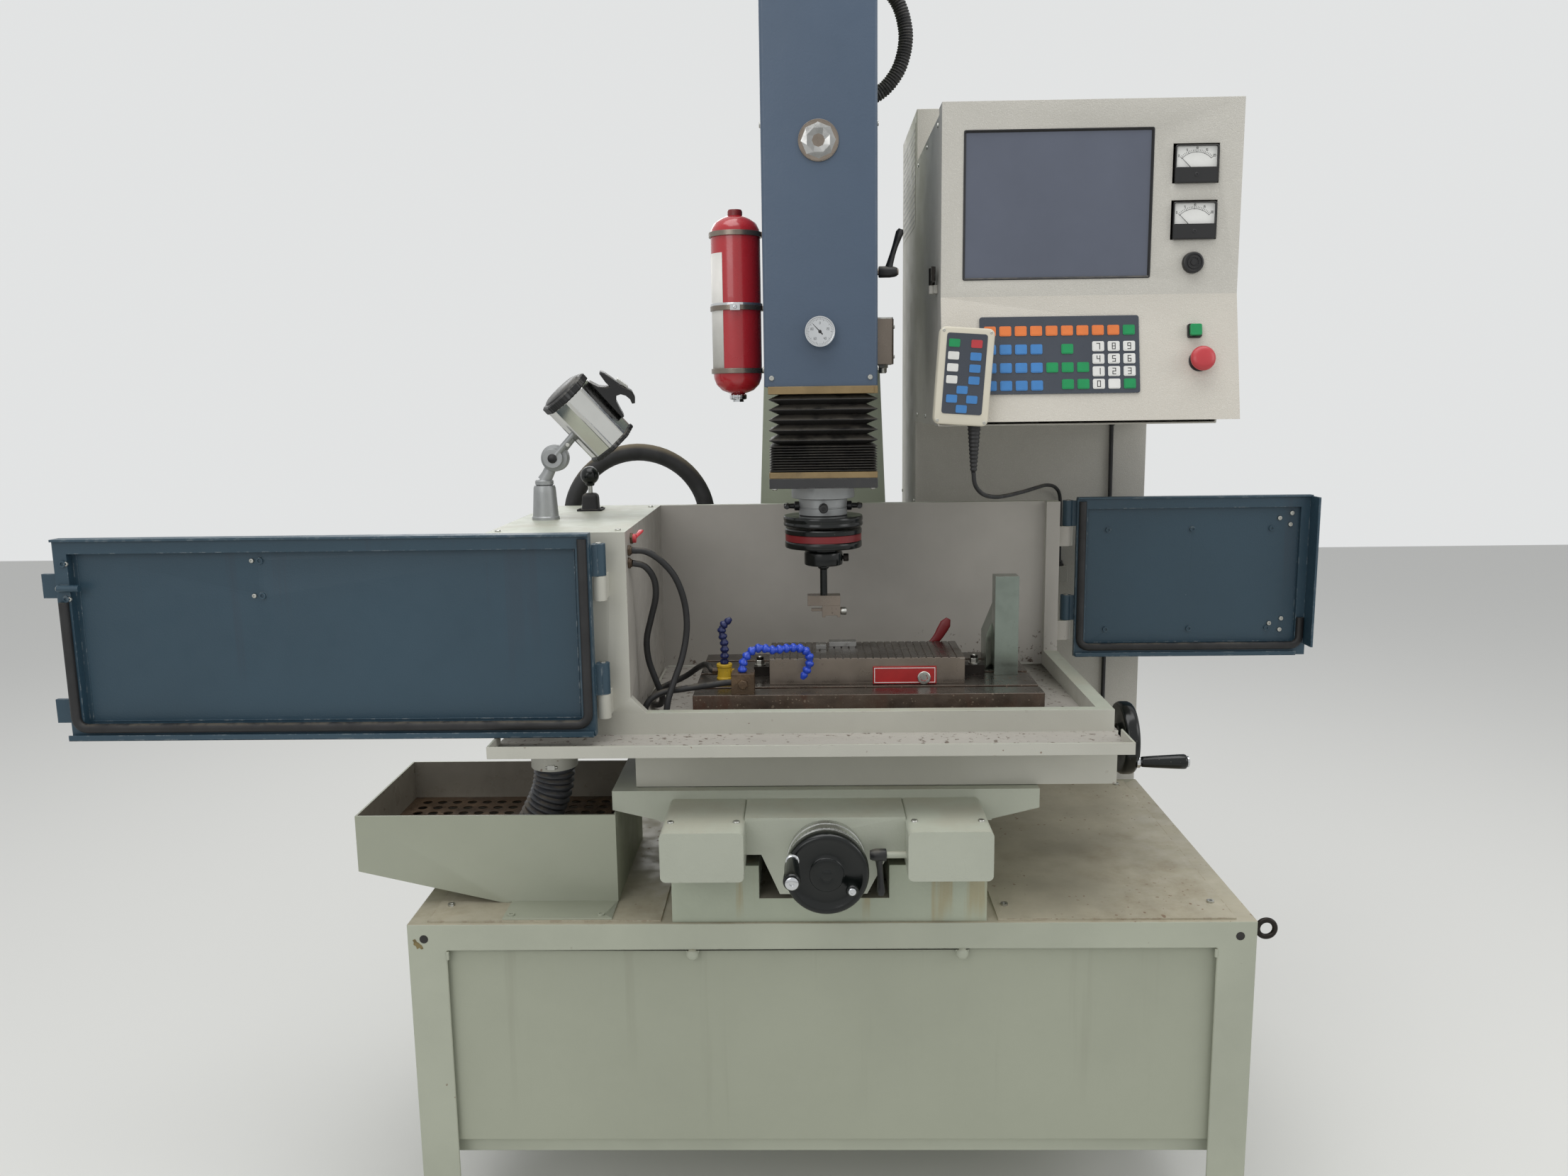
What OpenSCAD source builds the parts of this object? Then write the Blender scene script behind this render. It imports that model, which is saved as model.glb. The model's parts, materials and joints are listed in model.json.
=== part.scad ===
// Die sinking spark erosion machine with its control cabinet.
// X runs along the front, Y to the back, Z up. The floor is z = 0.
// Inside the modules z is counted from the deck, the top of the base frame.

/* [Base frame] */
// Width of the base frame
base_w = 1260; // [1240:2:1300]
// Depth of the base frame
base_d = 654; // [644:2:690]
// Height of the deck above the floor
base_h = 560; // [520:5:640]
// Height of the rail under the deck
rail_h = 42; // [34:1:60]
// Width of the corner posts
post_w = 58; // [50:1:70]
// Plate thickness of rail and posts
post_t = 5; // [4:0.5:6]
// Thickness of the deck plate
deck_t = 6; // [5:0.5:8]
// Height of the posts' feet above the floor
foot_gap = 60; // [50:1:80]
// Radius of the levelling pads
pad_r = 35; // [28:1:42]
// Depth of the oil reservoir below its rim
oil_h = 349; // [300:1:360]
// Thickness of the cover plates on the deck
plate_t = 3; // [2:0.5:3]

/* [Bed, saddle and table] */
// Width of the bed casting
bed_w = 466; // [460:1:480]
// Height of the bed casting
bed_h = 88; // [84:1:92]
// Width of each guideway
way_w = 65; // [56:1:68]
// Height of each guideway
way_h = 40; // [36:1:44]
// Distance from one guideway's middle to the other's
way_pitch = 365; // [360:1:372]
// Width of the trough between the guideways
trough_w = 192; // [190:1:200]
// Thickness of the saddle above the guideways
saddle_h = 49.7; // [46:0.1:54]
// Depth of the saddle
saddle_d = 350; // [340:1:356]
// Width of the table
table_w = 550; // [540:1:556]
// Depth of the table
table_d = 300; // [290:1:310]
// Height of the table
table_h = 130.7; // [126:0.1:136]
// Width of the T-slots
slot_w = 12; // [10:0.5:14]
// Distance between the T-slots
slot_pitch = 98; // [94:1:102]
// Radius of the leadscrews
screw_r = 10; // [8:0.5:11]
// Radius of the handwheels
wheel_r = 60; // [52:1:64]
// Thickness of the handwheels' rims
wheel_t = 25; // [20:1:28]
// Radius of the handwheels' turning grips
grip_r = 12; // [10:0.5:14]

/* [Work tank] */
// Wall of the sheet metal
sheet_t = 3; // [2:0.5:4]
// Height of the tank's walls
tank_h = 312; // [300:1:324]
// Width of the box at the tank's left
box_w = 210; // [200:1:220]
// Depth of the tank
tank_d = 434; // [426:1:440]
// Height of the sills at the front and right
sill_h = 34; // [28:1:38]
// Depth of the tool tray before the tank
tray_d = 110; // [100:1:116]
// Height of the tool tray's lips
lip_h = 15; // [10:1:18]
// Width of the front door
front_door_w = 782.5; // [770:0.5:790]
// Width of the side door
side_door_w = 431; // [420:1:436]
// Radius of the doors' hinge knuckles
knuckle_r = 10; // [9:0.5:11]
// Radius of the doors' hinge pins
pin_r = 4; // [3:0.5:5]

/* [Column and head] */
// Height of the head's top above the deck
head_top = 1560; // [1540:5:1590]
// Height of the head cover
head_h = 775; // [770:1:785]
// Width of the head cover
head_w = 178; // [170:1:184]
// Depth of the head cover
head_d = 310; // [304:1:316]
// Half width of the column at its foot
column_foot = 143; // [136:1:150]
// Half width of the column at its top
column_top = 82; // [80:1:90]
// Depth of the column
column_d = 260; // [250:1:270]
// Radius of the ram
ram_r = 40; // [36:1:44]
// Half width of the bellows' folds
fold_w = 86; // [82:1:90]
// Radius of the fire extinguisher
bottle_r = 40; // [36:1:42]

/* [Control cabinet] */
// Width of the cabinet
cabinet_w = 452; // [440:1:460]
// Depth of the cabinet
cabinet_d = 320; // [300:5:360]
// Height of the cabinet's top above the deck
cabinet_top = 1302; // [1290:1:1330]
// Height of the console's bottom above the deck
console_z = 718; // [712:1:722]
// Height of the console
console_h = 488; // [484:1:500]
// Depth of the console housing before the cabinet
console_d = 396; // [390:1:400]

/* [Hidden] */
$fn = 48;

// Fits
run_fit = 0.05;
seat_gap = 0.3;

// Colours
paint_grey = [0.72, 0.75, 0.68];
paint_blue = [0.29, 0.36, 0.45];
console_grey = [0.74, 0.73, 0.69];
steel = [0.68, 0.69, 0.70];
dark = [0.08, 0.08, 0.09];
cream = [0.88, 0.85, 0.76];
red = [0.72, 0.10, 0.08];

// Base
base_x = base_w / 2;
foot_z = foot_gap - base_h;
rear_x0 = -170;
rear_x1 = 175;
rear_y = 1000;
bar_h = 30;
oil_top = -10;
oil_bottom = oil_top - oil_h;
oil_gap = 12;
plate_x0 = 250;
plate_x1 = base_x - 30;
plate_y0 = 6;
plate_y1 = base_d - 20;

// Bed
bed_y0 = 5;
bed_y1 = 640;
trough_x = -7;
trough_z = 37;
way_y0 = 85;
way_top = bed_h + way_h;
plinth_x0 = -150;
plinth_x1 = 160;
plinth_y1 = 980;
plinth_h = 112;

// Saddle
saddle_y = 80;
saddle_y1 = saddle_y + saddle_d;
saddle_z = way_top + seat_gap;
saddle_top = saddle_z + saddle_h;
saddle_x0 = -257;
saddle_x1 = 250;
wing = 72;
wing_t = 30;
cover_y = -65;
cover_z = bed_h + 4;
cover_top = 165;
recess_y = -5;
lobe_t = 8;
y_screw_x = -4;
y_screw_z = 106;
y_face = -75;
y_nut_y = 250;
y_shaft_l = 565;
nut_l = 50;
drum_r = wheel_r - 4;
grip_l = 72;
grip_end = 81;

// Table
table_x = -209;
table_x1 = table_x + table_w;
table_y = 150;
table_y1 = table_y + table_d;
table_z = saddle_top + seat_gap;
table_top = table_z + table_h;
x_screw_y = 245;
x_screw_z = table_z + 29.7;
x_nut_x = 40;
barrel_r = 28;
barrel_x = 470;
x_wheel_x = 479;
x_grip_turn = 146;
lever_x = 180;
stop_x = -118;
stop_y0 = 278;
stop_y1 = 304;
lever_z = table_top + 31;

// Tank
tank_z = table_top - 47;
tank_top = tank_z + tank_h;
tank_y = 97;
tank_y1 = tank_y + tank_d;
tank_x = -298;
tank_x1 = 436;
floor_t = 6;
sill_top = tank_z + sill_h;
sill_w = 25;
tray_x0 = -492;
tray_x1 = 438;
tray_y = tank_y - tray_d;
tray_z = tank_z - sheet_t;
lip_top = tank_z + lip_h;
apron_x0 = -294;
apron_x1 = 442;
apron_z = saddle_top + 1;
apron_d = 50;

// Doors, counted from their hinge axes
front_x = -332;
front_y = tank_y - 34.5;
front_in = -9.5;
front_skin = -12;
front_rim = 14;
front_seal = 8;
door_z = lip_top + 1;
door_top = tank_top + 3;
side_x = tank_x1 + 23;
side_y = tank_y1 + 26;
side_in = 14;
side_skin = -7.5;
side_rim = 8;
side_seal = 7;
side_flange = 44;
rim_w = 20;
skin_t = 2;
knuckle_h = 37;
front_hinges = [299, 477];
side_hinges = [310, 488];
hinge_l = 2 * knuckle_h + seat_gap;

// Column and head
head_x = -3;
head_y = 314;
head_z = head_top - head_h;
head_y0 = 230;
head_y1 = head_y0 + head_d;
head_x0 = head_x - head_w / 2;
head_x1 = head_x + head_w / 2;
back_t = 16;
column_x = 5;
column_y = 700;
column_h = head_top - 20;
column_wall = 22;
arm_w = 150;
arm_z = 880;
arm_wall = 20;
guide_w = 140;
guide_y0 = 250;
guide_z0 = 900;
guide_z1 = 1250;
motor_z = 1380;
motor_w = 90;
motor_h = 150;
shelf_t = 12;
arm_x1 = column_x + arm_w / 2;
dial_z = 868;
dial_r = 24;
dial_x = -4;
badge_z = 1152;
badge_r = 31;
head_lever_z = 964;
head_lever_y = 300;
bottle_x = head_x0 - 46.5;
bottle_y = 330;

// Ram
ram_top = 1290;
collar_z = 604;
collar_r = ram_r + 12;
ram_plate_z = 625;
ram_plate_t = 16;
frame_t = 10;
top_plate_t = 12;
bellows_z0 = ram_plate_z + ram_plate_t + frame_t;
bellows_z1 = head_z - top_plate_t;
wide_folds = 5;
tight_folds = 10;
wide_pitch = 16;
tight_pitch = (bellows_z1 - bellows_z0 - wide_folds * wide_pitch) / tight_folds;
holder_r = 40;
holder_z = 575;
disc_r = 66;
disc_z = 557;
chuck_disc_z = 521;
chuck_disc_top = 554;
clamp_z = 417;

// Extinguisher, from its nozzle to its cap
bottle_z = 762;
bottle_foot = 38;
bottle_shoulder = 273;
bottle_neck = 288;
bottle_bands = [46, 146, 262];
socket_z = 820;
socket_h = 73;
socket_w = 70;

// Cabinet
cabinet_x = 188;
cabinet_x1 = cabinet_x + cabinet_w;
cabinet_gap = 46;
cabinet_y = base_d + cabinet_gap;
console_y = cabinet_y - console_d;
console_top = console_z + console_h;
door_x0 = cabinet_x - 1.5;
door_x1 = cabinet_x1 + 8;
door_y = console_y - 42;
door_bottom = console_z + 8;
door_upper = console_z + 202;
door_lid = console_top + 6;
slope_run = 40;
slope = atan2(slope_run, door_upper - door_bottom);
slope_y = door_y - slope_run;
hinge_x = cabinet_x1 + 14;
hinge_y = console_y - 2;
volt_box = [541, 1086, 612, 1145];
amp_box = [541, 1002, 612, 1061];
meter_out = 6;
screen_box = [222, 947, 510, 1168];
buzzer_at = [577, 967];
green_at = [580, (862 - 726) / cos(slope)];
stop_at = [587, (816 - 726) / cos(slope)];
key_x0 = 246;
key_x1 = 494;
key_z0 = 43;
key_z1 = 165;
latch_at = [cabinet_x - 8, console_y + 31, 959];

// Drain tray
drain_x0 = -724;
drain_x1 = -323.5;
foot_x = -488;
drain_y0 = 70;
drain_y1 = 344;
drain_top = 144;
drain_toe = -502;
drain_heel = 52;
screen_z = 78;

// Lamp
lamp_at = [-460, 300];
lamp_elbow_at = [-440, 300, 675];
lamp_head_at = [-382, 300, 738];
lamp_axis = [0.628, 0.259, -0.734];
lamp_r = 45;
rod_at = [-412, 450];

// Cords: routes of the free cords and hoses
conduit_r = 13.5;
conduit_path = [
    [88, 620, 1512], [110, 620, 1503], [132, 620, 1484], [151, 620, 1453], [160, 620, 1407],
    [151, 620, 1361], [132, 620, 1330], [110, 620, 1311], [88, 620, 1302]
];
supply_path = [
    [-475, 585, 430], [-475, 585, 490], [-475, 585, 540], [-465, 585, 590], [-437, 585, 632],
    [-395, 585, 660], [-345, 585, 670], [-295, 585, 660], [-253, 585, 632], [-225, 585, 590],
    [-215, 585, 540], [-215, 585, 490], [-215, 585, 430]
];
pendant_r = 3.5;
pendant_run = [
    [234, -488, 650], [238, -484, 628], [254, -464, 612], [280, -420, 604], [310, -350, 600],
    [340, -280, 598], [372, -200, 596], [405, -120, 595], [438, -50, 594], [462, -16, 586],
    [473, -7, 564], [474, -7, 500], [474, -7, 430]
];
pendant_path = [for (p = pendant_run) [p[0], cabinet_y + p[1], p[2]]];
cable_r = 4;
cable_y = cabinet_y - 6;
cable_path = [[570, cable_y, 712], [571, cable_y, 500], [569, cable_y, 200], [570, cable_y, -40]];
drain_r = 33;
drain_path = [
    [-436, 175, 190], [-438, 175, 170], [-442, 174, 150], [-450, 173, 130], [-459, 172, 112],
    [-466, 172, 98]
];
hose_r = 5;
hose_a_path = [
    [-292, 122, 543], [-272, 124, 541], [-250, 130, 526], [-230, 142, 498], [-218, 152, 458],
    [-216, 158, 414], [-224, 156, 370], [-236, 150, 336], [-246, 142, 306], [-250, 138, 280]
];
hose_b_path = [
    [-292, 120, 524], [-274, 126, 518], [-262, 138, 496], [-262, 150, 466], [-272, 162, 430],
    [-281, 172, 395], [-280, 180, 360], [-270, 184, 326], [-262, 190, 300], [-266, 205, 282],
    [-280, 228, 276], [-287, 270, 276], [-284, 320, 277], [-266, 352, 280], [-240, 356, 292],
    [-218, 338, 310], [-204, 312, 322], [-194, 286, 326], [-188, 268, 323], [-183, 262, 322]
];
hose_c_path = [
    [-284, 150, 280], [-283, 151, 292], [-272, 154, 306], [-252, 158, 314], [-228, 160, 317],
    [-204, 162, 320], [-180, 164, 323], [-162, 166, 325], [-148, 166, 326]
];

// Middle of the whole machine, which stands on the floor
reach_x0 = front_x + front_in - front_door_w - 26;
reach_x1 = side_x + side_in + side_door_w;
reach_y0 = y_face - grip_end;
reach_y1 = cabinet_y + cabinet_d;

module placed() {
    translate([-(reach_x0 + reach_x1) / 2, -(reach_y0 + reach_y1) / 2, base_h]) children();
}

// Shapes used by several parts
module box(a, b) {
    translate(a) cube(b - a);
}

module along_x(x0, x1) {
    translate([x0, 0, 0]) rotate([90, 0, 90]) linear_extrude(x1 - x0) children();
}

module along_y(y0, y1) {
    translate([0, y1, 0]) rotate([90, 0, 0]) linear_extrude(y1 - y0) children();
}

module rod_x(x0, x1, y, z, r) {
    translate([x0, y, z]) rotate([0, 90, 0]) cylinder(h = x1 - x0, r = r);
}

module rod_y(y0, y1, x, z, r) {
    translate([x, y1, z]) rotate([90, 0, 0]) cylinder(h = y1 - y0, r = r);
}

module rod_z(z0, z1, x, y, r) {
    translate([x, y, z0]) cylinder(h = z1 - z0, r = r);
}

module rod(a, b, r) {
    run = b - a;
    translate(a) rotate([0, acos(run[2] / norm(run)), atan2(run[1], run[0])])
        cylinder(h = norm(run), r = r);
}

module round_rect(w, h, r) {
    square([w - 2 * r, h], center = true);
    square([w, h - 2 * r], center = true);
    for (i = [-1, 1], j = [-1, 1]) translate([i * (w / 2 - r), j * (h / 2 - r)]) circle(r);
}

module screw_head(r, h) {
    difference() {
        cylinder(h = h, r = r);
        translate([0, 0, h / 2]) cylinder(h = h, r = r * 0.55, $fn = 6);
    }
}

// A tube swept along points, with its ends square to the directions given
function unit(v) = v / norm(v);
function ways(p, from, to) = [
    for (i = [0 : len(p) - 1])
        i == 0 ? from : i == len(p) - 1 ? to : unit(p[i + 1] - p[i - 1])
];
function sides_of(t, out) = len(out) >= len(t) ? out :
    let (n = out[len(out) - 1], d = t[len(out)])
    sides_of(t, concat(out, [unit(n - (n * d) * d)]));
function first_side(d) = unit(cross(d, abs(d[2]) > 0.9 ? [1, 0, 0] : [0, 0, 1]));

module tube(p, r, from, to, facets = 8) {
    t = ways(p, from, to);
    n = sides_of(t, [first_side(t[0])]);
    s = facets;
    last = len(p) - 1;
    points = [
        for (i = [0 : last], j = [0 : s - 1])
            p[i] + r * (cos(360 * j / s) * n[i] + sin(360 * j / s) * cross(t[i], n[i]))
    ];
    walls = [
        for (i = [0 : last - 1], j = [0 : s - 1], k = [0, 1])
            let (a = i * s + j, b = i * s + (j + 1) % s)
            k == 0 ? [a, a + s, b + s] : [a, b + s, b]
    ];
    caps = [[for (j = [0 : s - 1]) j], [for (j = [s - 1 : -1 : 0]) last * s + j]];
    polyhedron(points, concat(walls, caps), convexity = 6);
}

// Base
module post(x, y, sx, sy) {
    translate([x, y, 0]) mirror([sx < 0 ? 1 : 0, 0, 0]) mirror([0, sy < 0 ? 1 : 0, 0]) {
        box([0, 0, foot_z], [post_w, post_t, 0]);
        box([0, 0, foot_z], [post_t, post_w, 0]);
        box([0, 0, foot_z], [post_w, post_w, deck_t + foot_z]);
    }
}

module base_frame() {
    color(paint_grey) placed() {
        difference() {
            box([-base_x, 0, -rail_h], [base_x, base_d, 0]);
            box([post_t - base_x, post_t, -rail_h - 1], [base_x - post_t, base_d - post_t, -deck_t]);
            for (s = [-1, 1]) translate([s * (plate_x0 + plate_x1) / 2, base_d / 2, 0])
                cube([plate_x1 - plate_x0 - 40, base_d - 100, 3 * deck_t], center = true);
            rod_y(-1, post_t + 1, 23 - base_x, -rail_h / 2, 6);
        }
        for (sx = [-1, 1], sy = [-1, 1])
            post(-sx * base_x, sy > 0 ? 0 : base_d, sx, sy);
        for (y = [post_w - bar_h, base_d - post_w])
            box([post_t - base_x, y, oil_bottom - bar_h], [base_x - post_t, y + bar_h, oil_bottom]);
        difference() {
            box([rear_x0, base_d, -rail_h], [rear_x1, rear_y, 0]);
            box([rear_x0 + post_t, base_d - 1, -rail_h - 1], [rear_x1 - post_t, rear_y - post_t, -deck_t]);
        }
        post(rear_x0, rear_y, 1, -1);
        post(rear_x1, rear_y, -1, -1);
        for (x = [-204, 197]) box([x - 10, 1, -rail_h - 7], [x + 10, oil_gap - 2, -deck_t]);
    }
}

module levelling_feet() {
    spots = [
        [post_w / 2 - base_x, post_w / 2], [base_x - post_w / 2, post_w / 2],
        [post_w / 2 - base_x, base_d - post_w / 2], [base_x - post_w / 2, base_d - post_w / 2],
        [rear_x0 + post_w / 2, rear_y - post_w / 2], [rear_x1 - post_w / 2, rear_y - post_w / 2]
    ];
    color(dark) placed() for (p = spots) translate([p[0], p[1], -base_h]) {
        cylinder(h = 12, r = pad_r);
        translate([0, 0, 12]) cylinder(h = 6, r1 = pad_r, r2 = pad_r - 8);
        cylinder(h = foot_gap, r = 9);
        translate([0, 0, foot_gap - 12]) cylinder(h = 12, r = 16, $fn = 6);
    }
}

module oil_reservoir() {
    x = base_x - oil_gap;
    y = base_d - oil_gap;
    color(paint_grey) placed() difference() {
        box([-x, oil_gap, oil_bottom], [x, y, oil_top]);
        box([sheet_t - x, oil_gap + sheet_t, oil_bottom + sheet_t], [x - sheet_t, y - sheet_t, 1]);
    }
}

module deck_covers() {
    x0 = plate_x0 + 17;
    x1 = plate_x1 - 20;
    spots = [[x0, 55], [x1, 61], [x0, plate_y1 - 21], [x1, plate_y1 - 21]];
    color(paint_grey) placed() {
        for (s = [-1, 1]) {
            box([s > 0 ? plate_x0 : -plate_x1, plate_y0, 0], [s > 0 ? plate_x1 : -plate_x0, plate_y1, plate_t]);
            for (p = spots) if (s > 0 || p[0] > x0) translate([s * p[0], p[1], plate_t]) screw_head(5.5, 3);
        }
        rod_x(base_x, base_x + 14, 30, -rail_h / 2, 4);
        translate([base_x + 24, 30, -rail_h / 2 - 4]) rotate([90, 0, 0])
            rotate_extrude() translate([13, 0]) circle(4);
    }
}

// Bed and column
module bed() {
    color(paint_grey) placed() difference() {
        union() {
            box([-bed_w / 2, bed_y0, 0], [bed_w / 2, bed_y1, bed_h]);
            for (s = [-1, 1]) translate([s * way_pitch / 2, (way_y0 + bed_y1) / 2, bed_h - 1])
                translate([-way_w / 2, (way_y0 - bed_y1) / 2, 0]) cube([way_w, bed_y1 - way_y0, way_h + 1]);
            box([plinth_x0, bed_y1 - 1, 0], [plinth_x1, plinth_y1, plinth_h]);
        }
        difference() {
            box([trough_x - trough_w / 2, bed_y0 - 1, trough_z], [trough_x + trough_w / 2, bed_y1 - 20, bed_h + 1]);
            box([y_screw_x - 30, y_nut_y, trough_z - 1], [y_screw_x + 30, y_nut_y + nut_l, bed_h + 2]);
        }
    }
    color(paint_grey) placed() difference() {
        box([y_screw_x - 30, y_nut_y, bed_h], [y_screw_x + 30, y_nut_y + nut_l, y_screw_z + 18]);
        rod_y(y_nut_y - 1, y_nut_y + nut_l + 1, y_screw_x, y_screw_z, screw_r + run_fit);
    }
}

module column_outline(inset, z0, z1) {
    lean = (column_foot - column_top) / (column_h - plinth_h);
    half_0 = column_foot - lean * (z0 - plinth_h) - inset;
    half_1 = column_foot - lean * (z1 - plinth_h) - inset;
    translate([column_x, 0])
        polygon([[-half_0, z0], [half_0, z0], [half_1, z1], [-half_1, z1]]);
}

module column() {
    color(paint_grey) placed() difference() {
        union() {
            difference() {
                union() {
                    along_y(column_y, column_y + column_d) column_outline(0, plinth_h, column_h);
                    box([column_x - arm_w / 2, head_y1 + back_t - 1, arm_z], [arm_x1, column_y + 1, column_h]);
                }
                along_y(column_y + column_wall, column_y + column_d - column_wall)
                    column_outline(column_wall, plinth_h - 1, column_h - 40);
                box([column_x - arm_w / 2 + arm_wall, head_y1 + back_t + arm_wall, arm_z + arm_wall],
                    [arm_x1 - arm_wall, column_y + column_wall + 1, column_h - arm_wall]);
            }
            box([head_x0, head_y1, head_z], [head_x1, head_y1 + back_t, head_top]);
            box([-guide_w / 2, guide_y0, guide_z0], [guide_w / 2, head_y + 64, guide_z1]);
            for (s = [-1, 1]) translate([s * 45, 0, 0])
                box([-6, head_y + 63, guide_z0], [6, head_y1 + 1, guide_z1]);
            box([-60, head_y - 50, motor_z - shelf_t], [60, head_y1 + 1, motor_z]);
        }
        rod_z(guide_z0 - 1, guide_z1 + 1, 0, head_y, ram_r + run_fit);
        rod_z(motor_z - shelf_t - 1, motor_z + 1, 0, head_y, screw_r + 2);
    }
}

module z_drive() {
    color(dark) placed() {
        translate([0, head_y, motor_z]) linear_extrude(motor_h) round_rect(motor_w, motor_w, 10);
        rod_z(guide_z0, motor_z + 1, 0, head_y, screw_r);
    }
}

module head_cover() {
    color(paint_blue) placed() difference() {
        translate([head_x, (head_y0 + head_y1) / 2, head_z]) linear_extrude(head_h)
            round_rect(head_w, head_d, 6);
        box([head_x0 + sheet_t, head_y0 + sheet_t, head_z + sheet_t],
            [head_x1 - sheet_t, head_y1 + 1, head_top - sheet_t]);
        rod_z(head_z - 1, head_z + sheet_t + 1, 0, head_y, ram_r + 20);
    }
}

module dial_indicator() {
    color(steel) placed() {
        difference() {
            rod_y(head_y0 - 18, head_y0, dial_x, dial_z, dial_r);
            rod_y(head_y0 - 19, head_y0 - 12, dial_x, dial_z, dial_r - 3);
        }
        rod_y(head_y0 - 16, head_y0 - 11, dial_x, dial_z, 1);
        rod_z(dial_z - 46, dial_z - dial_r + 2, dial_x, head_y0 - 8, 4);
    }
}

module dial_needle() {
    color(dark) placed() difference() {
        union() {
            rod_y(head_y0 - 15, head_y0 - 13, dial_x, dial_z, 3);
            translate([dial_x, head_y0 - 14, dial_z]) rotate([0, -43, 0]) box([-0.6, -0.5, -5], [0.6, 0.5, dial_r - 6]);
        }
        rod_y(head_y0 - 17, head_y0 - 11, dial_x, dial_z, 1 + run_fit);
    }
}

module head_lever() {
    x = head_x1 + 3;
    color(dark) placed() difference() {
        union() {
            rod_x(x, x + 31, head_lever_y, head_lever_z, 12);
            rod([x + 22, head_lever_y, head_lever_z], [x + 45, head_lever_y, head_lever_z + 60], 4);
            translate([x + 45, head_lever_y, head_lever_z + 60]) sphere(9);
        }
        rod_x(x - 1, x + 32, head_lever_y, head_lever_z, 5 + run_fit);
    }
}

module bottle_band(z) {
    difference() {
        union() {
            rod_z(z, z + 8, bottle_x, bottle_y, bottle_r + 3);
            box([bottle_x, bottle_y - 9, z], [head_x0, bottle_y + 9, z + 8]);
        }
        rod_z(z - 1, z + 9, bottle_x, bottle_y, bottle_r + 0.2);
    }
}

module head_fittings() {
    color(steel) placed() {
        for (z = bottle_bands) bottle_band(bottle_z + z);
        rod_x(head_x1, head_x1 + 37, head_lever_y, head_lever_z, 5);
        rod_y(head_y0 - 3, head_y0, dial_x, badge_z, badge_r);
        translate([head_x1 + 16, head_y + 51, socket_z]) linear_extrude(socket_h) round_rect(32, socket_w, 4);
        for (z = [conduit_path[0][2], conduit_path[8][2]])
            rod_x(arm_x1, arm_x1 + 8, conduit_path[0][1], z, conduit_r + 5);
        difference() {
            box([-fold_w, head_y - fold_w, bellows_z1], [fold_w, head_y + fold_w, head_z]);
            rod_z(bellows_z1 - 1, head_z + 1, 0, head_y, ram_r + 20);
        }
    }
}

module conduit() {
    color(dark) placed() tube(conduit_path, conduit_r, [1, 0, 0], [-1, 0, 0], 10);
}

module extinguisher() {
    r = bottle_r;
    color(red) placed() translate([bottle_x, bottle_y, bottle_z]) rotate_extrude()
        polygon([[0, 0], [14, 0], [14, 13], [r - 10, 22], [r, bottle_foot], [r, bottle_shoulder], [r - 10, bottle_neck],
            [12, 296], [12, 306], [0, 306]]);
}

// Control cabinet
module cabinet_body() {
    t = sheet_t;
    y1 = cabinet_y + cabinet_d;
    color(console_grey) placed() {
        difference() {
            union() {
                box([cabinet_x, cabinet_y, -base_h], [cabinet_x1, y1, cabinet_top]);
                box([cabinet_x, console_y, console_z], [cabinet_x1, cabinet_y + 1, console_top]);
            }
            box([cabinet_x + t, cabinet_y + t, t - base_h], [cabinet_x1 - t, y1 - t, cabinet_top - t]);
            box([cabinet_x + t, console_y - 1, console_z + t], [cabinet_x1 - t, cabinet_y + t + 1, console_top - t]);
            for (i = [0 : 14], j = [0 : 2])
                translate([cabinet_x - 1, cabinet_y + 30 + 90 * j, console_top - 106 + 12 * i])
                    cube([t + 2, 70, 5]);
        }
        box([hinge_x - 14, hinge_y + 2, door_bottom + 30], [hinge_x, hinge_y + 6, door_bottom + 70]);
        box([hinge_x - 14, hinge_y + 2, door_lid - 70], [hinge_x, hinge_y + 6, door_lid - 30]);
        for (z = [door_bottom + 30, door_lid - 70]) {
            rod_z(z, z + 40, hinge_x, hinge_y, 5.5);
            rod_z(z + 40, z + 78, hinge_x, hinge_y, 2.5);
        }
        box([latch_at[0] + 2, latch_at[1] - 12, latch_at[2] - 28], [cabinet_x, latch_at[1] + 12, latch_at[2] - 14]);
        rod_z(latch_at[2] - 28, latch_at[2] - 14, latch_at[0], latch_at[1], 5);
        rod_z(latch_at[2] - 15, latch_at[2] + 14, latch_at[0], latch_at[1], 2.5);
        rod_z(cable_path[0][2], console_z, cable_path[0][0], cable_path[0][1] - 1, 7);
        box([550, cabinet_y - 16, cable_path[3][2] - 40], [590, cabinet_y, cable_path[3][2]]);
        box([459, cabinet_y - 20, pendant_path[12][2] - 35], [489, cabinet_y, pendant_path[12][2]]);
    }
}

module door_outline(t, back) {
    polygon([
        [back, door_bottom + t], [slope_y + t, door_bottom + t], [door_y + t, door_upper],
        [door_y + t, door_lid - t], [back, door_lid - t]
    ]);
}

module on_slope() {
    translate([0, slope_y, door_bottom]) rotate([-slope, 0, 0]) children();
}

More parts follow.
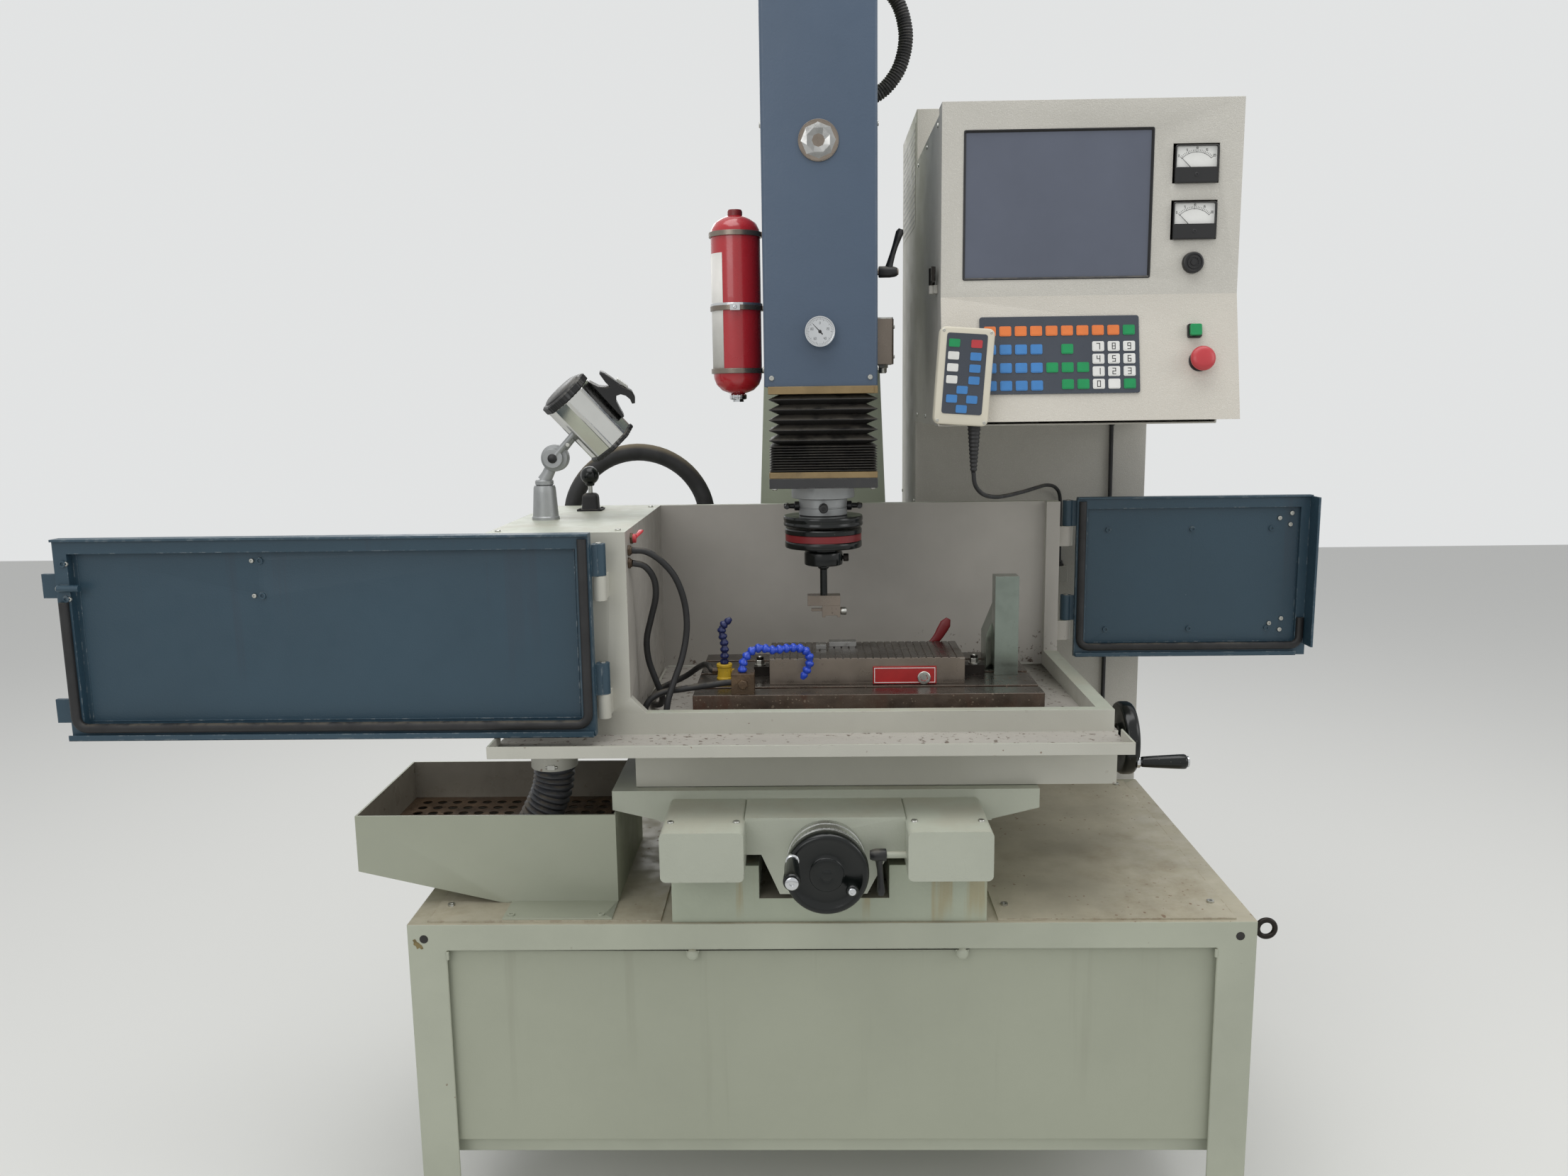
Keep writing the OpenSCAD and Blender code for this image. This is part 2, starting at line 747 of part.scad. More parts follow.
module console_door() {
    t = sheet_t;
    color(console_grey) placed() {
        difference() {
            along_x(door_x0, door_x1) door_outline(0, hinge_y);
            along_x(door_x0 + t, door_x1 - t) door_outline(t, hinge_y + 1);
            for (b = [screen_box, volt_box, amp_box])
                box([b[0], door_y - 1, b[1]], [b[2], door_y + t + 1, b[3]]);
            rod_y(door_y - 1, door_y + t + 1, buzzer_at[0], buzzer_at[1], 11);
            on_slope() {
                rod_y(-2, t + 3, green_at[0], green_at[1], 8 + run_fit);
                rod_y(-2, t + 3, stop_at[0], stop_at[1], 8 + run_fit);
            }
        }
        for (z = [door_bottom + 70.3, door_lid - 29.7]) difference() {
            union() {
                rod_z(z, z + 38, hinge_x, hinge_y, 5.5);
                box([door_x1 - 1, hinge_y - 5, z], [hinge_x, hinge_y - 2, z + 38]);
            }
            rod_z(z - 1, z + 39, hinge_x, hinge_y, 2.5 + run_fit);
        }
    }
}

module screen() {
    b = screen_box;
    color([0.1, 0.13, 0.14]) placed()
        box([b[0], door_y + 1, b[1]], [b[2], door_y + 20, b[3]]);
}

module meter(b) {
    pivot = [(b[0] + b[2]) / 2, b[1] + 14];
    difference() {
        union() {
            box([b[0], door_y - 1, b[1]], [b[2], door_y + 24, b[3]]);
            box([b[0] - 3, door_y - meter_out, b[1] - 3], [b[2] + 3, door_y, b[3] + 3]);
        }
        box([b[0] + 3, door_y - meter_out - 1, b[1] + 3], [b[2] - 3, door_y - 1, b[3] - 3]);
    }
    rod_y(door_y - 5, door_y, pivot[0], pivot[1], 1);
}

module panel_fittings() {
    b = screen_box;
    color(dark) placed() {
        meter(volt_box);
        meter(amp_box);
        difference() {
            box([b[0] - 9, door_y - 3, b[1] - 9], [b[2] + 9, door_y, b[3] + 9]);
            box([b[0] + 4, door_y - 4, b[1] + 4], [b[2] - 4, door_y + 1, b[3] - 4]);
        }
        rod_y(door_y - 8, door_y, buzzer_at[0], buzzer_at[1], 17.7);
        rod_y(door_y - 1, door_y + 18, buzzer_at[0], buzzer_at[1], 11);
    }
}

module meter_needle(b) {
    x = (b[0] + b[2]) / 2;
    z = b[1] + 14;
    difference() {
        union() {
            rod_y(door_y - 4.4, door_y - 1.8, x, z, 3);
            translate([x, 0, z]) rotate([0, -45, 0]) box([-0.6, door_y - 3.6, 0], [0.6, door_y - 2.6, 34]);
        }
        rod_y(door_y - 6, door_y, x, z, 1 + run_fit);
    }
}

module volt_needle() {
    color(dark) placed() meter_needle(volt_box);
}

module amp_needle() {
    color(dark) placed() meter_needle(amp_box);
}

module green_button() {
    color([0.1, 0.55, 0.3]) placed() on_slope() translate([green_at[0], 0, green_at[1]]) {
        along_y(-12, -5) round_rect(27, 27, 4);
        rod_y(-6, sheet_t + 8, 0, 0, 8);
    }
}

module stop_button() {
    color(red) placed() on_slope() translate([stop_at[0], 0, stop_at[1]]) {
        rod_y(-26, -14, 0, 0, 20.6);
        rod_y(-15, -6, 0, 0, 12);
        rod_y(-7, sheet_t + 8, 0, 0, 8);
    }
}

module keypad() {
    color([0.2, 0.22, 0.25]) placed() on_slope() {
        along_y(-3, 0) translate([(key_x0 + key_x1) / 2, (key_z0 + key_z1) / 2])
            round_rect(key_x1 - key_x0, key_z1 - key_z0, 4);
        for (i = [0 : 9], j = [0 : 3])
            translate([key_x0 + 10 + 23.4 * i, -5, key_z0 + 10 + 27 * j]) cube([18, 3, 20]);
    }
}

module console_latch() {
    x = latch_at[0];
    y = latch_at[1];
    color(steel) placed() difference() {
        union() {
            rod_z(latch_at[2] - 13.7, latch_at[2] + 13, x, y, 5);
            box([x - 2.5, y - 46, latch_at[2] - 11], [x + 1, y, latch_at[2] + 11]);
            box([x - 6, y - 50, latch_at[2] - 11], [x - 1, y - 44, latch_at[2] + 11]);
        }
        rod_z(latch_at[2] - 15, latch_at[2] + 14, x, y, 2.5 + run_fit);
    }
}

module pendant() {
    y0 = slope_y - 27;
    color(cream) placed() {
        along_y(y0, slope_y - seat_gap)
            translate([216, 796]) rotate(-4) round_rect(84, 148, 10);
        translate([234, y0 + 15, pendant_path[0][2]]) cylinder(h = 74, r1 = 6, r2 = 11);
    }
}

module pendant_cord() {
    color(dark) placed() tube(pendant_path, pendant_r, [0, 0, -1], [0, 0, -1]);
}

module cabinet_cable() {
    color(dark) placed() tube(cable_path, cable_r, [0, 0, -1], [0, 0, -1]);
}

// Drain tray on the deck
module drain_outline(t, top) {
    bottom = plate_t + t;
    polygon([
        [drain_x0 + t, top], [drain_x0 + t, drain_heel + plate_t + t], [drain_toe + t, bottom],
        [drain_x1 - t, bottom], [drain_x1 - t, top]
    ]);
}

module drain_tray() {
    color(paint_grey) placed() {
        difference() {
            along_y(drain_y0, drain_y1) drain_outline(0, drain_top);
            along_y(drain_y0 + sheet_t, drain_y1 - sheet_t) drain_outline(sheet_t, drain_top + 1);
        }
        box([foot_x, 8, plate_t], [drain_x1, drain_y0 + 1, plate_t + sheet_t]);
        for (x = [foot_x + 11, drain_x1 - 18]) translate([x, 18, plate_t + sheet_t]) screw_head(5.5, 3);
        for (x = [drain_x0 + 2, drain_x1 - 8])
            box([x, drain_y0 + 2, screen_z - 6], [x + 6, drain_y1 - 2, screen_z]);
    }
}

module drain_screen() {
    x0 = drain_x0 + sheet_t + seat_gap;
    x1 = drain_x1 - sheet_t - seat_gap;
    y0 = drain_y0 + sheet_t + seat_gap;
    y1 = drain_y1 - sheet_t - seat_gap;
    color(steel) placed() difference() {
        box([x0, y0, screen_z], [x1, y1, screen_z + 1.5]);
        for (i = [0 : 13], j = [0 : 8])
            rod_z(screen_z - 1, screen_z + 3, x0 + 28 + 26 * i, y0 + 25 + 27 * j, 8);
    }
}

// Saddle with its front cover
module lobe(x0, x1) {
    difference() {
        along_y(cover_y, saddle_y + 1) translate([(x0 + x1) / 2, (cover_z + cover_top) / 2])
            round_rect(x1 - x0, cover_top - cover_z, 8);
        box([x0 + lobe_t, cover_y + lobe_t, cover_z - 1], [x1 - lobe_t, saddle_y + 2, cover_top - lobe_t]);
    }
}

module saddle() {
    left = -240;
    right = 231;
    left_in = -121;
    right_in = 111;
    color(paint_grey) placed() difference() {
        union() {
            box([saddle_x0, saddle_y, saddle_z], [saddle_x1, saddle_y1, saddle_top]);
            along_y(saddle_y, saddle_y1) for (s = [-1, 1])
                polygon([
                    [s > 0 ? saddle_x1 - 1 : saddle_x0 + 1, saddle_z + 2],
                    [s > 0 ? saddle_x1 + wing : saddle_x0 - wing, saddle_top - wing_t],
                    [s > 0 ? saddle_x1 + wing : saddle_x0 - wing, saddle_top],
                    [s > 0 ? saddle_x1 - 1 : saddle_x0 + 1, saddle_top]
                ]);
            for (s = [-1, 1]) translate([s * (way_pitch + way_w + 18) / 2, 0, 0])
                box([-8.5, saddle_y, bed_h + 6], [8.5, saddle_y1, saddle_z + 1]);
            lobe(left, left_in);
            lobe(right_in, right);
            box([left_in - 1, recess_y, cover_top - 56], [right_in + 1, recess_y + lobe_t, cover_top]);
            box([left_in - 1, recess_y, cover_top - lobe_t], [right_in + 1, saddle_y + 1, cover_top]);
            along_y(recess_y, recess_y + 12)
                polygon([[-99, cover_top - 55], [88, cover_top - 55], [56, 48], [-72, 48]]);
            rod_y(recess_y - 40, recess_y + 1, y_screw_x, y_screw_z, drum_r);
            rod_x(76, right_in + 1, cover_y + 40, 116, 5);
            box([x_nut_x, x_screw_y - 20, saddle_top - 1], [x_nut_x + 60, x_screw_y + 20, x_screw_z + 22]);
        }
        rod_y(recess_y - 41, recess_y + 13, y_screw_x, y_screw_z, screw_r + run_fit);
        rod_x(x_nut_x - 1, x_nut_x + 61, x_screw_y, x_screw_z, screw_r + run_fit);
    }
}

// A handwheel with its face at z = 0 and its shaft behind
module wheel(shaft) {
    difference() {
        union() {
            translate([0, 0, -wheel_t]) cylinder(h = wheel_t, r = wheel_r);
            translate([0, 0, -wheel_t]) cylinder(h = wheel_t + 8, r = 24);
        }
        translate([0, 0, -7]) difference() {
            cylinder(h = 20, r = wheel_r - 9);
            translate([0, 0, -1]) cylinder(h = 22, r = 24);
        }
    }
    translate([0, 0, -shaft]) cylinder(h = shaft, r = screw_r);
    translate([-48, 22, -8]) cylinder(h = 88, r = 4);
    translate([-48, 22, grip_end - 4]) cylinder(h = 4, r = 9);
    translate([35, -17, -8]) cylinder(h = 12, r = 7);
    translate([35, -17, 10]) sphere(9);
}

module grip() {
    difference() {
        cylinder(h = grip_l, r = grip_r);
        translate([0, 0, -1]) cylinder(h = grip_l + 2, r = 4 + run_fit);
    }
}

module y_wheel() {
    color(dark) placed() translate([y_screw_x, y_face, y_screw_z]) rotate([90, 0, 0]) wheel(y_shaft_l);
}

module y_grip() {
    color(dark) placed() translate([y_screw_x - 48, y_face - 4, y_screw_z + 22])
        rotate([90, 0, 0]) grip();
}

module y_lever() {
    y = cover_y + 40;
    color(steel) placed() difference() {
        union() {
            rod_x(58, 84, y, 116, 9);
            rod([71, y, 116], [81, y, 54], 4);
            translate([81, y, 52]) sphere(6);
        }
        rod_x(74, 86, y, 116, 5 + run_fit);
    }
}

// Table
module table() {
    slot_y = table_y + 47.4;
    channel_top = x_screw_z + 32;
    color([0.45, 0.40, 0.36]) placed() difference() {
        union() {
            box([table_x, table_y, table_z], [table_x1, table_y1, table_top]);
            rod_x(table_x1 - 1, barrel_x, x_screw_y, x_screw_z, barrel_r);
        }
        box([table_x - 1, x_screw_y - 30, table_z - 1], [table_x1 - 30, x_screw_y + 30, channel_top]);
        rod_x(table_x1 - 31, barrel_x + 1, x_screw_y, x_screw_z, screw_r + run_fit);
        for (i = [0 : 2]) {
            y = slot_y + slot_pitch * i;
            box([table_x - 1, y - slot_w / 2, table_top - 16], [table_x1 + 1, y + slot_w / 2, table_top + 1]);
            box([table_x - 1, y - slot_w, table_top - 26], [table_x1 + 1, y + slot_w, table_top - 15]);
        }
    }
}

module x_wheel() {
    color(dark) placed() translate([x_wheel_x + wheel_t, x_screw_y, x_screw_z]) rotate([0, 90, 0])
        rotate(x_grip_turn) wheel(x_wheel_x + wheel_t - table_x - 10);
}

module x_grip() {
    color(dark) placed() translate([x_wheel_x + wheel_t, x_screw_y, x_screw_z]) rotate([0, 90, 0])
        rotate(x_grip_turn) translate([-48, 22, 4]) grip();
}

// Tank: one weldment with its left box, sills, back wall, tool tray and apron
module tank_hinge(x, y, z, from) {
    rod_z(z, z + knuckle_h, x, y, knuckle_r);
    rod_z(z + knuckle_h - 1, z + hinge_l, x, y, pin_r);
    box([min(x, from[0]), min(y, from[1]), z], [max(x, from[0]), max(y, from[1]), z + knuckle_h]);
}

module tank() {
    t = sheet_t;
    left = tank_x - box_w;
    color(paint_grey) placed() difference() {
        union() {
            difference() {
                box([left, tank_y, tank_z], [tank_x, tank_y1, tank_top]);
                box([left + t, tank_y + t, tank_z - 1], [tank_x - t, tank_y1 - t, tank_top - t]);
            }
            difference() {
                box([tank_x - 1, tank_y, tank_z], [tank_x1 - 6, tank_y1, tank_z + floor_t]);
                box([table_x, table_y, tank_z - 1], [table_x1, table_y1, table_top]);
            }
            box([tank_x - 1, tank_y, tank_z], [tank_x1 - 6, tank_y + 18, sill_top]);
            along_y(tank_y, tank_y + 18)
                polygon([[tank_x - 1, sill_top - 1], [tank_x + 24, sill_top - 1], [tank_x - 1, sill_top + 25]]);
            box([tank_x1 - sill_w, tank_y, tank_z], [tank_x1, tank_y1, sill_top]);
            box([tank_x - 1, tank_y1 - 1, tank_z], [tank_x1, tank_y1 + t, tank_top]);
            box([left, tank_y1 - 1, tank_top - t], [tank_x1, tank_y1 + 14, tank_top]);
            box([tank_x1 - sill_w, tank_y1 - 16, tank_z], [tank_x1, tank_y1 + 14, tank_top]);
            box([tray_x0, tray_y, tray_z], [tray_x1, tank_y + 1, tank_z]);
            box([tray_x0, tray_y, tray_z], [tray_x1, tray_y + t, lip_top]);
            for (x = [tray_x0, tray_x1 - t]) box([x, tray_y, tray_z], [x + t, tray_y + 70, lip_top]);
            box([apron_x0, tank_y, apron_z], [apron_x1, tank_y + t, tank_z]);
            for (x = [apron_x0, apron_x1 - t]) box([x, tank_y, apron_z], [x + t, tank_y + apron_d, tank_z]);
            box([apron_x0, tank_y, tray_z], [apron_x1, tank_y + apron_d, tank_z + 1]);
            for (z = front_hinges) tank_hinge(front_x, front_y, z, [front_x + 7, tank_y + 1]);
            for (z = side_hinges) {
                tank_hinge(side_x, side_y, z, [side_x - 9, side_y - 12]);
                box([tank_x1 - 20, side_y - 13, z], [side_x, side_y - 7, z + knuckle_h]);
            }
            difference() {
                rod_z(drain_path[0][2], tank_z + 1, drain_path[0][0], drain_path[0][1], drain_r + 4);
                rod_z(drain_path[0][2] - 1, tank_z + 2, drain_path[0][0], drain_path[0][1], drain_r - 4);
            }
            box([drain_path[0][0] - 50, tank_y, tank_z], [drain_path[0][0] + 50, tank_y + 130, tank_z + t]);
        }
        rod_z(tank_top - 10, tank_top + 1, rod_at[0], rod_at[1], pin_r + run_fit);
    }
}

// Doors, drawn from their hinge axes in the open position
module door_knuckles(places, leaf) {
    for (z = places) difference() {
        union() {
            rod_z(z + knuckle_h + seat_gap, z + hinge_l + knuckle_r, 0, 0, knuckle_r);
            box([leaf[0], leaf[1], z + knuckle_h + seat_gap], [leaf[2], leaf[3], z + hinge_l + knuckle_r]);
        }
        rod_z(z, z + hinge_l + 1, 0, 0, pin_r + run_fit);
    }
}

module front_door() {
    x0 = front_in - front_door_w;
    x1 = front_in;
    skin = front_skin;
    rim = skin - front_rim;
    color(paint_blue) placed() translate([front_x, front_y, 0]) {
        box([x0, skin, door_z], [x1, skin + skin_t, door_top]);
        difference() {
            box([x0, rim, door_z], [x1, skin + 1, door_top]);
            box([x0 + rim_w, rim - 1, door_z + rim_w], [x1 - rim_w, skin, door_top - rim_w]);
        }
        door_knuckles(front_hinges, [-14, skin, 0, -6]);
        for (z = [door_z + 24, door_top - 86]) box([x0 - 26, skin - 5, z], [x0 + 1, skin + 2, z + 36]);
        rod_x(x0 + 4, x0 + 36, rim - 3, door_top - 70, 5);
        for (x = [x0 + 14, x0 + 297], z = [door_top - 34, door_top - 86])
            translate([x, x > x0 + 20 ? skin : rim, z]) rotate([90, 0, 0]) screw_head(5, 3);
    }
}

module front_gasket() {
    x0 = front_in - front_door_w + 3;
    x1 = front_in - 3;
    y = front_skin - front_rim;
    w = rim_w - 6;
    color(dark) placed() translate([front_x, front_y, 0]) difference() {
        box([x0, y - front_seal, door_z + 3], [x1, y, door_top - 6]);
        box([x0 + w, y - front_seal - 1, door_z + 3 + w], [x1 - w, y + 1, door_top]);
        box([x0 - 1, y - front_seal - 1, door_top - 94], [x0 + 36, y + 1, door_top]);
    }
}

module side_door() {
    x0 = side_in;
    x1 = side_in + side_door_w;
    rim = side_skin - side_rim;
    z0 = door_z + 1;
    color(paint_blue) placed() translate([side_x, side_y, 0]) {
        box([x0, side_skin, z0], [x1, side_skin + skin_t, door_top]);
        difference() {
            box([x0, rim, z0], [x1, side_skin + 1, door_top]);
            box([x0 + rim_w, rim - 1, z0 + rim_w], [x1 - rim_w, side_skin, door_top - rim_w]);
        }
        box([x1 - 4, side_skin - side_flange, sill_top + 4], [x1, side_skin, door_top]);
        door_knuckles(side_hinges, [0, side_skin, 16, side_skin + 4]);
        for (x = [x0 + 60, (x0 + x1) / 2, x1 - 70], z = [z0 + 50, door_top - 60])
            translate([x, side_skin, z]) rotate([90, 0, 0]) screw_head(5, 3);
    }
}

module side_gasket() {
    x0 = side_in + 3;
    x1 = side_in + side_door_w - 5;
    y = side_skin - side_rim;
    w = rim_w - 6;
    z0 = door_z + 4;
    color(dark) placed() translate([side_x, side_y, 0]) difference() {
        box([x0, y - side_seal, z0], [x1, y, door_top - 6]);
        box([x0 + w, y - side_seal - 1, z0 + w], [x1 - w, y + 1, door_top]);
        box([x1 - w - 1, y - side_seal - 1, z0 + 70], [x1 + 1, y + 1, door_top]);
    }
}

module drain_hose() {
    color([0.4, 0.4, 0.4]) placed() tube(drain_path, drain_r, [0, 0, -1], unit([-0.3, -0.05, -0.95]), 12);
}

// Foot of the lamp and boss of the pull rod, both on the left box
module lamp_base() {
    color(dark) placed() {
        translate([lamp_at[0], lamp_at[1], tank_top]) difference() {
            cylinder(h = 56, r1 = 22.5, r2 = 18);
            translate([0, 0, 26]) cylinder(h = 40, r = 8 + run_fit);
        }
        translate([rod_at[0], rod_at[1], tank_top]) difference() {
            cylinder(h = 33, r1 = 14, r2 = 8);
            translate([0, 0, -1]) cylinder(h = 35, r = pin_r + run_fit);
        }
    }
}

module lamp_arm() {
    top = tank_top + 56;
    e = lamp_elbow_at;
    color(dark) placed() {
        rod_z(top - 29, top + 1, lamp_at[0], lamp_at[1], 8);
        rod_z(top + seat_gap, top + 9, lamp_at[0], lamp_at[1], 15);
        rod([lamp_at[0], lamp_at[1], top + 8], e, 10);
        rod_y(e[1] - 12, e[1] + 12, e[0], e[2], 22);
        rod_y(e[1] - 24, e[1] + 24, e[0], e[2], 6);
    }
}

module lamp_head() {
    e = lamp_elbow_at;
    h = lamp_head_at;
    a = unit(lamp_axis);
    color(paint_grey) placed() {
        difference() {
            union() for (y = [e[1] - 24, e[1] + 12 + seat_gap]) {
                rod_y(y, y + 12 - seat_gap, e[0], e[2], 16);
                rod([e[0], y + 6, e[2]], [h[0] - 14, y + 6, h[2] - 14], 5.5);
            }
            rod_y(e[1] - 25, e[1] + 25, e[0], e[2], 6 + run_fit);
            rod_y(e[1] - 12 - seat_gap, e[1] + 12 + seat_gap, e[0], e[2], 22 + seat_gap);
        }
        difference() {
            rod(h - 58 * a, h + 58 * a, lamp_r);
            rod(h - 54 * a, h + 59 * a, lamp_r - sheet_t);
        }
        rod(h - 66 * a, h - 57 * a, 38);
        for (y = [-12, 12]) {
            rod([h[0] + 18, h[1] + y, h[2] + 30], [h[0] + 52, h[1] + y, h[2] + 62], 4);
            rod([h[0] + 52, h[1] + y, h[2] + 62], [h[0] + 58, h[1] + y, h[2] + 40], 4);
        }
    }
}

module pull_rod() {
    z = tank_top;
    color(dark) placed() {
        rod_z(z - 60, z + 62, rod_at[0], rod_at[1], pin_r);
        translate([rod_at[0], rod_at[1], z + 62]) sphere(15);
    }
}

module valve_lever() {
    x = tank_x;
    color(red) placed() difference() {
        union() {
            rod_x(x + 2, x + 9, 150, 558, 7);
            rod([x + 6, 150, 558], [x + 12, 180, 566], 3.5);
        }
        rod_x(x + 1, x + 10, 150, 558, 3 + run_fit);
    }
}

// What stands on the table
module magnetic_chuck() {
    y1 = 345;
    color(steel) placed() {
        difference() {
            box([-90, 217, table_top], [225, y1, table_top + 43]);
            for (i = [0 : 24]) translate([-82 + 12.2 * i, 216, table_top + 41.5]) cube([2, y1 - 215, 2]);
        }
        rod_y(y1 - 1, y1 + 12, lever_x, lever_z, 4);
    }
}

module chuck_lever() {
    y = 345 + seat_gap;
    color(steel) placed() difference() {
        union() {
            rod_y(y, y + 10, lever_x, lever_z, 9);
            rod([lever_x, y + 6, lever_z], [lever_x + 35, y + 6, lever_z + 47], 4);
        }
        rod_y(y - 1, y + 11, lever_x, lever_z, 4 + run_fit);
    }
}

module table_fittings() {
    z = table_top;
    color(steel) placed() {
        box([stop_x, stop_y0, z], [-90, stop_y1, z + 16]);
        box([225, stop_y0, z], [266, stop_y1, z + 16]);
        for (x = [stop_x + 10, 250]) rod_z(z + 15, z + 30, x, 291, 6);
        box([-14, 284, z + 43], [3, 303, z + 51]);
        box([8, 306, z + 43], [54, 328, z + 51]);
        difference() {
            box([77, 213, z + 1], [179, 217, z + 29]);
            rod_y(212, 218, 159, z + 11, 5);
        }
        box([281, 272, z], [320, 305, z + 165]);
        along_y(305, 363) polygon([[272, z], [324, z], [324, z + 131], [300, z + 131], [272, z + 60]]);
    }
}

module flushing_set() {
    z = table_top;
    color([0.15, 0.35, 0.75]) placed() {
        box([-148, 152, z], [-112, 185, z + 33]);
        rod_z(z, z + 26, -166, 262, 13);
        rod_x(hose_b_path[19][0], -166, 262, z + 13, 6);
        tube([[-131, 168, z + 33], [-131, 168, z + 45], [-121, 169, z + 63], [-103, 170, z + 72], [-83, 171, z + 67],
            [-56, 180, z + 69], [-31, 190, z + 63], [-24, 190, z + 44], [-33, 190, z + 16]], 6.5, [0, 0, 1], [0, 0, -1]);
        tube([[-166, 260, z + 26], [-165, 255, z + 42], [-165, 255, z + 64], [-170, 255, z + 86],
            [-158, 255, z + 105]], 6.5, [0, 0, 1], [0.5, 0, 0.87]);
        for (p = [[hose_a_path[0][1], hose_a_path[0][2]], [hose_b_path[0][1], hose_b_path[0][2]]])
            rod_x(tank_x, tank_x + 6, p[0], p[1], 8);
        rod_x(tank_x, tank_x + 10, 150, 558, 3);
        rod_z(tank_z + floor_t, hose_a_path[9][2], hose_a_path[9][0], hose_a_path[9][1], 8);
        rod_z(tank_z + floor_t, hose_c_path[0][2], hose_c_path[0][0], hose_c_path[0][1], 8);
        for (p = [supply_path[0], supply_path[12]]) {
            rod_y(p[0] < tank_x ? tank_y1 : tank_y1 + sheet_t, p[1], p[0], p[2] - 20, 16);
            rod_z(p[2] - 20, p[2], p[0], p[1], 16);
            translate([p[0], p[1], p[2] - 20]) sphere(18);
        }
    }
}

module hose_a() {
    color(dark) placed() tube(hose_a_path, hose_r, [1, 0, 0], [0, 0, -1]);
}

module hose_b() {
    color(dark) placed() tube(hose_b_path, hose_r, [1, 0, 0], [1, 0, 0]);
}

module hose_c() {
    color(dark) placed() tube(hose_c_path, hose_r, [0, 0, 1], [1, 0, 0]);
}

module supply_hose() {
    color(dark) placed() tube(supply_path, conduit_r, [0, 0, 1], [0, 0, -1], 10);
}

// Ram, bellows and electrode chuck
module z_ram() {
    color(dark) placed() difference() {
        union() {
            rod_z(collar_z, ram_top, 0, head_y, ram_r);
            rod_z(collar_z, ram_plate_z + 1, 0, head_y, collar_r);
            box([-fold_w, head_y - fold_w, ram_plate_z], [fold_w, head_y + fold_w, ram_plate_z + ram_plate_t]);
        }
        rod_z(guide_z0 - 80, ram_top + 1, 0, head_y, screw_r + run_fit);
    }
}

module bellows() {
    t = 1.5;
    rings = concat(
        [for (i = [0 : 2 * tight_folds - 1])
            [bellows_z0 + i * tight_pitch / 2, i % 2 == 0 ? fold_w : fold_w - 10]],
        [for (i = [0 : 2 * wide_folds])
            [bellows_z0 + tight_folds * tight_pitch + i * wide_pitch / 2, i % 2 == 0 ? fold_w : fold_w - 18]]
    );
    count = len(rings);
    corners = [[-1, -1], [1, -1], [1, 1], [-1, 1]];
    points = [
        for (inner = [0, 1], r = rings, c = corners)
            [c[0] * (r[1] - inner * t), head_y + c[1] * (r[1] - inner * t), r[0]]
    ];
    skins = [
        for (inner = [0, 1], i = [0 : count - 2], j = [0 : 3], k = [0, 1])
            let (a = 4 * (inner * count + i) + j, b = 4 * (inner * count + i) + (j + 1) % 4,
                tri = k == 0 ? [a, a + 4, b + 4] : [a, b + 4, b])
            inner == 0 ? tri : [tri[2], tri[1], tri[0]]
    ];
    ends = [
        for (i = [0, count - 1], j = [0 : 3])
            let (a = 4 * i + j, b = 4 * i + (j + 1) % 4, c = 4 * count,
                quad = [a, b, b + c, a + c])
            i == 0 ? quad : [quad[3], quad[2], quad[1], quad[0]]
    ];
    color([0.12, 0.12, 0.12]) placed() {
        polyhedron(points, concat(skins, ends), convexity = 10);
        difference() {
            box([-fold_w, head_y - fold_w, bellows_z0 - frame_t], [fold_w, head_y + fold_w, bellows_z0]);
            rod_z(bellows_z0 - frame_t - 1, bellows_z0 + 1, 0, head_y, ram_r + 4);
        }
    }
}

module t_screw(z, angle, tee) {
    translate([0, head_y, z]) rotate([0, 0, angle]) {
        rod_x(holder_r - 2, holder_r + 22, 0, 0, 4);
        if (tee) rod_y(-16, 16, holder_r + 20, 0, 3.5);
    }
}

module electrode_holder() {
    color(cream) placed() {
        rod_z(holder_z, collar_z, 0, head_y, holder_r);
        rod_z(disc_z, holder_z + 1, 0, head_y, disc_r);
        rod_z(chuck_disc_top - 14, disc_z + 1, 0, head_y, 12);
        for (a = [0, 180]) t_screw(holder_z + 15, a, true);
        t_screw(holder_z + 15, -90, false);
    }
}

module electrode_chuck() {
    z = chuck_disc_z;
    top = chuck_disc_top;
    color(dark) placed() difference() {
        union() {
            rod_z(top - 9, top, 0, head_y, 64);
            rod_z(top - 22, top - 8, 0, head_y, 62.5);
            rod_z(z, z + 12, 0, head_y, 64);
            rod_z(z - 7, z + 1, 0, head_y, 25);
            rod_z(z - 30, z - 6, 0, head_y, 32);
            rod_x(30, 42, head_y, z - 18, 4);
            rod_z(clamp_z + 20, z - 29, 0, head_y, 6);
            box([-27.5, head_y - 12, clamp_z + 4], [27.5, head_y + 12, clamp_z + 23]);
            box([-27.5, head_y - 12, clamp_z - 14], [-3, head_y + 12, clamp_z + 5]);
            box([3, head_y - 12, clamp_z - 14], [27.5, head_y + 12, clamp_z + 5]);
        }
        rod_z(top - 15, top + 1, 0, head_y, 12 + run_fit);
        rod_x(2, 28, head_y, clamp_z - 5, 3 + run_fit);
    }
}

module clamp_screw() {
    color(steel) placed() {
        rod_x(-1, 29, head_y, clamp_z - 5, 3);
        rod_x(27.8, 38, head_y, clamp_z - 5, 6.5);
    }
}

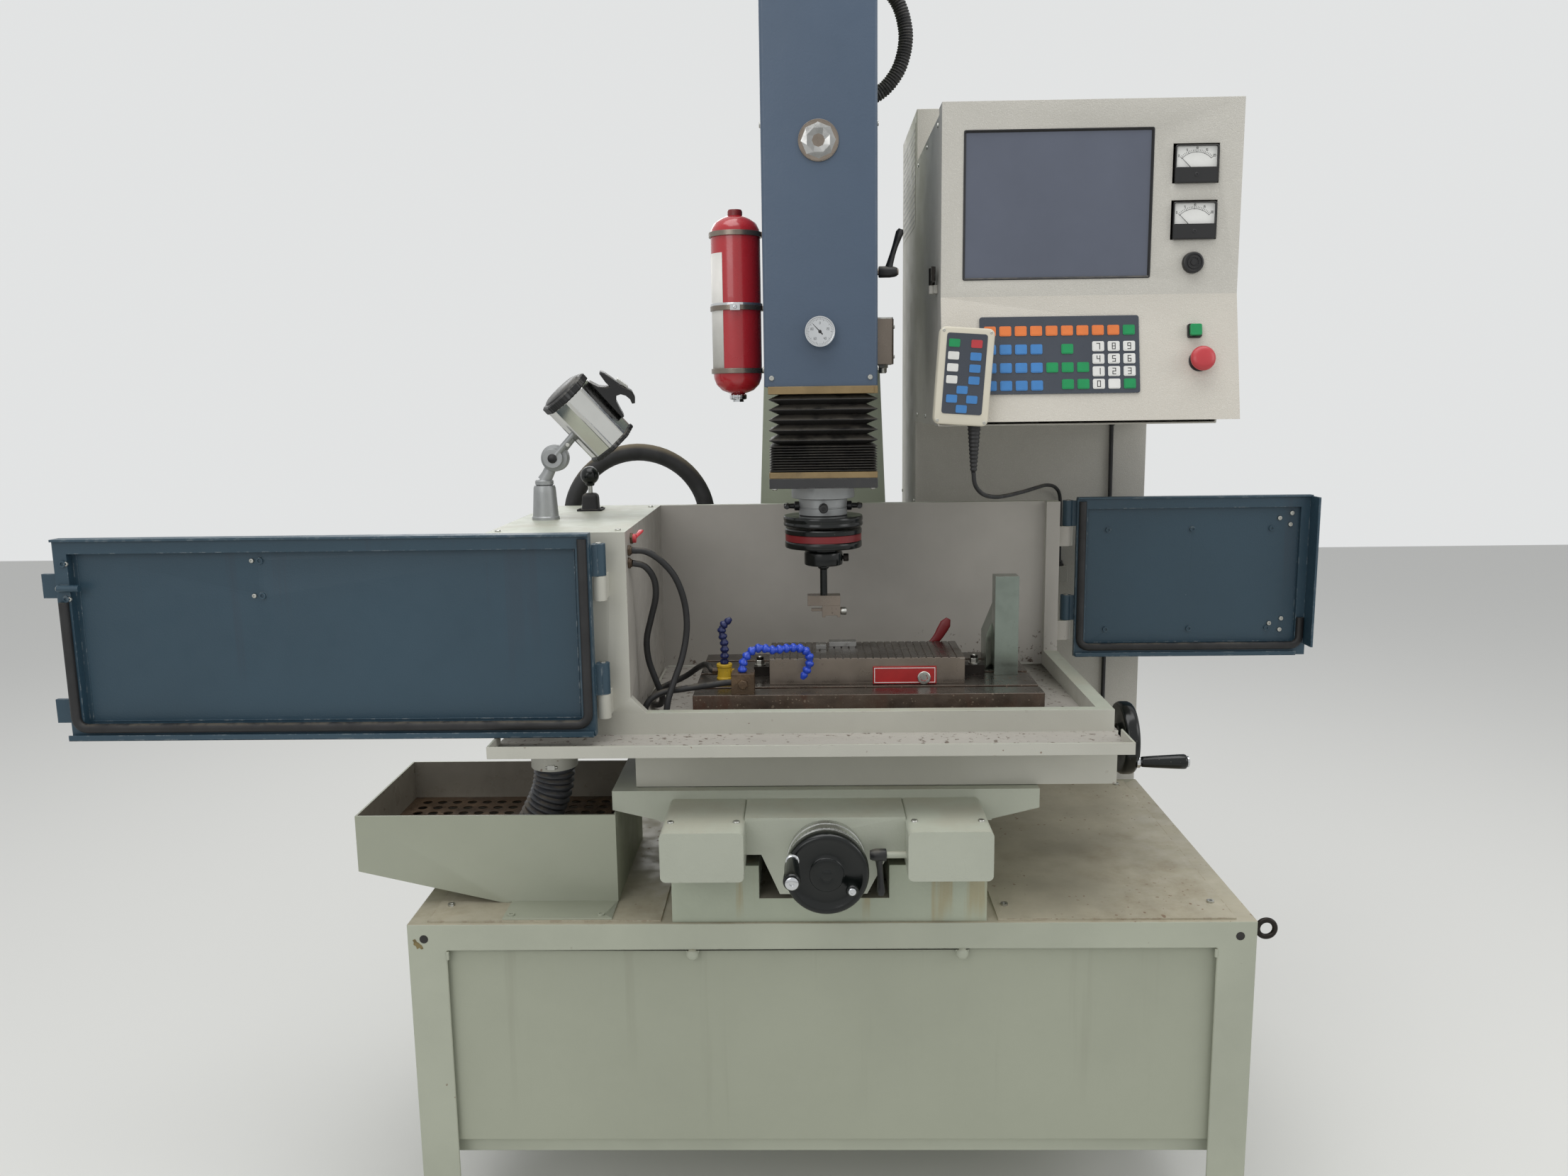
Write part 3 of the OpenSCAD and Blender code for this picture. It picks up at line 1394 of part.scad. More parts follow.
base_frame();
levelling_feet();
oil_reservoir();
deck_covers();
bed();
column();
head_cover();
dial_indicator();
dial_needle();
head_lever();
head_fittings();
conduit();
extinguisher();
cabinet_body();
console_door();
screen();
panel_fittings();
volt_needle();
amp_needle();
green_button();
stop_button();
keypad();
console_latch();
pendant();
pendant_cord();
cabinet_cable();
drain_tray();
drain_screen();
z_drive();
saddle();
y_wheel();
y_grip();
y_lever();
table();
tank();
front_door();
front_gasket();
side_door();
side_gasket();
x_wheel();
x_grip();
drain_hose();
lamp_base();
lamp_arm();
lamp_head();
pull_rod();
valve_lever();
magnetic_chuck();
table_fittings();
chuck_lever();
flushing_set();
hose_a();
hose_b();
hose_c();
supply_hose();
z_ram();
bellows();
electrode_holder();
electrode_chuck();
clamp_screw();
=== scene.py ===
import json
import random
from math import atan2, cos, hypot, pi, radians, sin

import bmesh
import bpy
from mathutils import Matrix, Vector


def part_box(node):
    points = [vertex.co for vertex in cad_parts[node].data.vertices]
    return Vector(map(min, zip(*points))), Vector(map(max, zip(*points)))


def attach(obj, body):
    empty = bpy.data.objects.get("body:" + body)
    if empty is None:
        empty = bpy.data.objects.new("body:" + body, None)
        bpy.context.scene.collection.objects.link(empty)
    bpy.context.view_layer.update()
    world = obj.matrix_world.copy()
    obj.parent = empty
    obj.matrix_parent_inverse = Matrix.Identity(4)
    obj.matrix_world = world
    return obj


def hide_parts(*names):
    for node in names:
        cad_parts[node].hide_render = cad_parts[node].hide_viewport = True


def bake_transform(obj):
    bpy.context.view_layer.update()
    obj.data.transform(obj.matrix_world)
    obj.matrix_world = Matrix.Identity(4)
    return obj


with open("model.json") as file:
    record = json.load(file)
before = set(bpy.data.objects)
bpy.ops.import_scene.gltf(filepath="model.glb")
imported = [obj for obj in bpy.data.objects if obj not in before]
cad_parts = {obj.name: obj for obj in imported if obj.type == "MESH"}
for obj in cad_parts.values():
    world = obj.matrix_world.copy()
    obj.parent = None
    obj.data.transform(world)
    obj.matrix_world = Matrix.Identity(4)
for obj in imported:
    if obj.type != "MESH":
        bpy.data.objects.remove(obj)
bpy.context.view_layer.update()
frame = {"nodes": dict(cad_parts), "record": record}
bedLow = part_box("bed")[0]
deckOrigin = Vector((bedLow.x + 0.233, bedLow.y - 0.005, bedLow.z))   # middle of the deck's front edge
toFrame = Matrix.Translation(deckOrigin) @ Matrix.Scale(0.001, 4)     # deck millimetres to frame metres
bodyOf = {node: body for body, nodes in frame["record"]["behaviour"]["bodies"].items() for node in nodes}
print("frame loaded")

# camera, at the photograph's place and angle
cameraLook = {"spot": (-26.47, -1641.58, 769.41), "yaw": -1.18, "pitch": -9.22, "roll": 0.76, "focal": 27.05}


def aimCamera(look):
    yaw, pitch, roll = (radians(look[k]) for k in ("yaw", "pitch", "roll"))
    ahead = Vector((sin(yaw) * cos(pitch), cos(yaw) * cos(pitch), sin(pitch)))
    level = Vector((cos(yaw), -sin(yaw), 0))
    under = ahead.cross(level)
    right = cos(roll) * level + sin(roll) * under
    down = -sin(roll) * level + cos(roll) * under
    lens = bpy.data.cameras.new("camera")
    lens.sensor_width = 36
    lens.lens = look["focal"]
    lens.clip_end = 60
    eye = bpy.data.objects.new("camera", lens)
    eye.matrix_world = Matrix.Translation(toFrame @ Vector(look["spot"])) @ Matrix((right, -down,
        -ahead)).transposed().to_4x4()
    bpy.context.scene.collection.objects.link(eye)
    bpy.context.scene.camera = eye


aimCamera(cameraLook)


# shapes, all drawn in deck millimetres
toTop, toFront, toRight = (0, 0, 1), (0, -1, 0), (1, 0, 0)


def tinted(bm, before, tint):
    bm.faces.ensure_lookup_table()
    for face in bm.faces[before:]:
        face.material_index = tint


def addBox(bm, a, b, tint=0):
    before = len(bm.faces)
    middle = [(p + q) / 2 for p, q in zip(a, b)]
    size = [abs(q - p) for p, q in zip(a, b)]
    bmesh.ops.create_cube(bm, size=1, matrix=Matrix.Translation(middle) @ Matrix.Diagonal((*size, 1)))
    tinted(bm, before, tint)


def addRings(bm, rings, tint=0, closed=False):
    before = len(bm.faces)
    made = [[bm.verts.new(p) for p in ring] for ring in rings]
    count = len(made[0]) if len(made[0]) > 1 else len(made[1])
    for low, high in list(zip(made, made[1:])) + ([(made[-1], made[0])] if closed else []):
        for i in range(count):
            j = (i + 1) % count
            corners = [low[0], high[j], high[i]] if len(low) == 1 else \
                [low[i], low[j], high[0]] if len(high) == 1 else [low[i], low[j], high[j], high[i]]
            bm.faces.new(corners)
    if not closed:
        for ring, flip in ((made[0], True), (made[-1], False)):
            if len(ring) > 2:
                bm.faces.new(ring[::-1] if flip else ring)
    tinted(bm, before, tint)


def addLathe(bm, foot, axis, profile, sides=32, tint=0, hexagon=()):
    foot, axis = Vector(foot), Vector(axis).normalized()
    side = axis.orthogonal().normalized()
    other = axis.cross(side)
    rings = []
    for k, (radius, height) in enumerate(profile):
        if radius < 1e-6:
            rings.append([foot + axis * height])
            continue
        ring = []
        for i in range(sides):
            angle = 2 * pi * i / sides
            reach = radius
            if k in hexagon:
                reach *= cos(pi / 6) / cos(angle % (pi / 3) - pi / 6)
            ring.append(foot + axis * height + (side * cos(angle) + other * sin(angle)) * reach)
        rings.append(ring)
    addRings(bm, rings, tint)


def addRod(bm, a, b, radius, tint=0, sides=24):
    a, b = Vector(a), Vector(b)
    addLathe(bm, a, b - a, [(radius, 0), (radius, (b - a).length)], sides, tint)


def addPrism(bm, outline, axis, low, high, tint=0):
    def point(u, v, w):
        return {"x": (w, u, v), "y": (u, w, v), "z": (u, v, w)}[axis]
    rings = [[point(u, v, w) for u, v in outline] for w in (low, high)]
    addRings(bm, rings if axis != "y" else [r[::-1] for r in rings], tint)


def roundRect(cx, cy, width, height, radius, steps=5):
    corners = [(1, 1, 0), (-1, 1, 90), (-1, -1, 180), (1, -1, 270)]
    points = []
    for sx, sy, start in corners:
        for i in range(steps + 1):
            angle = radians(start + 90 * i / steps)
            points.append((cx + sx * (width / 2 - radius) + radius * cos(angle),
                           cy + sy * (height / 2 - radius) + radius * sin(angle)))
    return points


def smoothPath(points, steps):
    pts = [Vector(p) for p in points]
    pts = [2 * pts[0] - pts[1]] + pts + [2 * pts[-1] - pts[-2]]
    out = []
    for i in range(1, len(pts) - 2):
        a, b, c, d = pts[i - 1:i + 3]
        for k in range(steps):
            t = k / steps
            curve = (2 * a - 5 * b + 4 * c - d) * t * t + (3 * b - a - 3 * c + d) * t ** 3
            out.append(0.5 * (2 * b + (c - a) * t + curve))
    return out + [pts[-2]]


def evenPath(points, step):
    spans = [(b - a).length for a, b in zip(points, points[1:])]
    count = max(2, round(sum(spans) / step))
    out, done, k = [points[0]], 0.0, 0
    for i in range(1, count):
        goal = sum(spans) * i / count
        while done + spans[k] < goal:
            done += spans[k]
            k += 1
        out.append(points[k].lerp(points[k + 1], (goal - done) / spans[k]))
    return out + [points[-1]]


def addSweep(bm, path, outline, tint=0, swell=None, up=toTop, first=None, last=None):
    path = [Vector(p) for p in path]
    count = len(path)
    way = [(path[min(i + 1, count - 1)] - path[max(i - 1, 0)]).normalized() for i in range(count)]
    way[0] = Vector(first).normalized() if first else way[0]
    way[-1] = Vector(last).normalized() if last else way[-1]
    side = way[0].cross(Vector(up))
    side = side.normalized() if side.length > 1e-3 else way[0].orthogonal().normalized()
    rings = []
    for i, (spot, ahead) in enumerate(zip(path, way)):
        side = (side - ahead * side.dot(ahead)).normalized()
        lift = side.cross(ahead)
        size = swell(i, count) if swell else 1.0
        rings.append([spot + (side * u + lift * v) * size for u, v in outline])
    addRings(bm, rings, tint)


def circle(radius, sides=16, flat=1.0):
    return [(radius * cos(2 * pi * i / sides), radius * flat * sin(2 * pi * i / sides)) for i in range(sides)]


def addScrew(bm, foot, axis, radius, height, tint=0):
    socket = radius * 0.5
    addLathe(bm, foot, axis, [(radius, 0), (radius, height * 0.55), (radius * 0.85, height * 0.95),
        (socket * 1.15, height), (socket, height), (socket * 0.95, height * 0.35), (0, height * 0.3)], 24,
        tint, (4, 5))


def addBall(bm, middle, radius, tint=0, sides=20, flat=1.0):
    steps = 10
    profile = [(radius * sin(pi * i / steps), -radius * flat * cos(pi * i / steps)) for i in range(steps + 1)]
    addLathe(bm, middle, toTop, [(0 if i in (0, steps) else r, h) for i, (r, h) in enumerate(profile)], sides,
        tint)


# colours and finishes
def paintChip(red, green, blue):
    return tuple((c / 255 / 12.92 if c <= 10 else ((c / 255 + 0.055) / 1.055) ** 2.4)
        for c in (red, green, blue)) + (1.0,)


def plug(tree, socket, value):
    if isinstance(value, bpy.types.NodeSocket):
        tree.links.new(value, socket)
    else:
        socket.default_value = value


def math2(tree, operation, a, b=0.0, clamp=False):
    node = tree.nodes.new("ShaderNodeMath")
    node.operation = operation
    node.use_clamp = clamp
    plug(tree, node.inputs[0], a)
    plug(tree, node.inputs[1], b)
    return node.outputs[0]


def times(tree, a, b):
    return math2(tree, "MULTIPLY", a, b)


def plus(tree, a, b):
    return math2(tree, "ADD", a, b)


def minus(tree, a, b):
    return math2(tree, "SUBTRACT", a, b)


def ramp(tree, value, low, high, start=0.0, end=1.0):
    node = tree.nodes.new("ShaderNodeMapRange")
    node.interpolation_type = "SMOOTHSTEP"
    for name, number in (("Value", value), ("From Min", low), ("From Max", high), ("To Min", start),
            ("To Max", end)):
        plug(tree, node.inputs[name], number)
    return node.outputs[0]


def noise(tree, vector, scale, detail=4.0, rough=0.55):
    node = tree.nodes.new("ShaderNodeTexNoise")
    plug(tree, node.inputs["Vector"], vector)
    plug(tree, node.inputs["Scale"], scale)
    node.inputs["Detail"].default_value = detail
    node.inputs["Roughness"].default_value = rough
    return node.outputs["Fac"]


def stretched(tree, vector, x, y, z):
    scale = tree.nodes.new("ShaderNodeCombineXYZ")
    for socket, value in zip(scale.inputs, (x, y, z)):
        plug(tree, socket, value)
    node = tree.nodes.new("ShaderNodeVectorMath")
    node.operation = "MULTIPLY"
    tree.links.new(vector, node.inputs[0])
    tree.links.new(scale.outputs[0], node.inputs[1])
    return node.outputs[0]


def mixed(tree, factor, a, b):
    node = tree.nodes.new("ShaderNodeMix")
    node.data_type = "RGBA"
    plug(tree, node.inputs["Factor"], factor)
    plug(tree, node.inputs[6], a)
    plug(tree, node.inputs[7], b)
    return node.outputs[2]


def effect(name, inputs, output, kind="NodeSocketFloat"):
    tree = bpy.data.node_groups.new(name, "ShaderNodeTree")
    tree.interface.new_socket("Vector", in_out="INPUT", socket_type="NodeSocketVector")
    for label, value in inputs.items():
        socketKind = "NodeSocketColor" if isinstance(value, tuple) else "NodeSocketFloat"
        tree.interface.new_socket(label, in_out="INPUT", socket_type=socketKind).default_value = value
    tree.interface.new_socket(output, in_out="OUTPUT", socket_type=kind)
    return tree, tree.nodes.new("NodeGroupInput").outputs, tree.nodes.new("NodeGroupOutput").inputs[output]


def makeToneDrift():
    tree, given, out = effect("toneDrift", {"Colour": (0.5, 0.5, 0.5, 1.0), "Scale": 4.0, "Amount": 0.08},
        "Colour", "NodeSocketColor")
    wide = noise(tree, given["Vector"], given["Scale"], 5.0, 0.6)
    value = ramp(tree, wide, 0.3, 0.7, minus(tree, 1.0, given["Amount"]), plus(tree, 1.0, given["Amount"]))
    tone = tree.nodes.new("ShaderNodeHueSaturation")
    plug(tree, tone.inputs["Color"], given["Colour"])
    plug(tree, tone.inputs["Value"], value)
    tree.links.new(tone.outputs[0], out)


def makeGrime():   # blotches of dirt, drawn out downwards by Stretch below 1
    tree, given, out = effect("grime", {"Scale": 12.0, "Stretch": 1.0, "Cover": 0.4, "Soft": 0.12}, "Mask")
    vector = stretched(tree, given["Vector"], 1.0, 1.0, given["Stretch"])
    fine = noise(tree, vector, given["Scale"], 9.0, 0.68)
    broad = noise(tree, given["Vector"], times(tree, given["Scale"], 0.21), 3.0, 0.5)
    blend = plus(tree, times(tree, fine, 0.62), times(tree, broad, 0.38))
    edge = minus(tree, 0.72, times(tree, given["Cover"], 0.38))
    tree.links.new(ramp(tree, blend, edge, plus(tree, edge, given["Soft"])), out)


def makeEdgeWear():   # paint rubbed away along corners
    tree, given, out = effect("edgeWear", {"Width": 0.003, "Cover": 0.5, "Scale": 60.0}, "Mask")
    soft = tree.nodes.new("ShaderNodeBevel")
    soft.samples = 4
    tree.links.new(given["Width"], soft.inputs["Radius"])
    plain = tree.nodes.new("ShaderNodeNewGeometry")
    turn = tree.nodes.new("ShaderNodeVectorMath")
    turn.operation = "DOT_PRODUCT"
    tree.links.new(soft.outputs[0], turn.inputs[0])
    tree.links.new(plain.outputs["Normal"], turn.inputs[1])
    edge = ramp(tree, minus(tree, 1.0, turn.outputs["Value"]), 0.02, 0.16)
    rub = noise(tree, given["Vector"], given["Scale"], 8.0, 0.7)
    low = minus(tree, 0.75, times(tree, given["Cover"], 0.45))
    tree.links.new(times(tree, edge, ramp(tree, rub, low, plus(tree, low, 0.1))), out)


def makeSpecks():   # round pits, rust spots and spatter
    tree, given, out = effect("specks", {"Scale": 120.0, "Size": 0.2, "Cover": 0.4}, "Mask")
    cells = tree.nodes.new("ShaderNodeTexVoronoi")
    warp = tree.nodes.new("ShaderNodeTexNoise")
    tree.links.new(given["Vector"], warp.inputs["Vector"])
    warp.inputs["Scale"].default_value = 90.0
    shift = tree.nodes.new("ShaderNodeVectorMath")
    shift.operation = "MULTIPLY_ADD"
    tree.links.new(warp.outputs["Color"], shift.inputs[0])
    shift.inputs[1].default_value = (0.008, 0.008, 0.008)
    tree.links.new(given["Vector"], shift.inputs[2])
    tree.links.new(shift.outputs[0], cells.inputs["Vector"])
    tree.links.new(given["Scale"], cells.inputs["Scale"])
    pick = tree.nodes.new("ShaderNodeSeparateColor")
    tree.links.new(cells.outputs["Color"], pick.inputs[0])
    size = times(tree, given["Size"], pick.outputs[0])
    dot = ramp(tree, minus(tree, size, cells.outputs["Distance"]), 0.0, 0.05)
    here = noise(tree, given["Vector"], 5.0, 3.0)
    low = minus(tree, 0.8, times(tree, given["Cover"], 0.6))
    tree.links.new(times(tree, dot, ramp(tree, here, low, plus(tree, low, 0.15))), out)


def makeRuns():   # oil and soot running down from a height, by the deck's own z
    tree, given, out = effect("runs", {"Top": 0.6, "Length": 0.1, "Scale": 40.0, "Cover": 0.4}, "Mask")
    thin = noise(tree, stretched(tree, given["Vector"], 1.0, 1.0, 0.03), given["Scale"], 5.0, 0.6)
    reach = noise(tree, stretched(tree, given["Vector"], 1.0, 1.0, 0.0), times(tree, given["Scale"], 0.8),
        3.0, 0.6)
    split = tree.nodes.new("ShaderNodeSeparateXYZ")
    tree.links.new(given["Vector"], split.inputs[0])
    depth = math2(tree, "DIVIDE", minus(tree, given["Top"], split.outputs[2]), given["Length"])
    fade = ramp(tree, minus(tree, times(tree, reach, 2.0), depth), 0.0, 0.5)
    below = ramp(tree, depth, -0.06, 0.0)
    low = minus(tree, 0.7, times(tree, given["Cover"], 0.4))
    streak = ramp(tree, thin, low, plus(tree, low, 0.1))
    tree.links.new(times(tree, times(tree, fade, below), streak), out)


def makeTopDust():   # what settles on faces that look up
    tree, given, out = effect("topDust", {"Scale": 18.0, "Cover": 0.6}, "Mask")
    plain = tree.nodes.new("ShaderNodeNewGeometry")
    split = tree.nodes.new("ShaderNodeSeparateXYZ")
    tree.links.new(plain.outputs["Normal"], split.inputs[0])
    up = ramp(tree, split.outputs[2], 0.35, 0.9)
    patch = noise(tree, given["Vector"], given["Scale"], 7.0, 0.62)
    low = minus(tree, 0.7, times(tree, given["Cover"], 0.5))
    tree.links.new(times(tree, up, ramp(tree, patch, low, plus(tree, low, 0.2))), out)


def makeSplash():   # spatter that thins out upwards from a level
    tree, given, out = effect("splash", {"Top": 0.8, "Reach": 0.15, "Scale": 30.0, "Cover": 0.5}, "Mask")
    split = tree.nodes.new("ShaderNodeSeparateXYZ")
    tree.links.new(given["Vector"], split.inputs[0])
    rise = math2(tree, "DIVIDE", minus(tree, split.outputs[2], given["Top"]), given["Reach"])
    broad = noise(tree, given["Vector"], times(tree, given["Scale"], 0.07), 3.0, 0.5)
    near = ramp(tree, minus(tree, times(tree, broad, 1.9), rise), 0.0, 1.0)
    near = times(tree, near, ramp(tree, rise, -0.2, -0.1))
    fine = noise(tree, given["Vector"], given["Scale"], 6.0, 0.7)
    low = minus(tree, 0.8, times(tree, times(tree, near, given["Cover"]), 0.5))
    tree.links.new(times(tree, near, ramp(tree, fine, low, plus(tree, low, 0.05))), out)


def makeSkin():   # orange peel and fine grain of a sprayed or moulded surface
    tree, given, out = effect("skin", {"Scale": 400.0, "Lumps": 0.6}, "Height")
    coarse = noise(tree, given["Vector"], given["Scale"], 2.0, 0.5)
    fine = noise(tree, given["Vector"], times(tree, given["Scale"], 3.5), 2.0, 0.5)
    tree.links.new(plus(tree, times(tree, coarse, given["Lumps"]), times(tree, fine, 0.35)), out)


def makeGrind():   # parallel tool marks, along x when AlongX is 1, else along y or z
    tree, given, out = effect("grind", {"Scale": 900.0, "AlongX": 1.0, "AlongY": 0.0}, "Height")
    def squeeze(flag):
        return minus(tree, 1.0, times(tree, flag, 0.985))
    vector = stretched(tree, given["Vector"], squeeze(given["AlongX"]), squeeze(given["AlongY"]), 1.0)
    tree.links.new(noise(tree, vector, given["Scale"], 3.0, 0.6), out)


for maker in (makeToneDrift, makeGrime, makeEdgeWear, makeSpecks, makeRuns, makeTopDust, makeSplash, makeSkin,
        makeGrind):
    maker()


def placeEffect(tree, name, where, values):
    node = tree.nodes.new("ShaderNodeGroup")
    node.node_tree = bpy.data.node_groups[name]
    tree.links.new(where, node.inputs["Vector"])
    for label, value in values.items():
        node.inputs[label].default_value = value
    return node.outputs[0]


finishes = {}


def makeFinish(name, look):
    material = bpy.data.materials.new(name)
    material.use_nodes = True
    tree = material.node_tree
    shader = tree.nodes["Principled BSDF"]
    where = tree.nodes.new("ShaderNodeTexCoord").outputs["Object"]
    for socket, value in look.get("fixed", {}).items():
        shader.inputs[socket].default_value = value
    drift, driftScale = look.get("drift", (0.06, 5.0))
    colour = placeEffect(tree, "toneDrift", where, {"Colour": paintChip(*look["colour"]), "Scale": driftScale,
        "Amount": drift})
    roughLow, roughHigh = look["rough"]
    rough = ramp(tree, noise(tree, where, look.get("roughScale", 30.0), 5.0), 0.35, 0.65, roughLow, roughHigh)
    metal = look.get("metal", 0.0)
    layered = False
    for effectName, values, chip, strength, layerRough, layerMetal in look.get("layers", ()):
        mask = times(tree, placeEffect(tree, effectName, where, values), strength)
        colour = mixed(tree, mask, colour, paintChip(*chip))
        rough = plus(tree, times(tree, rough, minus(tree, 1.0, mask)), times(tree, mask, layerRough))
        if layerMetal is not None:
            keep = times(tree, metal, minus(tree, 1.0, mask))
            metal = plus(tree, keep, times(tree, mask, layerMetal))
            layered = True
    tree.links.new(colour, shader.inputs["Base Color"])
    tree.links.new(rough, shader.inputs["Roughness"])
    if layered:
        tree.links.new(metal, shader.inputs["Metallic"])
    else:
        shader.inputs["Metallic"].default_value = metal
    normal = None
    for effectName, values, depth in look.get("relief", ()):
        bump = tree.nodes.new("ShaderNodeBump")
        bump.inputs["Distance"].default_value = depth
        bump.inputs["Strength"].default_value = 1.0
        tree.links.new(placeEffect(tree, effectName, where, values), bump.inputs["Height"])
        if normal:
            tree.links.new(normal, bump.inputs["Normal"])
        normal = bump.outputs[0]
    if normal:
        tree.links.new(normal, shader.inputs["Normal"])
    finishes[name] = material


def grimed(scale, cover, soft, chip, strength, rough, metal=None, stretch=1.0):
    values = {"Scale": scale, "Stretch": stretch, "Cover": cover, "Soft": soft}
    return "grime", values, chip, strength, rough, metal


def specked(scale, size, cover, chip, strength, rough, metal=None):
    return "specks", {"Scale": scale, "Size": size, "Cover": cover}, chip, strength, rough, metal


def worn(width, cover, scale, chip, strength, rough, metal=None):
    return "edgeWear", {"Width": width, "Cover": cover, "Scale": scale}, chip, strength, rough, metal


def dusty(scale, cover, chip, strength, rough):
    return "topDust", {"Scale": scale, "Cover": cover}, chip, strength, rough, None


def streaked(top, length, scale, cover, chip, strength, rough):
    return "runs", {"Top": top, "Length": length, "Scale": scale, "Cover": cover}, chip, strength, rough, None


def spattered(top, reach, scale, cover, chip, strength, rough):
    return "splash", {"Top": top, "Reach": reach, "Scale": scale, "Cover": cover}, chip, strength, rough, None


def skinned(scale, lumps, depth):
    return "skin", {"Scale": scale, "Lumps": lumps}, depth


def brushed(scale, depth, alongX=1.0, alongY=0.0):
    return "grind", {"Scale": scale, "AlongX": alongX, "AlongY": alongY}, depth


dirt = (96, 88, 70)
soot = (38, 34, 31)
rust = (104, 66, 38)
oilStain = (150, 122, 58)
bareSteel = (150, 150, 148)
primer = (120, 112, 100)
deckTop = deckOrigin.z
paintPeel = skinned(420.0, 0.8, 0.00012)

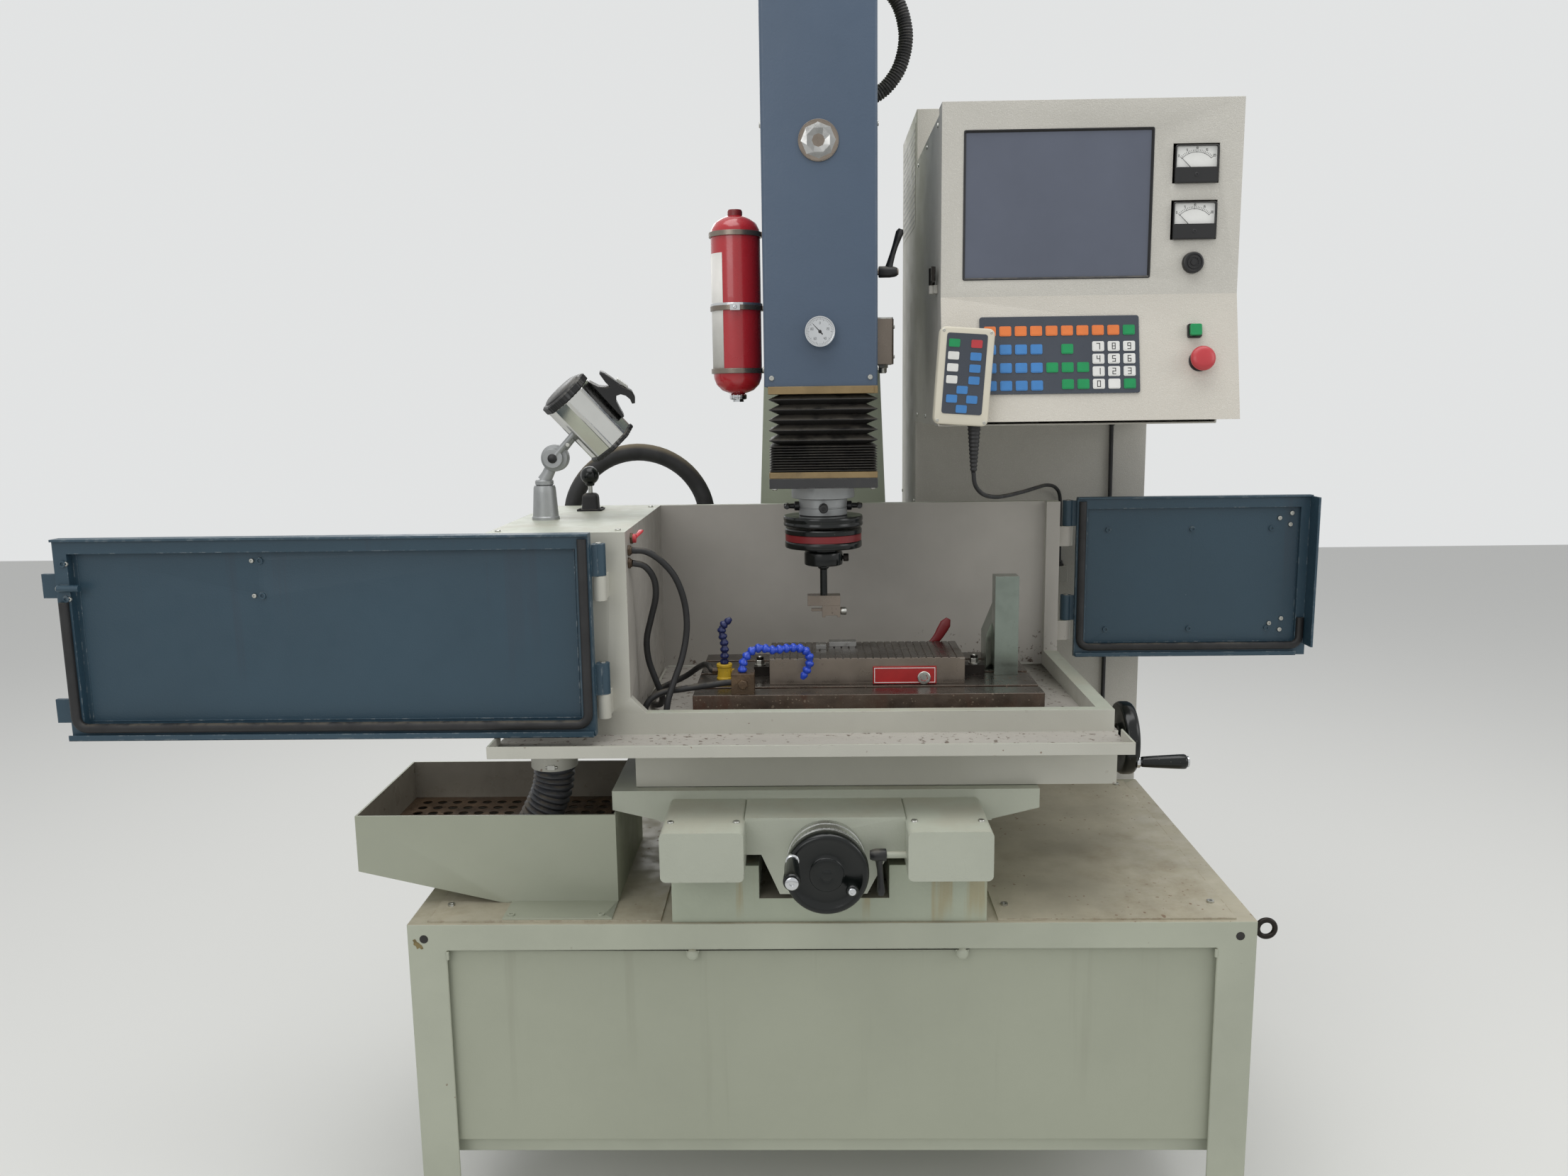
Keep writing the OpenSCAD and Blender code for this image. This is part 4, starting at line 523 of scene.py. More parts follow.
finishLooks = {
    "framePaint": {"colour": (171, 175, 158), "rough": (0.42, 0.58), "drift": (0.07, 3.0),
        "relief": [paintPeel], "layers": [
        grimed(9.0, 0.34, 0.3, dirt, 0.24, 0.6, stretch=0.3),
        dusty(16.0, 0.75, (126, 117, 92), 0.55, 0.75),
        specked(70.0, 0.16, 0.42, rust, 0.7, 0.8),
        worn(0.004, 0.42, 45.0, primer, 0.55, 0.5)]},
    "panelPaint": {"colour": (162, 166, 148), "rough": (0.4, 0.55), "drift": (0.05, 2.0),
        "relief": [paintPeel], "layers": [
        streaked(deckTop - 0.04, 0.3, 20.0, 0.3, dirt, 0.1, 0.5),
        grimed(5.0, 0.3, 0.35, dirt, 0.18, 0.6, stretch=0.25),
        specked(50.0, 0.12, 0.3, rust, 0.6, 0.8)]},
    "deckPaint": {"colour": (172, 166, 146), "rough": (0.4, 0.7), "drift": (0.1, 8.0),
        "relief": [paintPeel], "layers": [
        grimed(14.0, 0.7, 0.3, (118, 100, 68), 0.6, 0.55),
        specked(90.0, 0.25, 0.6, rust, 0.65, 0.8),
        worn(0.003, 0.6, 60.0, rust, 0.6, 0.6)]},
    "castPaint": {"colour": (165, 172, 153), "rough": (0.36, 0.5), "drift": (0.06, 4.0),
        "relief": [skinned(190.0, 1.0, 0.0003), paintPeel], "layers": [
        streaked(deckTop + 0.09, 0.1, 26.0, 0.4, oilStain, 0.42, 0.25),
        grimed(12.0, 0.36, 0.28, dirt, 0.3, 0.5, stretch=0.4),
        dusty(22.0, 0.6, (136, 126, 96), 0.4, 0.5),
        worn(0.004, 0.45, 50.0, primer, 0.5, 0.5)]},
    "coverPaint": {"colour": (176, 180, 165), "rough": (0.34, 0.48), "drift": (0.05, 4.0),
        "relief": [skinned(240.0, 1.0, 0.00025), paintPeel], "layers": [
        grimed(10.0, 0.3, 0.3, dirt, 0.22, 0.5, stretch=0.35),
        dusty(9.0, 0.55, (168, 158, 140), 0.3, 0.5),
        specked(60.0, 0.14, 0.4, rust, 0.6, 0.7),
        worn(0.004, 0.4, 55.0, primer, 0.5, 0.5)]},
    "tankPaint": {"colour": (188, 187, 176), "rough": (0.34, 0.5), "drift": (0.05, 3.5),
        "relief": [paintPeel], "layers": [
        grimed(11.0, 0.36, 0.26, dirt, 0.26, 0.45, stretch=0.3),
        dusty(10.0, 0.5, (158, 146, 124), 0.3, 0.45),
        specked(65.0, 0.18, 0.5, rust, 0.75, 0.8),
        worn(0.003, 0.42, 70.0, rust, 0.5, 0.6)]},
    "tankInside": {"colour": (172, 168, 160), "rough": (0.3, 0.5), "drift": (0.08, 3.0),
        "relief": [paintPeel], "layers": [
        grimed(5.0, 0.34, 0.4, soot, 0.26, 0.5, stretch=0.7),
        spattered(deckTop + 0.27, 0.13, 85.0, 0.46, (78, 58, 44), 0.85, 0.6),
        specked(170.0, 0.16, 0.3, (96, 70, 52), 0.6, 0.7)]},
    "drainInside": {"colour": (140, 134, 122), "rough": (0.25, 0.5), "drift": (0.15, 8.0),
        "relief": [paintPeel], "layers": [
        grimed(10.0, 0.5, 0.3, soot, 0.6, 0.3, stretch=0.4)]},
    "sumpSludge": {"colour": (70, 54, 38), "rough": (0.3, 0.6), "drift": (0.3, 20.0), "metal": 0.3,
        "relief": [skinned(300.0, 1.0, 0.0006)], "layers": [
        grimed(30.0, 0.6, 0.2, (128, 104, 76), 0.7, 0.5, 0.2)]},
    "doorBlue": {"colour": (46, 70, 84), "rough": (0.36, 0.5), "drift": (0.06, 3.0),
        "relief": [skinned(330.0, 1.0, 0.00018)], "layers": [
        grimed(8.0, 0.34, 0.3, (72, 94, 104), 0.26, 0.55, stretch=0.6),
        streaked(deckTop + 0.577, 0.2, 22.0, 0.35, (48, 60, 72), 0.35, 0.35),
        specked(80.0, 0.1, 0.35, (170, 176, 176), 0.5, 0.7),
        worn(0.003, 0.55, 60.0, (150, 158, 160), 0.65, 0.45)]},
    "headBlue": {"colour": (72, 88, 107), "rough": (0.36, 0.5), "drift": (0.05, 3.0),
        "relief": [skinned(300.0, 1.0, 0.00022)], "layers": [
        grimed(9.0, 0.3, 0.3, (112, 124, 134), 0.22, 0.55, stretch=0.4),
        specked(60.0, 0.1, 0.35, (160, 164, 160), 0.5, 0.7),
        worn(0.003, 0.4, 50.0, (140, 146, 148), 0.6, 0.5)]},
    "powderCoat": {"colour": (196, 193, 184), "rough": (0.5, 0.62), "drift": (0.03, 4.0),
        "relief": [skinned(650.0, 1.2, 0.0006)], "layers": [
        specked(700.0, 0.5, 1.0, (226, 224, 216), 0.35, 0.35),
        grimed(7.0, 0.28, 0.3, (140, 130, 110), 0.2, 0.6, stretch=0.6),
        worn(0.003, 0.3, 60.0, (120, 116, 108), 0.5, 0.5)]},
    "blackEnamel": {"colour": (34, 34, 35), "rough": (0.26, 0.4), "drift": (0.2, 12.0),
        "fixed": {"Coat Weight": 0.3},
        "relief": [skinned(500.0, 0.6, 0.00008)], "layers": [
        grimed(22.0, 0.35, 0.3, (96, 84, 66), 0.35, 0.6),
        worn(0.002, 0.5, 90.0, bareSteel, 0.6, 0.35, 0.9)]},
    # near-black painted shade for the inside of a hole
    "holeShadeDark": {"colour": (40, 38, 36), "rough": (0.5, 0.7), "drift": (0.2, 40.0)},
    "bareFlake": {"colour": (118, 104, 66), "rough": (0.5, 0.7), "drift": (0.25, 90.0),
        "relief": [skinned(500.0, 1.0, 0.0003)], "layers": [
        grimed(140.0, 0.5, 0.2, (84, 66, 42), 0.7, 0.7)]},
    "mirrorSteel": {"colour": (204, 204, 200), "rough": (0.12, 0.2), "metal": 1.0, "drift": (0.04, 10.0),
        "relief": [skinned(700.0, 0.4, 0.00001)], "layers": [
        grimed(26.0, 0.2, 0.3, (150, 144, 130), 0.25, 0.4, 0.6)]},
    "groundSteel": {"colour": (168, 168, 166), "rough": (0.2, 0.38), "metal": 1.0, "drift": (0.12, 9.0),
        "roughScale": 60.0,
        "relief": [brushed(1400.0, 0.00004)], "layers": [
        grimed(26.0, 0.4, 0.2, (92, 76, 60), 0.5, 0.5, 0.4)]},
    # steel grey with a greenish tint: the tint is a painted reflection of green surroundings
    "polishedBlock": {"colour": (146, 156, 147), "rough": (0.14, 0.26), "metal": 1.0, "drift": (0.08, 6.0),
        "relief": [brushed(1100.0, 0.00003, 0.0, 1.0)], "layers": [
        specked(150.0, 0.22, 0.5, (84, 74, 60), 0.6, 0.5, 0.3)]},
    "chromed": {"colour": (206, 208, 210), "rough": (0.1, 0.2), "metal": 1.0, "drift": (0.04, 20.0),
        "relief": [skinned(800.0, 0.5, 0.00002)], "layers": [
        grimed(60.0, 0.3, 0.2, (110, 100, 84), 0.4, 0.5, 0.6)]},
    "zincScrew": {"colour": (186, 186, 180), "rough": (0.25, 0.4), "metal": 1.0, "drift": (0.1, 40.0),
        "relief": [brushed(2000.0, 0.00002)], "layers": [
        grimed(90.0, 0.45, 0.2, rust, 0.5, 0.7, 0.2)]},
    "castAluminium": {"colour": (158, 160, 160), "rough": (0.38, 0.5), "metal": 0.55, "drift": (0.06, 14.0),
        "relief": [skinned(600.0, 1.0, 0.0002)], "layers": [
        grimed(25.0, 0.35, 0.25, (90, 84, 76), 0.4, 0.6, 0.2)]},
    "brightAluminium": {"colour": (200, 201, 198), "rough": (0.2, 0.32), "metal": 1.0, "drift": (0.04, 10.0),
                        "relief": [brushed(1600.0, 0.00003)], "layers": [
        grimed(25.0, 0.25, 0.25, (120, 114, 102), 0.35, 0.5, 0.5)]},
    "tableIron": {"colour": (88, 76, 66), "rough": (0.3, 0.55), "metal": 0.55, "drift": (0.3, 14.0),
        "relief": [skinned(200.0, 1.0, 0.0003)], "layers": [
        grimed(34.0, 0.62, 0.14, (70, 42, 26), 0.85, 0.65, 0.1, stretch=0.5),
        grimed(16.0, 0.34, 0.12, (42, 32, 26), 0.8, 0.3, 0.2),
        specked(160.0, 0.3, 0.7, (150, 136, 118), 0.5, 0.5, 0.3)]},
    "tableTop": {"colour": (104, 98, 92), "rough": (0.18, 0.36), "metal": 0.9, "drift": (0.22, 12.0),
        "roughScale": 22.0,
        "relief": [brushed(1200.0, 0.00005)], "layers": [
        grimed(18.0, 0.52, 0.2, (50, 40, 33), 0.75, 0.35, 0.3),
        specked(130.0, 0.35, 0.6, (96, 58, 34), 0.6, 0.6, 0.1)]},
    "chuckSteel": {"colour": (132, 122, 112), "rough": (0.24, 0.4), "metal": 0.85, "drift": (0.12, 10.0),
        "roughScale": 20.0,
        "relief": [brushed(1000.0, 0.00004)], "layers": [
        grimed(14.0, 0.46, 0.22, (80, 64, 50), 0.6, 0.4, 0.4, stretch=0.5),
        specked(120.0, 0.28, 0.5, (60, 40, 28), 0.7, 0.6, 0.1)]},
    "blackedSteel": {"colour": (46, 42, 39), "rough": (0.3, 0.45), "metal": 0.8, "drift": (0.2, 20.0),
        "relief": [skinned(500.0, 0.7, 0.0001)], "layers": [
        grimed(50.0, 0.4, 0.2, rust, 0.5, 0.6, 0.1),
        worn(0.0015, 0.5, 120.0, bareSteel, 0.7, 0.3, 1.0)]},
    "brassStrip": {"colour": (138, 118, 84), "rough": (0.35, 0.5), "metal": 0.5, "drift": (0.15, 20.0),
        "relief": [brushed(800.0, 0.00005)], "layers": [
        grimed(30.0, 0.5, 0.25, (74, 62, 46), 0.6, 0.6, 0.1)]},
    "rubber": {"colour": (30, 30, 31), "rough": (0.5, 0.66), "drift": (0.2, 20.0),
        "relief": [skinned(900.0, 0.8, 0.0001)], "layers": [
        dusty(40.0, 0.6, (118, 110, 94), 0.35, 0.85),
        grimed(35.0, 0.35, 0.3, (84, 78, 68), 0.35, 0.8)]},
    "dustyHose": {"colour": (38, 38, 38), "rough": (0.55, 0.75), "drift": (0.2, 10.0),
        "relief": [skinned(700.0, 1.0, 0.0002)], "layers": [
        dusty(25.0, 0.95, (134, 122, 98), 0.62, 0.9),
        grimed(30.0, 0.45, 0.3, (92, 82, 66), 0.5, 0.85)]},
    "bellowsVinyl": {"colour": (36, 35, 34), "rough": (0.34, 0.46), "drift": (0.15, 12.0),
        "relief": [skinned(1300.0, 1.0, 0.00012)], "layers": [
        dusty(30.0, 0.7, (110, 104, 92), 0.3, 0.8),
        worn(0.0012, 0.5, 120.0, (120, 112, 98), 0.4, 0.7)]},
    "phenolic": {"colour": (13, 17, 16), "rough": (0.14, 0.26), "drift": (0.1, 10.0),
        "fixed": {"Specular IOR Level": 0.4},
        "relief": [skinned(160.0, 0.8, 0.00006)], "layers": [
        grimed(26.0, 0.28, 0.3, (96, 92, 82), 0.22, 0.5),
        specked(260.0, 0.2, 0.45, (160, 156, 144), 0.4, 0.7)]},
    "blackPlastic": {"colour": (28, 28, 29), "rough": (0.3, 0.42), "drift": (0.1, 20.0),
        "relief": [skinned(1000.0, 0.8, 0.00008)], "layers": [
        dusty(50.0, 0.6, (130, 124, 112), 0.3, 0.8)]},
    "creamPlastic": {"colour": (214, 208, 190), "rough": (0.36, 0.5), "drift": (0.04, 10.0),
        "relief": [skinned(800.0, 0.8, 0.0001)], "layers": [
        grimed(24.0, 0.34, 0.3, (150, 132, 98), 0.35, 0.6),
        worn(0.002, 0.4, 90.0, (150, 138, 112), 0.4, 0.6)]},
    "membrane": {"colour": (58, 64, 74), "rough": (0.22, 0.34), "drift": (0.06, 10.0),
        "fixed": {"Coat Weight": 0.2},
        "relief": [skinned(900.0, 0.6, 0.00005)], "layers": [
        grimed(18.0, 0.36, 0.3, (120, 118, 112), 0.25, 0.5)]},
    "stopRed": {"colour": (186, 58, 64), "rough": (0.28, 0.4), "drift": (0.06, 20.0),
        "relief": [skinned(900.0, 0.6, 0.00006)], "layers": [
        grimed(40.0, 0.3, 0.3, (120, 60, 56), 0.35, 0.5)]},
    "darkRed": {"colour": (118, 26, 30), "rough": (0.3, 0.42), "drift": (0.1, 20.0),
        "relief": [skinned(700.0, 0.8, 0.00008)], "layers": [
        grimed(40.0, 0.4, 0.3, (60, 34, 30), 0.5, 0.5)]},
    "plateRed": {"colour": (168, 34, 34), "rough": (0.3, 0.4), "drift": (0.1, 30.0),
        "relief": [skinned(900.0, 0.5, 0.00004)], "layers": [
        grimed(60.0, 0.35, 0.2, (84, 50, 40), 0.5, 0.6)]},
    "bottleRed": {"colour": (178, 30, 40), "rough": (0.2, 0.32), "drift": (0.05, 8.0),
        "fixed": {"Coat Weight": 0.5},
        "relief": [skinned(260.0, 0.8, 0.00008)], "layers": [
        grimed(14.0, 0.3, 0.3, (170, 110, 108), 0.25, 0.55, stretch=0.5),
        worn(0.003, 0.35, 70.0, (210, 190, 180), 0.5, 0.5)]},
    "paperLabel": {"colour": (222, 220, 214), "rough": (0.5, 0.62), "drift": (0.04, 30.0),
        "relief": [skinned(500.0, 0.6, 0.00004)], "layers": [
        grimed(30.0, 0.35, 0.3, (170, 160, 140), 0.4, 0.6)]},
    "blueJoint": {"colour": (34, 72, 190), "rough": (0.24, 0.36), "drift": (0.1, 40.0),
        "fixed": {"Coat Weight": 0.2},
        "relief": [skinned(900.0, 0.6, 0.00005)], "layers": [
        grimed(60.0, 0.35, 0.25, (24, 34, 70), 0.5, 0.5)]},
    "navyJoint": {"colour": (26, 36, 84), "rough": (0.26, 0.4), "drift": (0.1, 40.0),
        "relief": [skinned(900.0, 0.6, 0.00005)], "layers": [
        grimed(60.0, 0.4, 0.25, (20, 22, 30), 0.6, 0.5)]},
    "yellowPaint": {"colour": (206, 170, 44), "rough": (0.4, 0.55), "drift": (0.1, 30.0),
        "relief": [skinned(500.0, 0.8, 0.0001)], "layers": [
        grimed(50.0, 0.5, 0.12, (66, 46, 30), 0.85, 0.6, 0.3),
        worn(0.002, 0.7, 120.0, (70, 50, 34), 0.9, 0.5, 0.5)]},
    "greenKey": {"colour": (18, 142, 82), "rough": (0.26, 0.38), "drift": (0.06, 40.0),
        "relief": [skinned(900.0, 0.6, 0.00005)]},
    "orangeKey": {"colour": (222, 122, 62), "rough": (0.3, 0.42), "drift": (0.06, 40.0),
        "relief": [skinned(900.0, 0.6, 0.00005)]},
    "blueKey": {"colour": (66, 128, 190), "rough": (0.3, 0.42), "drift": (0.06, 40.0),
        "relief": [skinned(900.0, 0.6, 0.00005)]},
    "whiteKey": {"colour": (224, 224, 220), "rough": (0.3, 0.42), "drift": (0.04, 40.0),
        "relief": [skinned(900.0, 0.6, 0.00005)]},
    "dialWhite": {"colour": (232, 232, 228), "rough": (0.35, 0.5), "drift": (0.03, 30.0),
        "relief": [skinned(900.0, 0.5, 0.00003)]},
    # black for print and needles, also used as painted shade in the vent holes
    "printAndShadeBlack": {"colour": (30, 30, 32), "rough": (0.4, 0.5), "drift": (0.05, 60.0)},
    "greyHose": {"colour": (70, 72, 76), "rough": (0.45, 0.6), "drift": (0.15, 14.0),
        "relief": [skinned(500.0, 0.8, 0.00015)], "layers": [
        dusty(40.0, 0.6, (128, 116, 96), 0.5, 0.85),
        grimed(30.0, 0.4, 0.25, (44, 38, 34), 0.6, 0.4)]},
    "screenGlass": {"colour": (86, 92, 107), "rough": (0.1, 0.22), "drift": (0.1, 3.0), "roughScale": 8.0,
        "fixed": {"Coat Weight": 0.3, "Coat Roughness": 0.06}, "layers": [
        grimed(7.0, 0.5, 0.4, (68, 76, 94), 0.5, 0.2, stretch=0.5),
        grimed(22.0, 0.4, 0.3, (118, 120, 124), 0.3, 0.45)]},
}
# the console's sloped faces: the same powder coat painted lighter and warmer, as painted light falling on the
# slope
finishLooks["slopePaintedLight"] = dict(finishLooks["powderCoat"], colour=(207, 202, 191))
for finishName, finishLook in finishLooks.items():
    makeFinish(finishName, finishLook)
print("finishes made:", len(finishes))


def settle(obj, body, finishNames, replaced=(), bevel=0.0, smooth=32, segments=2):
    for finishName in finishNames:
        obj.data.materials.append(finishes[finishName])
    for face in obj.data.polygons:
        face.use_smooth = True
    obj.data.set_sharp_from_angle(angle=radians(smooth))
    if bevel:
        edge = obj.modifiers.new("softEdges", "BEVEL")
        edge.width = bevel / 1000
        edge.segments = segments
        edge.limit_method = "ANGLE"
        edge.angle_limit = radians(35)
        edge.harden_normals = True
        edge.miter_outer = "MITER_ARC"
    if obj.name not in bpy.context.scene.collection.objects:
        bpy.context.scene.collection.objects.link(obj)
    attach(obj, body)
    if replaced:
        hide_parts(*replaced)
    return obj


def meshOf(name, bm):
    mesh = bpy.data.meshes.new(name)
    bm.to_mesh(mesh)
    bm.free()
    return mesh


def turned(bm, matrix):
    bmesh.ops.transform(bm, matrix=matrix, verts=bm.verts)


def inFrame(name, bm):   # the drawing as a mesh in frame metres
    turned(bm, toFrame)
    bmesh.ops.recalc_face_normals(bm, faces=bm.faces)
    return meshOf(name, bm)


def blendedPiece(name, bm, finishName):
    obj = bpy.data.objects.new(name, inFrame(name, bm))
    obj.data.materials.append(finishes[finishName])
    bpy.context.scene.collection.objects.link(obj)
    return obj


def piece(name, bm, body, finishNames, replaced=(), bevel=0.0, smooth=32):
    return settle(bpy.data.objects.new(name, inFrame(name, bm)), body, finishNames, replaced, bevel,
        smooth)


def softened(node, name, finishNames, bevel, choose=None,
    segments=2):   # the CAD node's own shape with broken edges
    bm = bmesh.new()
    bm.from_mesh(frame["nodes"][node].data)
    bmesh.ops.remove_doubles(bm, verts=bm.verts, dist=2e-6)
    bmesh.ops.dissolve_limit(bm, angle_limit=radians(0.6), verts=bm.verts, edges=bm.edges)
    bm.normal_update()
    for face in bm.faces:
        face.material_index = 0
        if choose:
            middle = (face.calc_center_bounds() - deckOrigin) * 1000
            face.material_index = choose(middle, face.normal)
    return settle(bpy.data.objects.new(name, meshOf(name, bm)), bodyOf[node], finishNames, (node,),
        bevel, 32, segments)


# cords, hoses and cables
conduitPath = [(88, 620, 1512), (110, 620, 1503), (132, 620, 1484), (151, 620, 1453), (160, 620, 1407),
               (151, 620, 1361), (132, 620, 1330), (110, 620, 1311), (88, 620, 1302)]
supplyPath = [(-475, 585, 430), (-475, 585, 490), (-475, 585, 540), (-465, 585, 590), (-437, 585, 632),
    (-395, 585, 660), (-345, 585, 670), (-295, 585, 660), (-253, 585, 632), (-225, 585, 590),
    (-215, 585, 540), (-215, 585, 490), (-215, 585, 430)]
pendantPath = [(234, 212, 650), (238, 216, 628), (254, 236, 612), (280, 280, 604), (310, 350, 600),
    (340, 420, 598), (372, 500, 596), (405, 580, 595), (438, 650, 594), (462, 684, 586), (473, 693, 564),
    (474, 693, 500), (474, 693, 430)]
cablePath = [(570, 694, 712), (571, 694, 500), (569, 694, 200), (570, 694, -40)]
hosePathA = [(-292, 122, 543), (-272, 124, 541), (-250, 130, 526), (-230, 142, 498), (-218, 152, 458),
    (-216, 158, 414), (-224, 156, 370), (-236, 150, 336), (-246, 142, 306), (-250, 138, 280)]
hosePathB = [(-292, 120, 524), (-274, 126, 518), (-262, 138, 496), (-262, 150, 466), (-272, 162, 430),
    (-281, 172, 395), (-280, 180, 360), (-270, 184, 326), (-262, 190, 300), (-266, 205, 282),
    (-280, 228, 276), (-287, 270, 276), (-284, 320, 277), (-266, 352, 280), (-240, 356, 292),
    (-218, 338, 310), (-204, 312, 322), (-194, 286, 326), (-188, 268, 323), (-183, 262, 322)]
hosePathC = [(-284, 150, 280), (-283, 151, 292), (-272, 154, 306), (-252, 158, 314), (-228, 160, 317),
    (-204, 162, 320), (-180, 164, 323), (-162, 166, 325), (-148, 166, 326)]


def cordPiece(name, node, route, radius, finishName, ribs=0.0, ribDepth=0.0, steps=4):
    path = smoothPath(route, steps)
    if ribs:
        path = evenPath(path, ribs / 4)
    shape = (1.0, 1.0, 1 - ribDepth / radius, 1 - ribDepth / radius)
    bm = bmesh.new()
    addSweep(bm, path, circle(radius, 16), swell=(lambda i, count: shape[i % 4]) if ribs else None)
    hose = piece(name, bm, bodyOf[node], [finishName], (node,), smooth=50)
    line = [toFrame @ p for p in path]
    length = sum((b - a).length for a, b in zip(line, line[1:]))
    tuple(line[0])


cordLook = {"conduit": 13.5, "supply": 16.0, "pendant": 3.5, "cable": 4.0, "hose": 5.0}
cordPiece("headConduit", "conduit", conduitPath, cordLook["conduit"], "rubber",
          5.0, 1.6)
cordPiece("supplyPipe", "supply_hose", supplyPath, cordLook["supply"], "dustyHose")
cordPiece("cabinetLead", "cabinet_cable", cablePath, cordLook["cable"], "rubber",
          steps=8)
for hoseName, hoseNode, hoseRoute in (("fillHose", "hose_a", hosePathA), ("pumpHose", "hose_b", hosePathB),
        ("jetHose", "hose_c", hosePathC)):
    cordPiece(hoseName, hoseNode, hoseRoute, cordLook["hose"], "rubber")


# the pendant's lead, swept along its path
def pendantLead():
    path = smoothPath(pendantPath, 5)
    bm = bmesh.new()
    addSweep(bm, path, circle(cordLook["pendant"], 12))
    lead = blendedPiece("pendantLead", bm, "rubber")
    for face in lead.data.polygons:
        face.use_smooth = True
    line = [toFrame @ p for p in path]
    length = sum((b - a).length for a, b in zip(line, line[1:]))
    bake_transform(lead)
    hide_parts("pendant_cord")
    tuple(line[0])


pendantLead()
print("cords laid")


# base frame, reservoir and deck
baseLook = {"frameEdge": 2.0, "plateEdge": 0.8, "bossRadius": 9.0}
softened("base_frame", "baseFrame", ["framePaint", "deckPaint"], baseLook["frameEdge"],
         lambda p, n: 1 if n.z > 0.9 and p.z > -1 and 60 < p.y < 600 else 0)
softened("oil_reservoir", "oilReservoir", ["panelPaint"], 1.5)
softened("deck_covers", "deckCovers", ["deckPaint", "zincScrew", "blackedSteel"],
    baseLook["plateEdge"], lambda p, n: 2 if p.x > 630 else 1 if p.z > 3.2 else 0)
softened("levelling_feet", "levellingFeet", ["rubber", "zincScrew"], 1.0,
         lambda p, n: 1 if p.z > -541 else 0)


def baseDetails():
    bm = bmesh.new()
    for x in (-204, 197):   # round bosses under the front rail
        addLathe(bm, (x, 5, -49), toFront, [(9.5, 0), (9.5, 3), (8.6, 6), (6.4, 8.4), (3.4, 9.6), (0, 10)],
            28)
    for x in (-571, 571):   # weld beads where the rail meets the posts
        route = [(x, 0.6, -43 - 1.6 * k) for k in range(9)]
        addSweep(bm, route, circle(2.2, 8), swell=lambda i, count: 1.0 + 0.16 * (i % 2))
    for x0, x1 in ((-570, -212), (-196, 189), (205, 570)):   # bead along the rail's lower edge
        count = int((x1 - x0) / 5)
        addSweep(bm, [(x0 + 5 * k, 6.2, -41.6) for k in range(count)], circle(1.6, 6),
            swell=lambda i, count: 1.0 + 0.18 * (i % 2))
    piece("railBosses", bm, "machine", ["framePaint"])
    bm = bmesh.new()
    for x in (-605, 605):   # dark discs over the open lifting threads: painted shade of their holes
        addLathe(bm, (x, 0.2, -23), toFront, [(6.6, 0), (6.4, 0.5), (5.2, 0.55), (0, 0.4)], 28)
    piece("liftHoleShade", bm, "machine", ["holeShadeDark"], smooth=30)
    bm = bmesh.new()
    flake = [(-622, -24), (-618, -22.6), (-615.4, -27), (-612.6, -29), (-608.4, -33), (-606.4, -38),
        (-610, -39), (-612, -36.4), (-616, -38.6), (-617.4, -34), (-621, -31.6), (-620.4, -27.6)]
    addPrism(bm, flake, "y", -0.25, 0.2)
    piece("paintFlake", bm, "machine", ["bareFlake"], smooth=20)


baseDetails()


def bedFaces(p, n):
    if n.z > 0.9 and p.z > 127 and abs(abs(p.x) - 182) < 34:
        return 1
    return 2 if 36 < p.z < 88 and abs(p.x + 7) < 95 and (n.z > 0.9 or abs(n.x) > 0.9) and p.y > 6 else 0


softened("bed", "castBed", ["castPaint", "groundSteel", "drainInside"], 3.5, bedFaces, 3)


def drainFaces(p, n):
    inside = -722 < p.x < -325 and 72 < p.y < 342 and 6 < p.z < 143.9 and abs(n.z) < 0.95
    return 1 if inside or (n.z > 0.3 and p.z < 70 and p.y > 72) else 0


softened("drain_tray", "drainTray", ["panelPaint", "drainInside"], 1.0, drainFaces)
softened("drain_screen", "drainScreen", ["sumpSludge"], 0.4)


def drainHose():   # corrugated spout with its clamp
    route = evenPath(smoothPath([(-436, 175, 190), (-438, 175, 170), (-442, 174, 150), (-450, 173, 130),
        (-459, 172, 112), (-466, 172, 98)], 8), 2.4)
    shape = (1.0, 1.02, 0.93, 0.86)
    bm = bmesh.new()
    addSweep(bm, route, circle(32.2, 36), swell=lambda i, count: shape[i % 4], first=(0, 0, -1))
    addSweep(bm, [route[-1], route[-1] - Vector((-0.3, -0.05, -0.95)) * 26], circle(27, 32), 1)
    piece("drainHose", bm, bodyOf["drain_hose"], ["greyHose", "sumpSludge"], ("drain_hose",),
        smooth=60)
    bm = bmesh.new()
    addLathe(bm, (-436, 175, 192), toTop, [(33.4, 0), (36.6, 0.6), (36.6, 9.4), (33.4, 10)], 40)
    addBox(bm, (-440, 137, 193), (-428, 141, 201))
    addRod(bm, (-443, 139.5, 197), (-424, 139.5, 197), 2.4, 0, 16)
    piece("drainClamp", bm, bodyOf["drain_hose"], ["zincScrew"], bevel=0.4)


drainHose()
print("base and bed made")


# saddle and its handwheel
def saddleFaces(p, _):
    drum = hypot(p.x + 4, p.z - 106) < 57 and p.y < -6
    return 1 if drum else 0


softened("saddle", "saddleCasting", ["coverPaint", "brightAluminium"], 3.0, saddleFaces, 3)


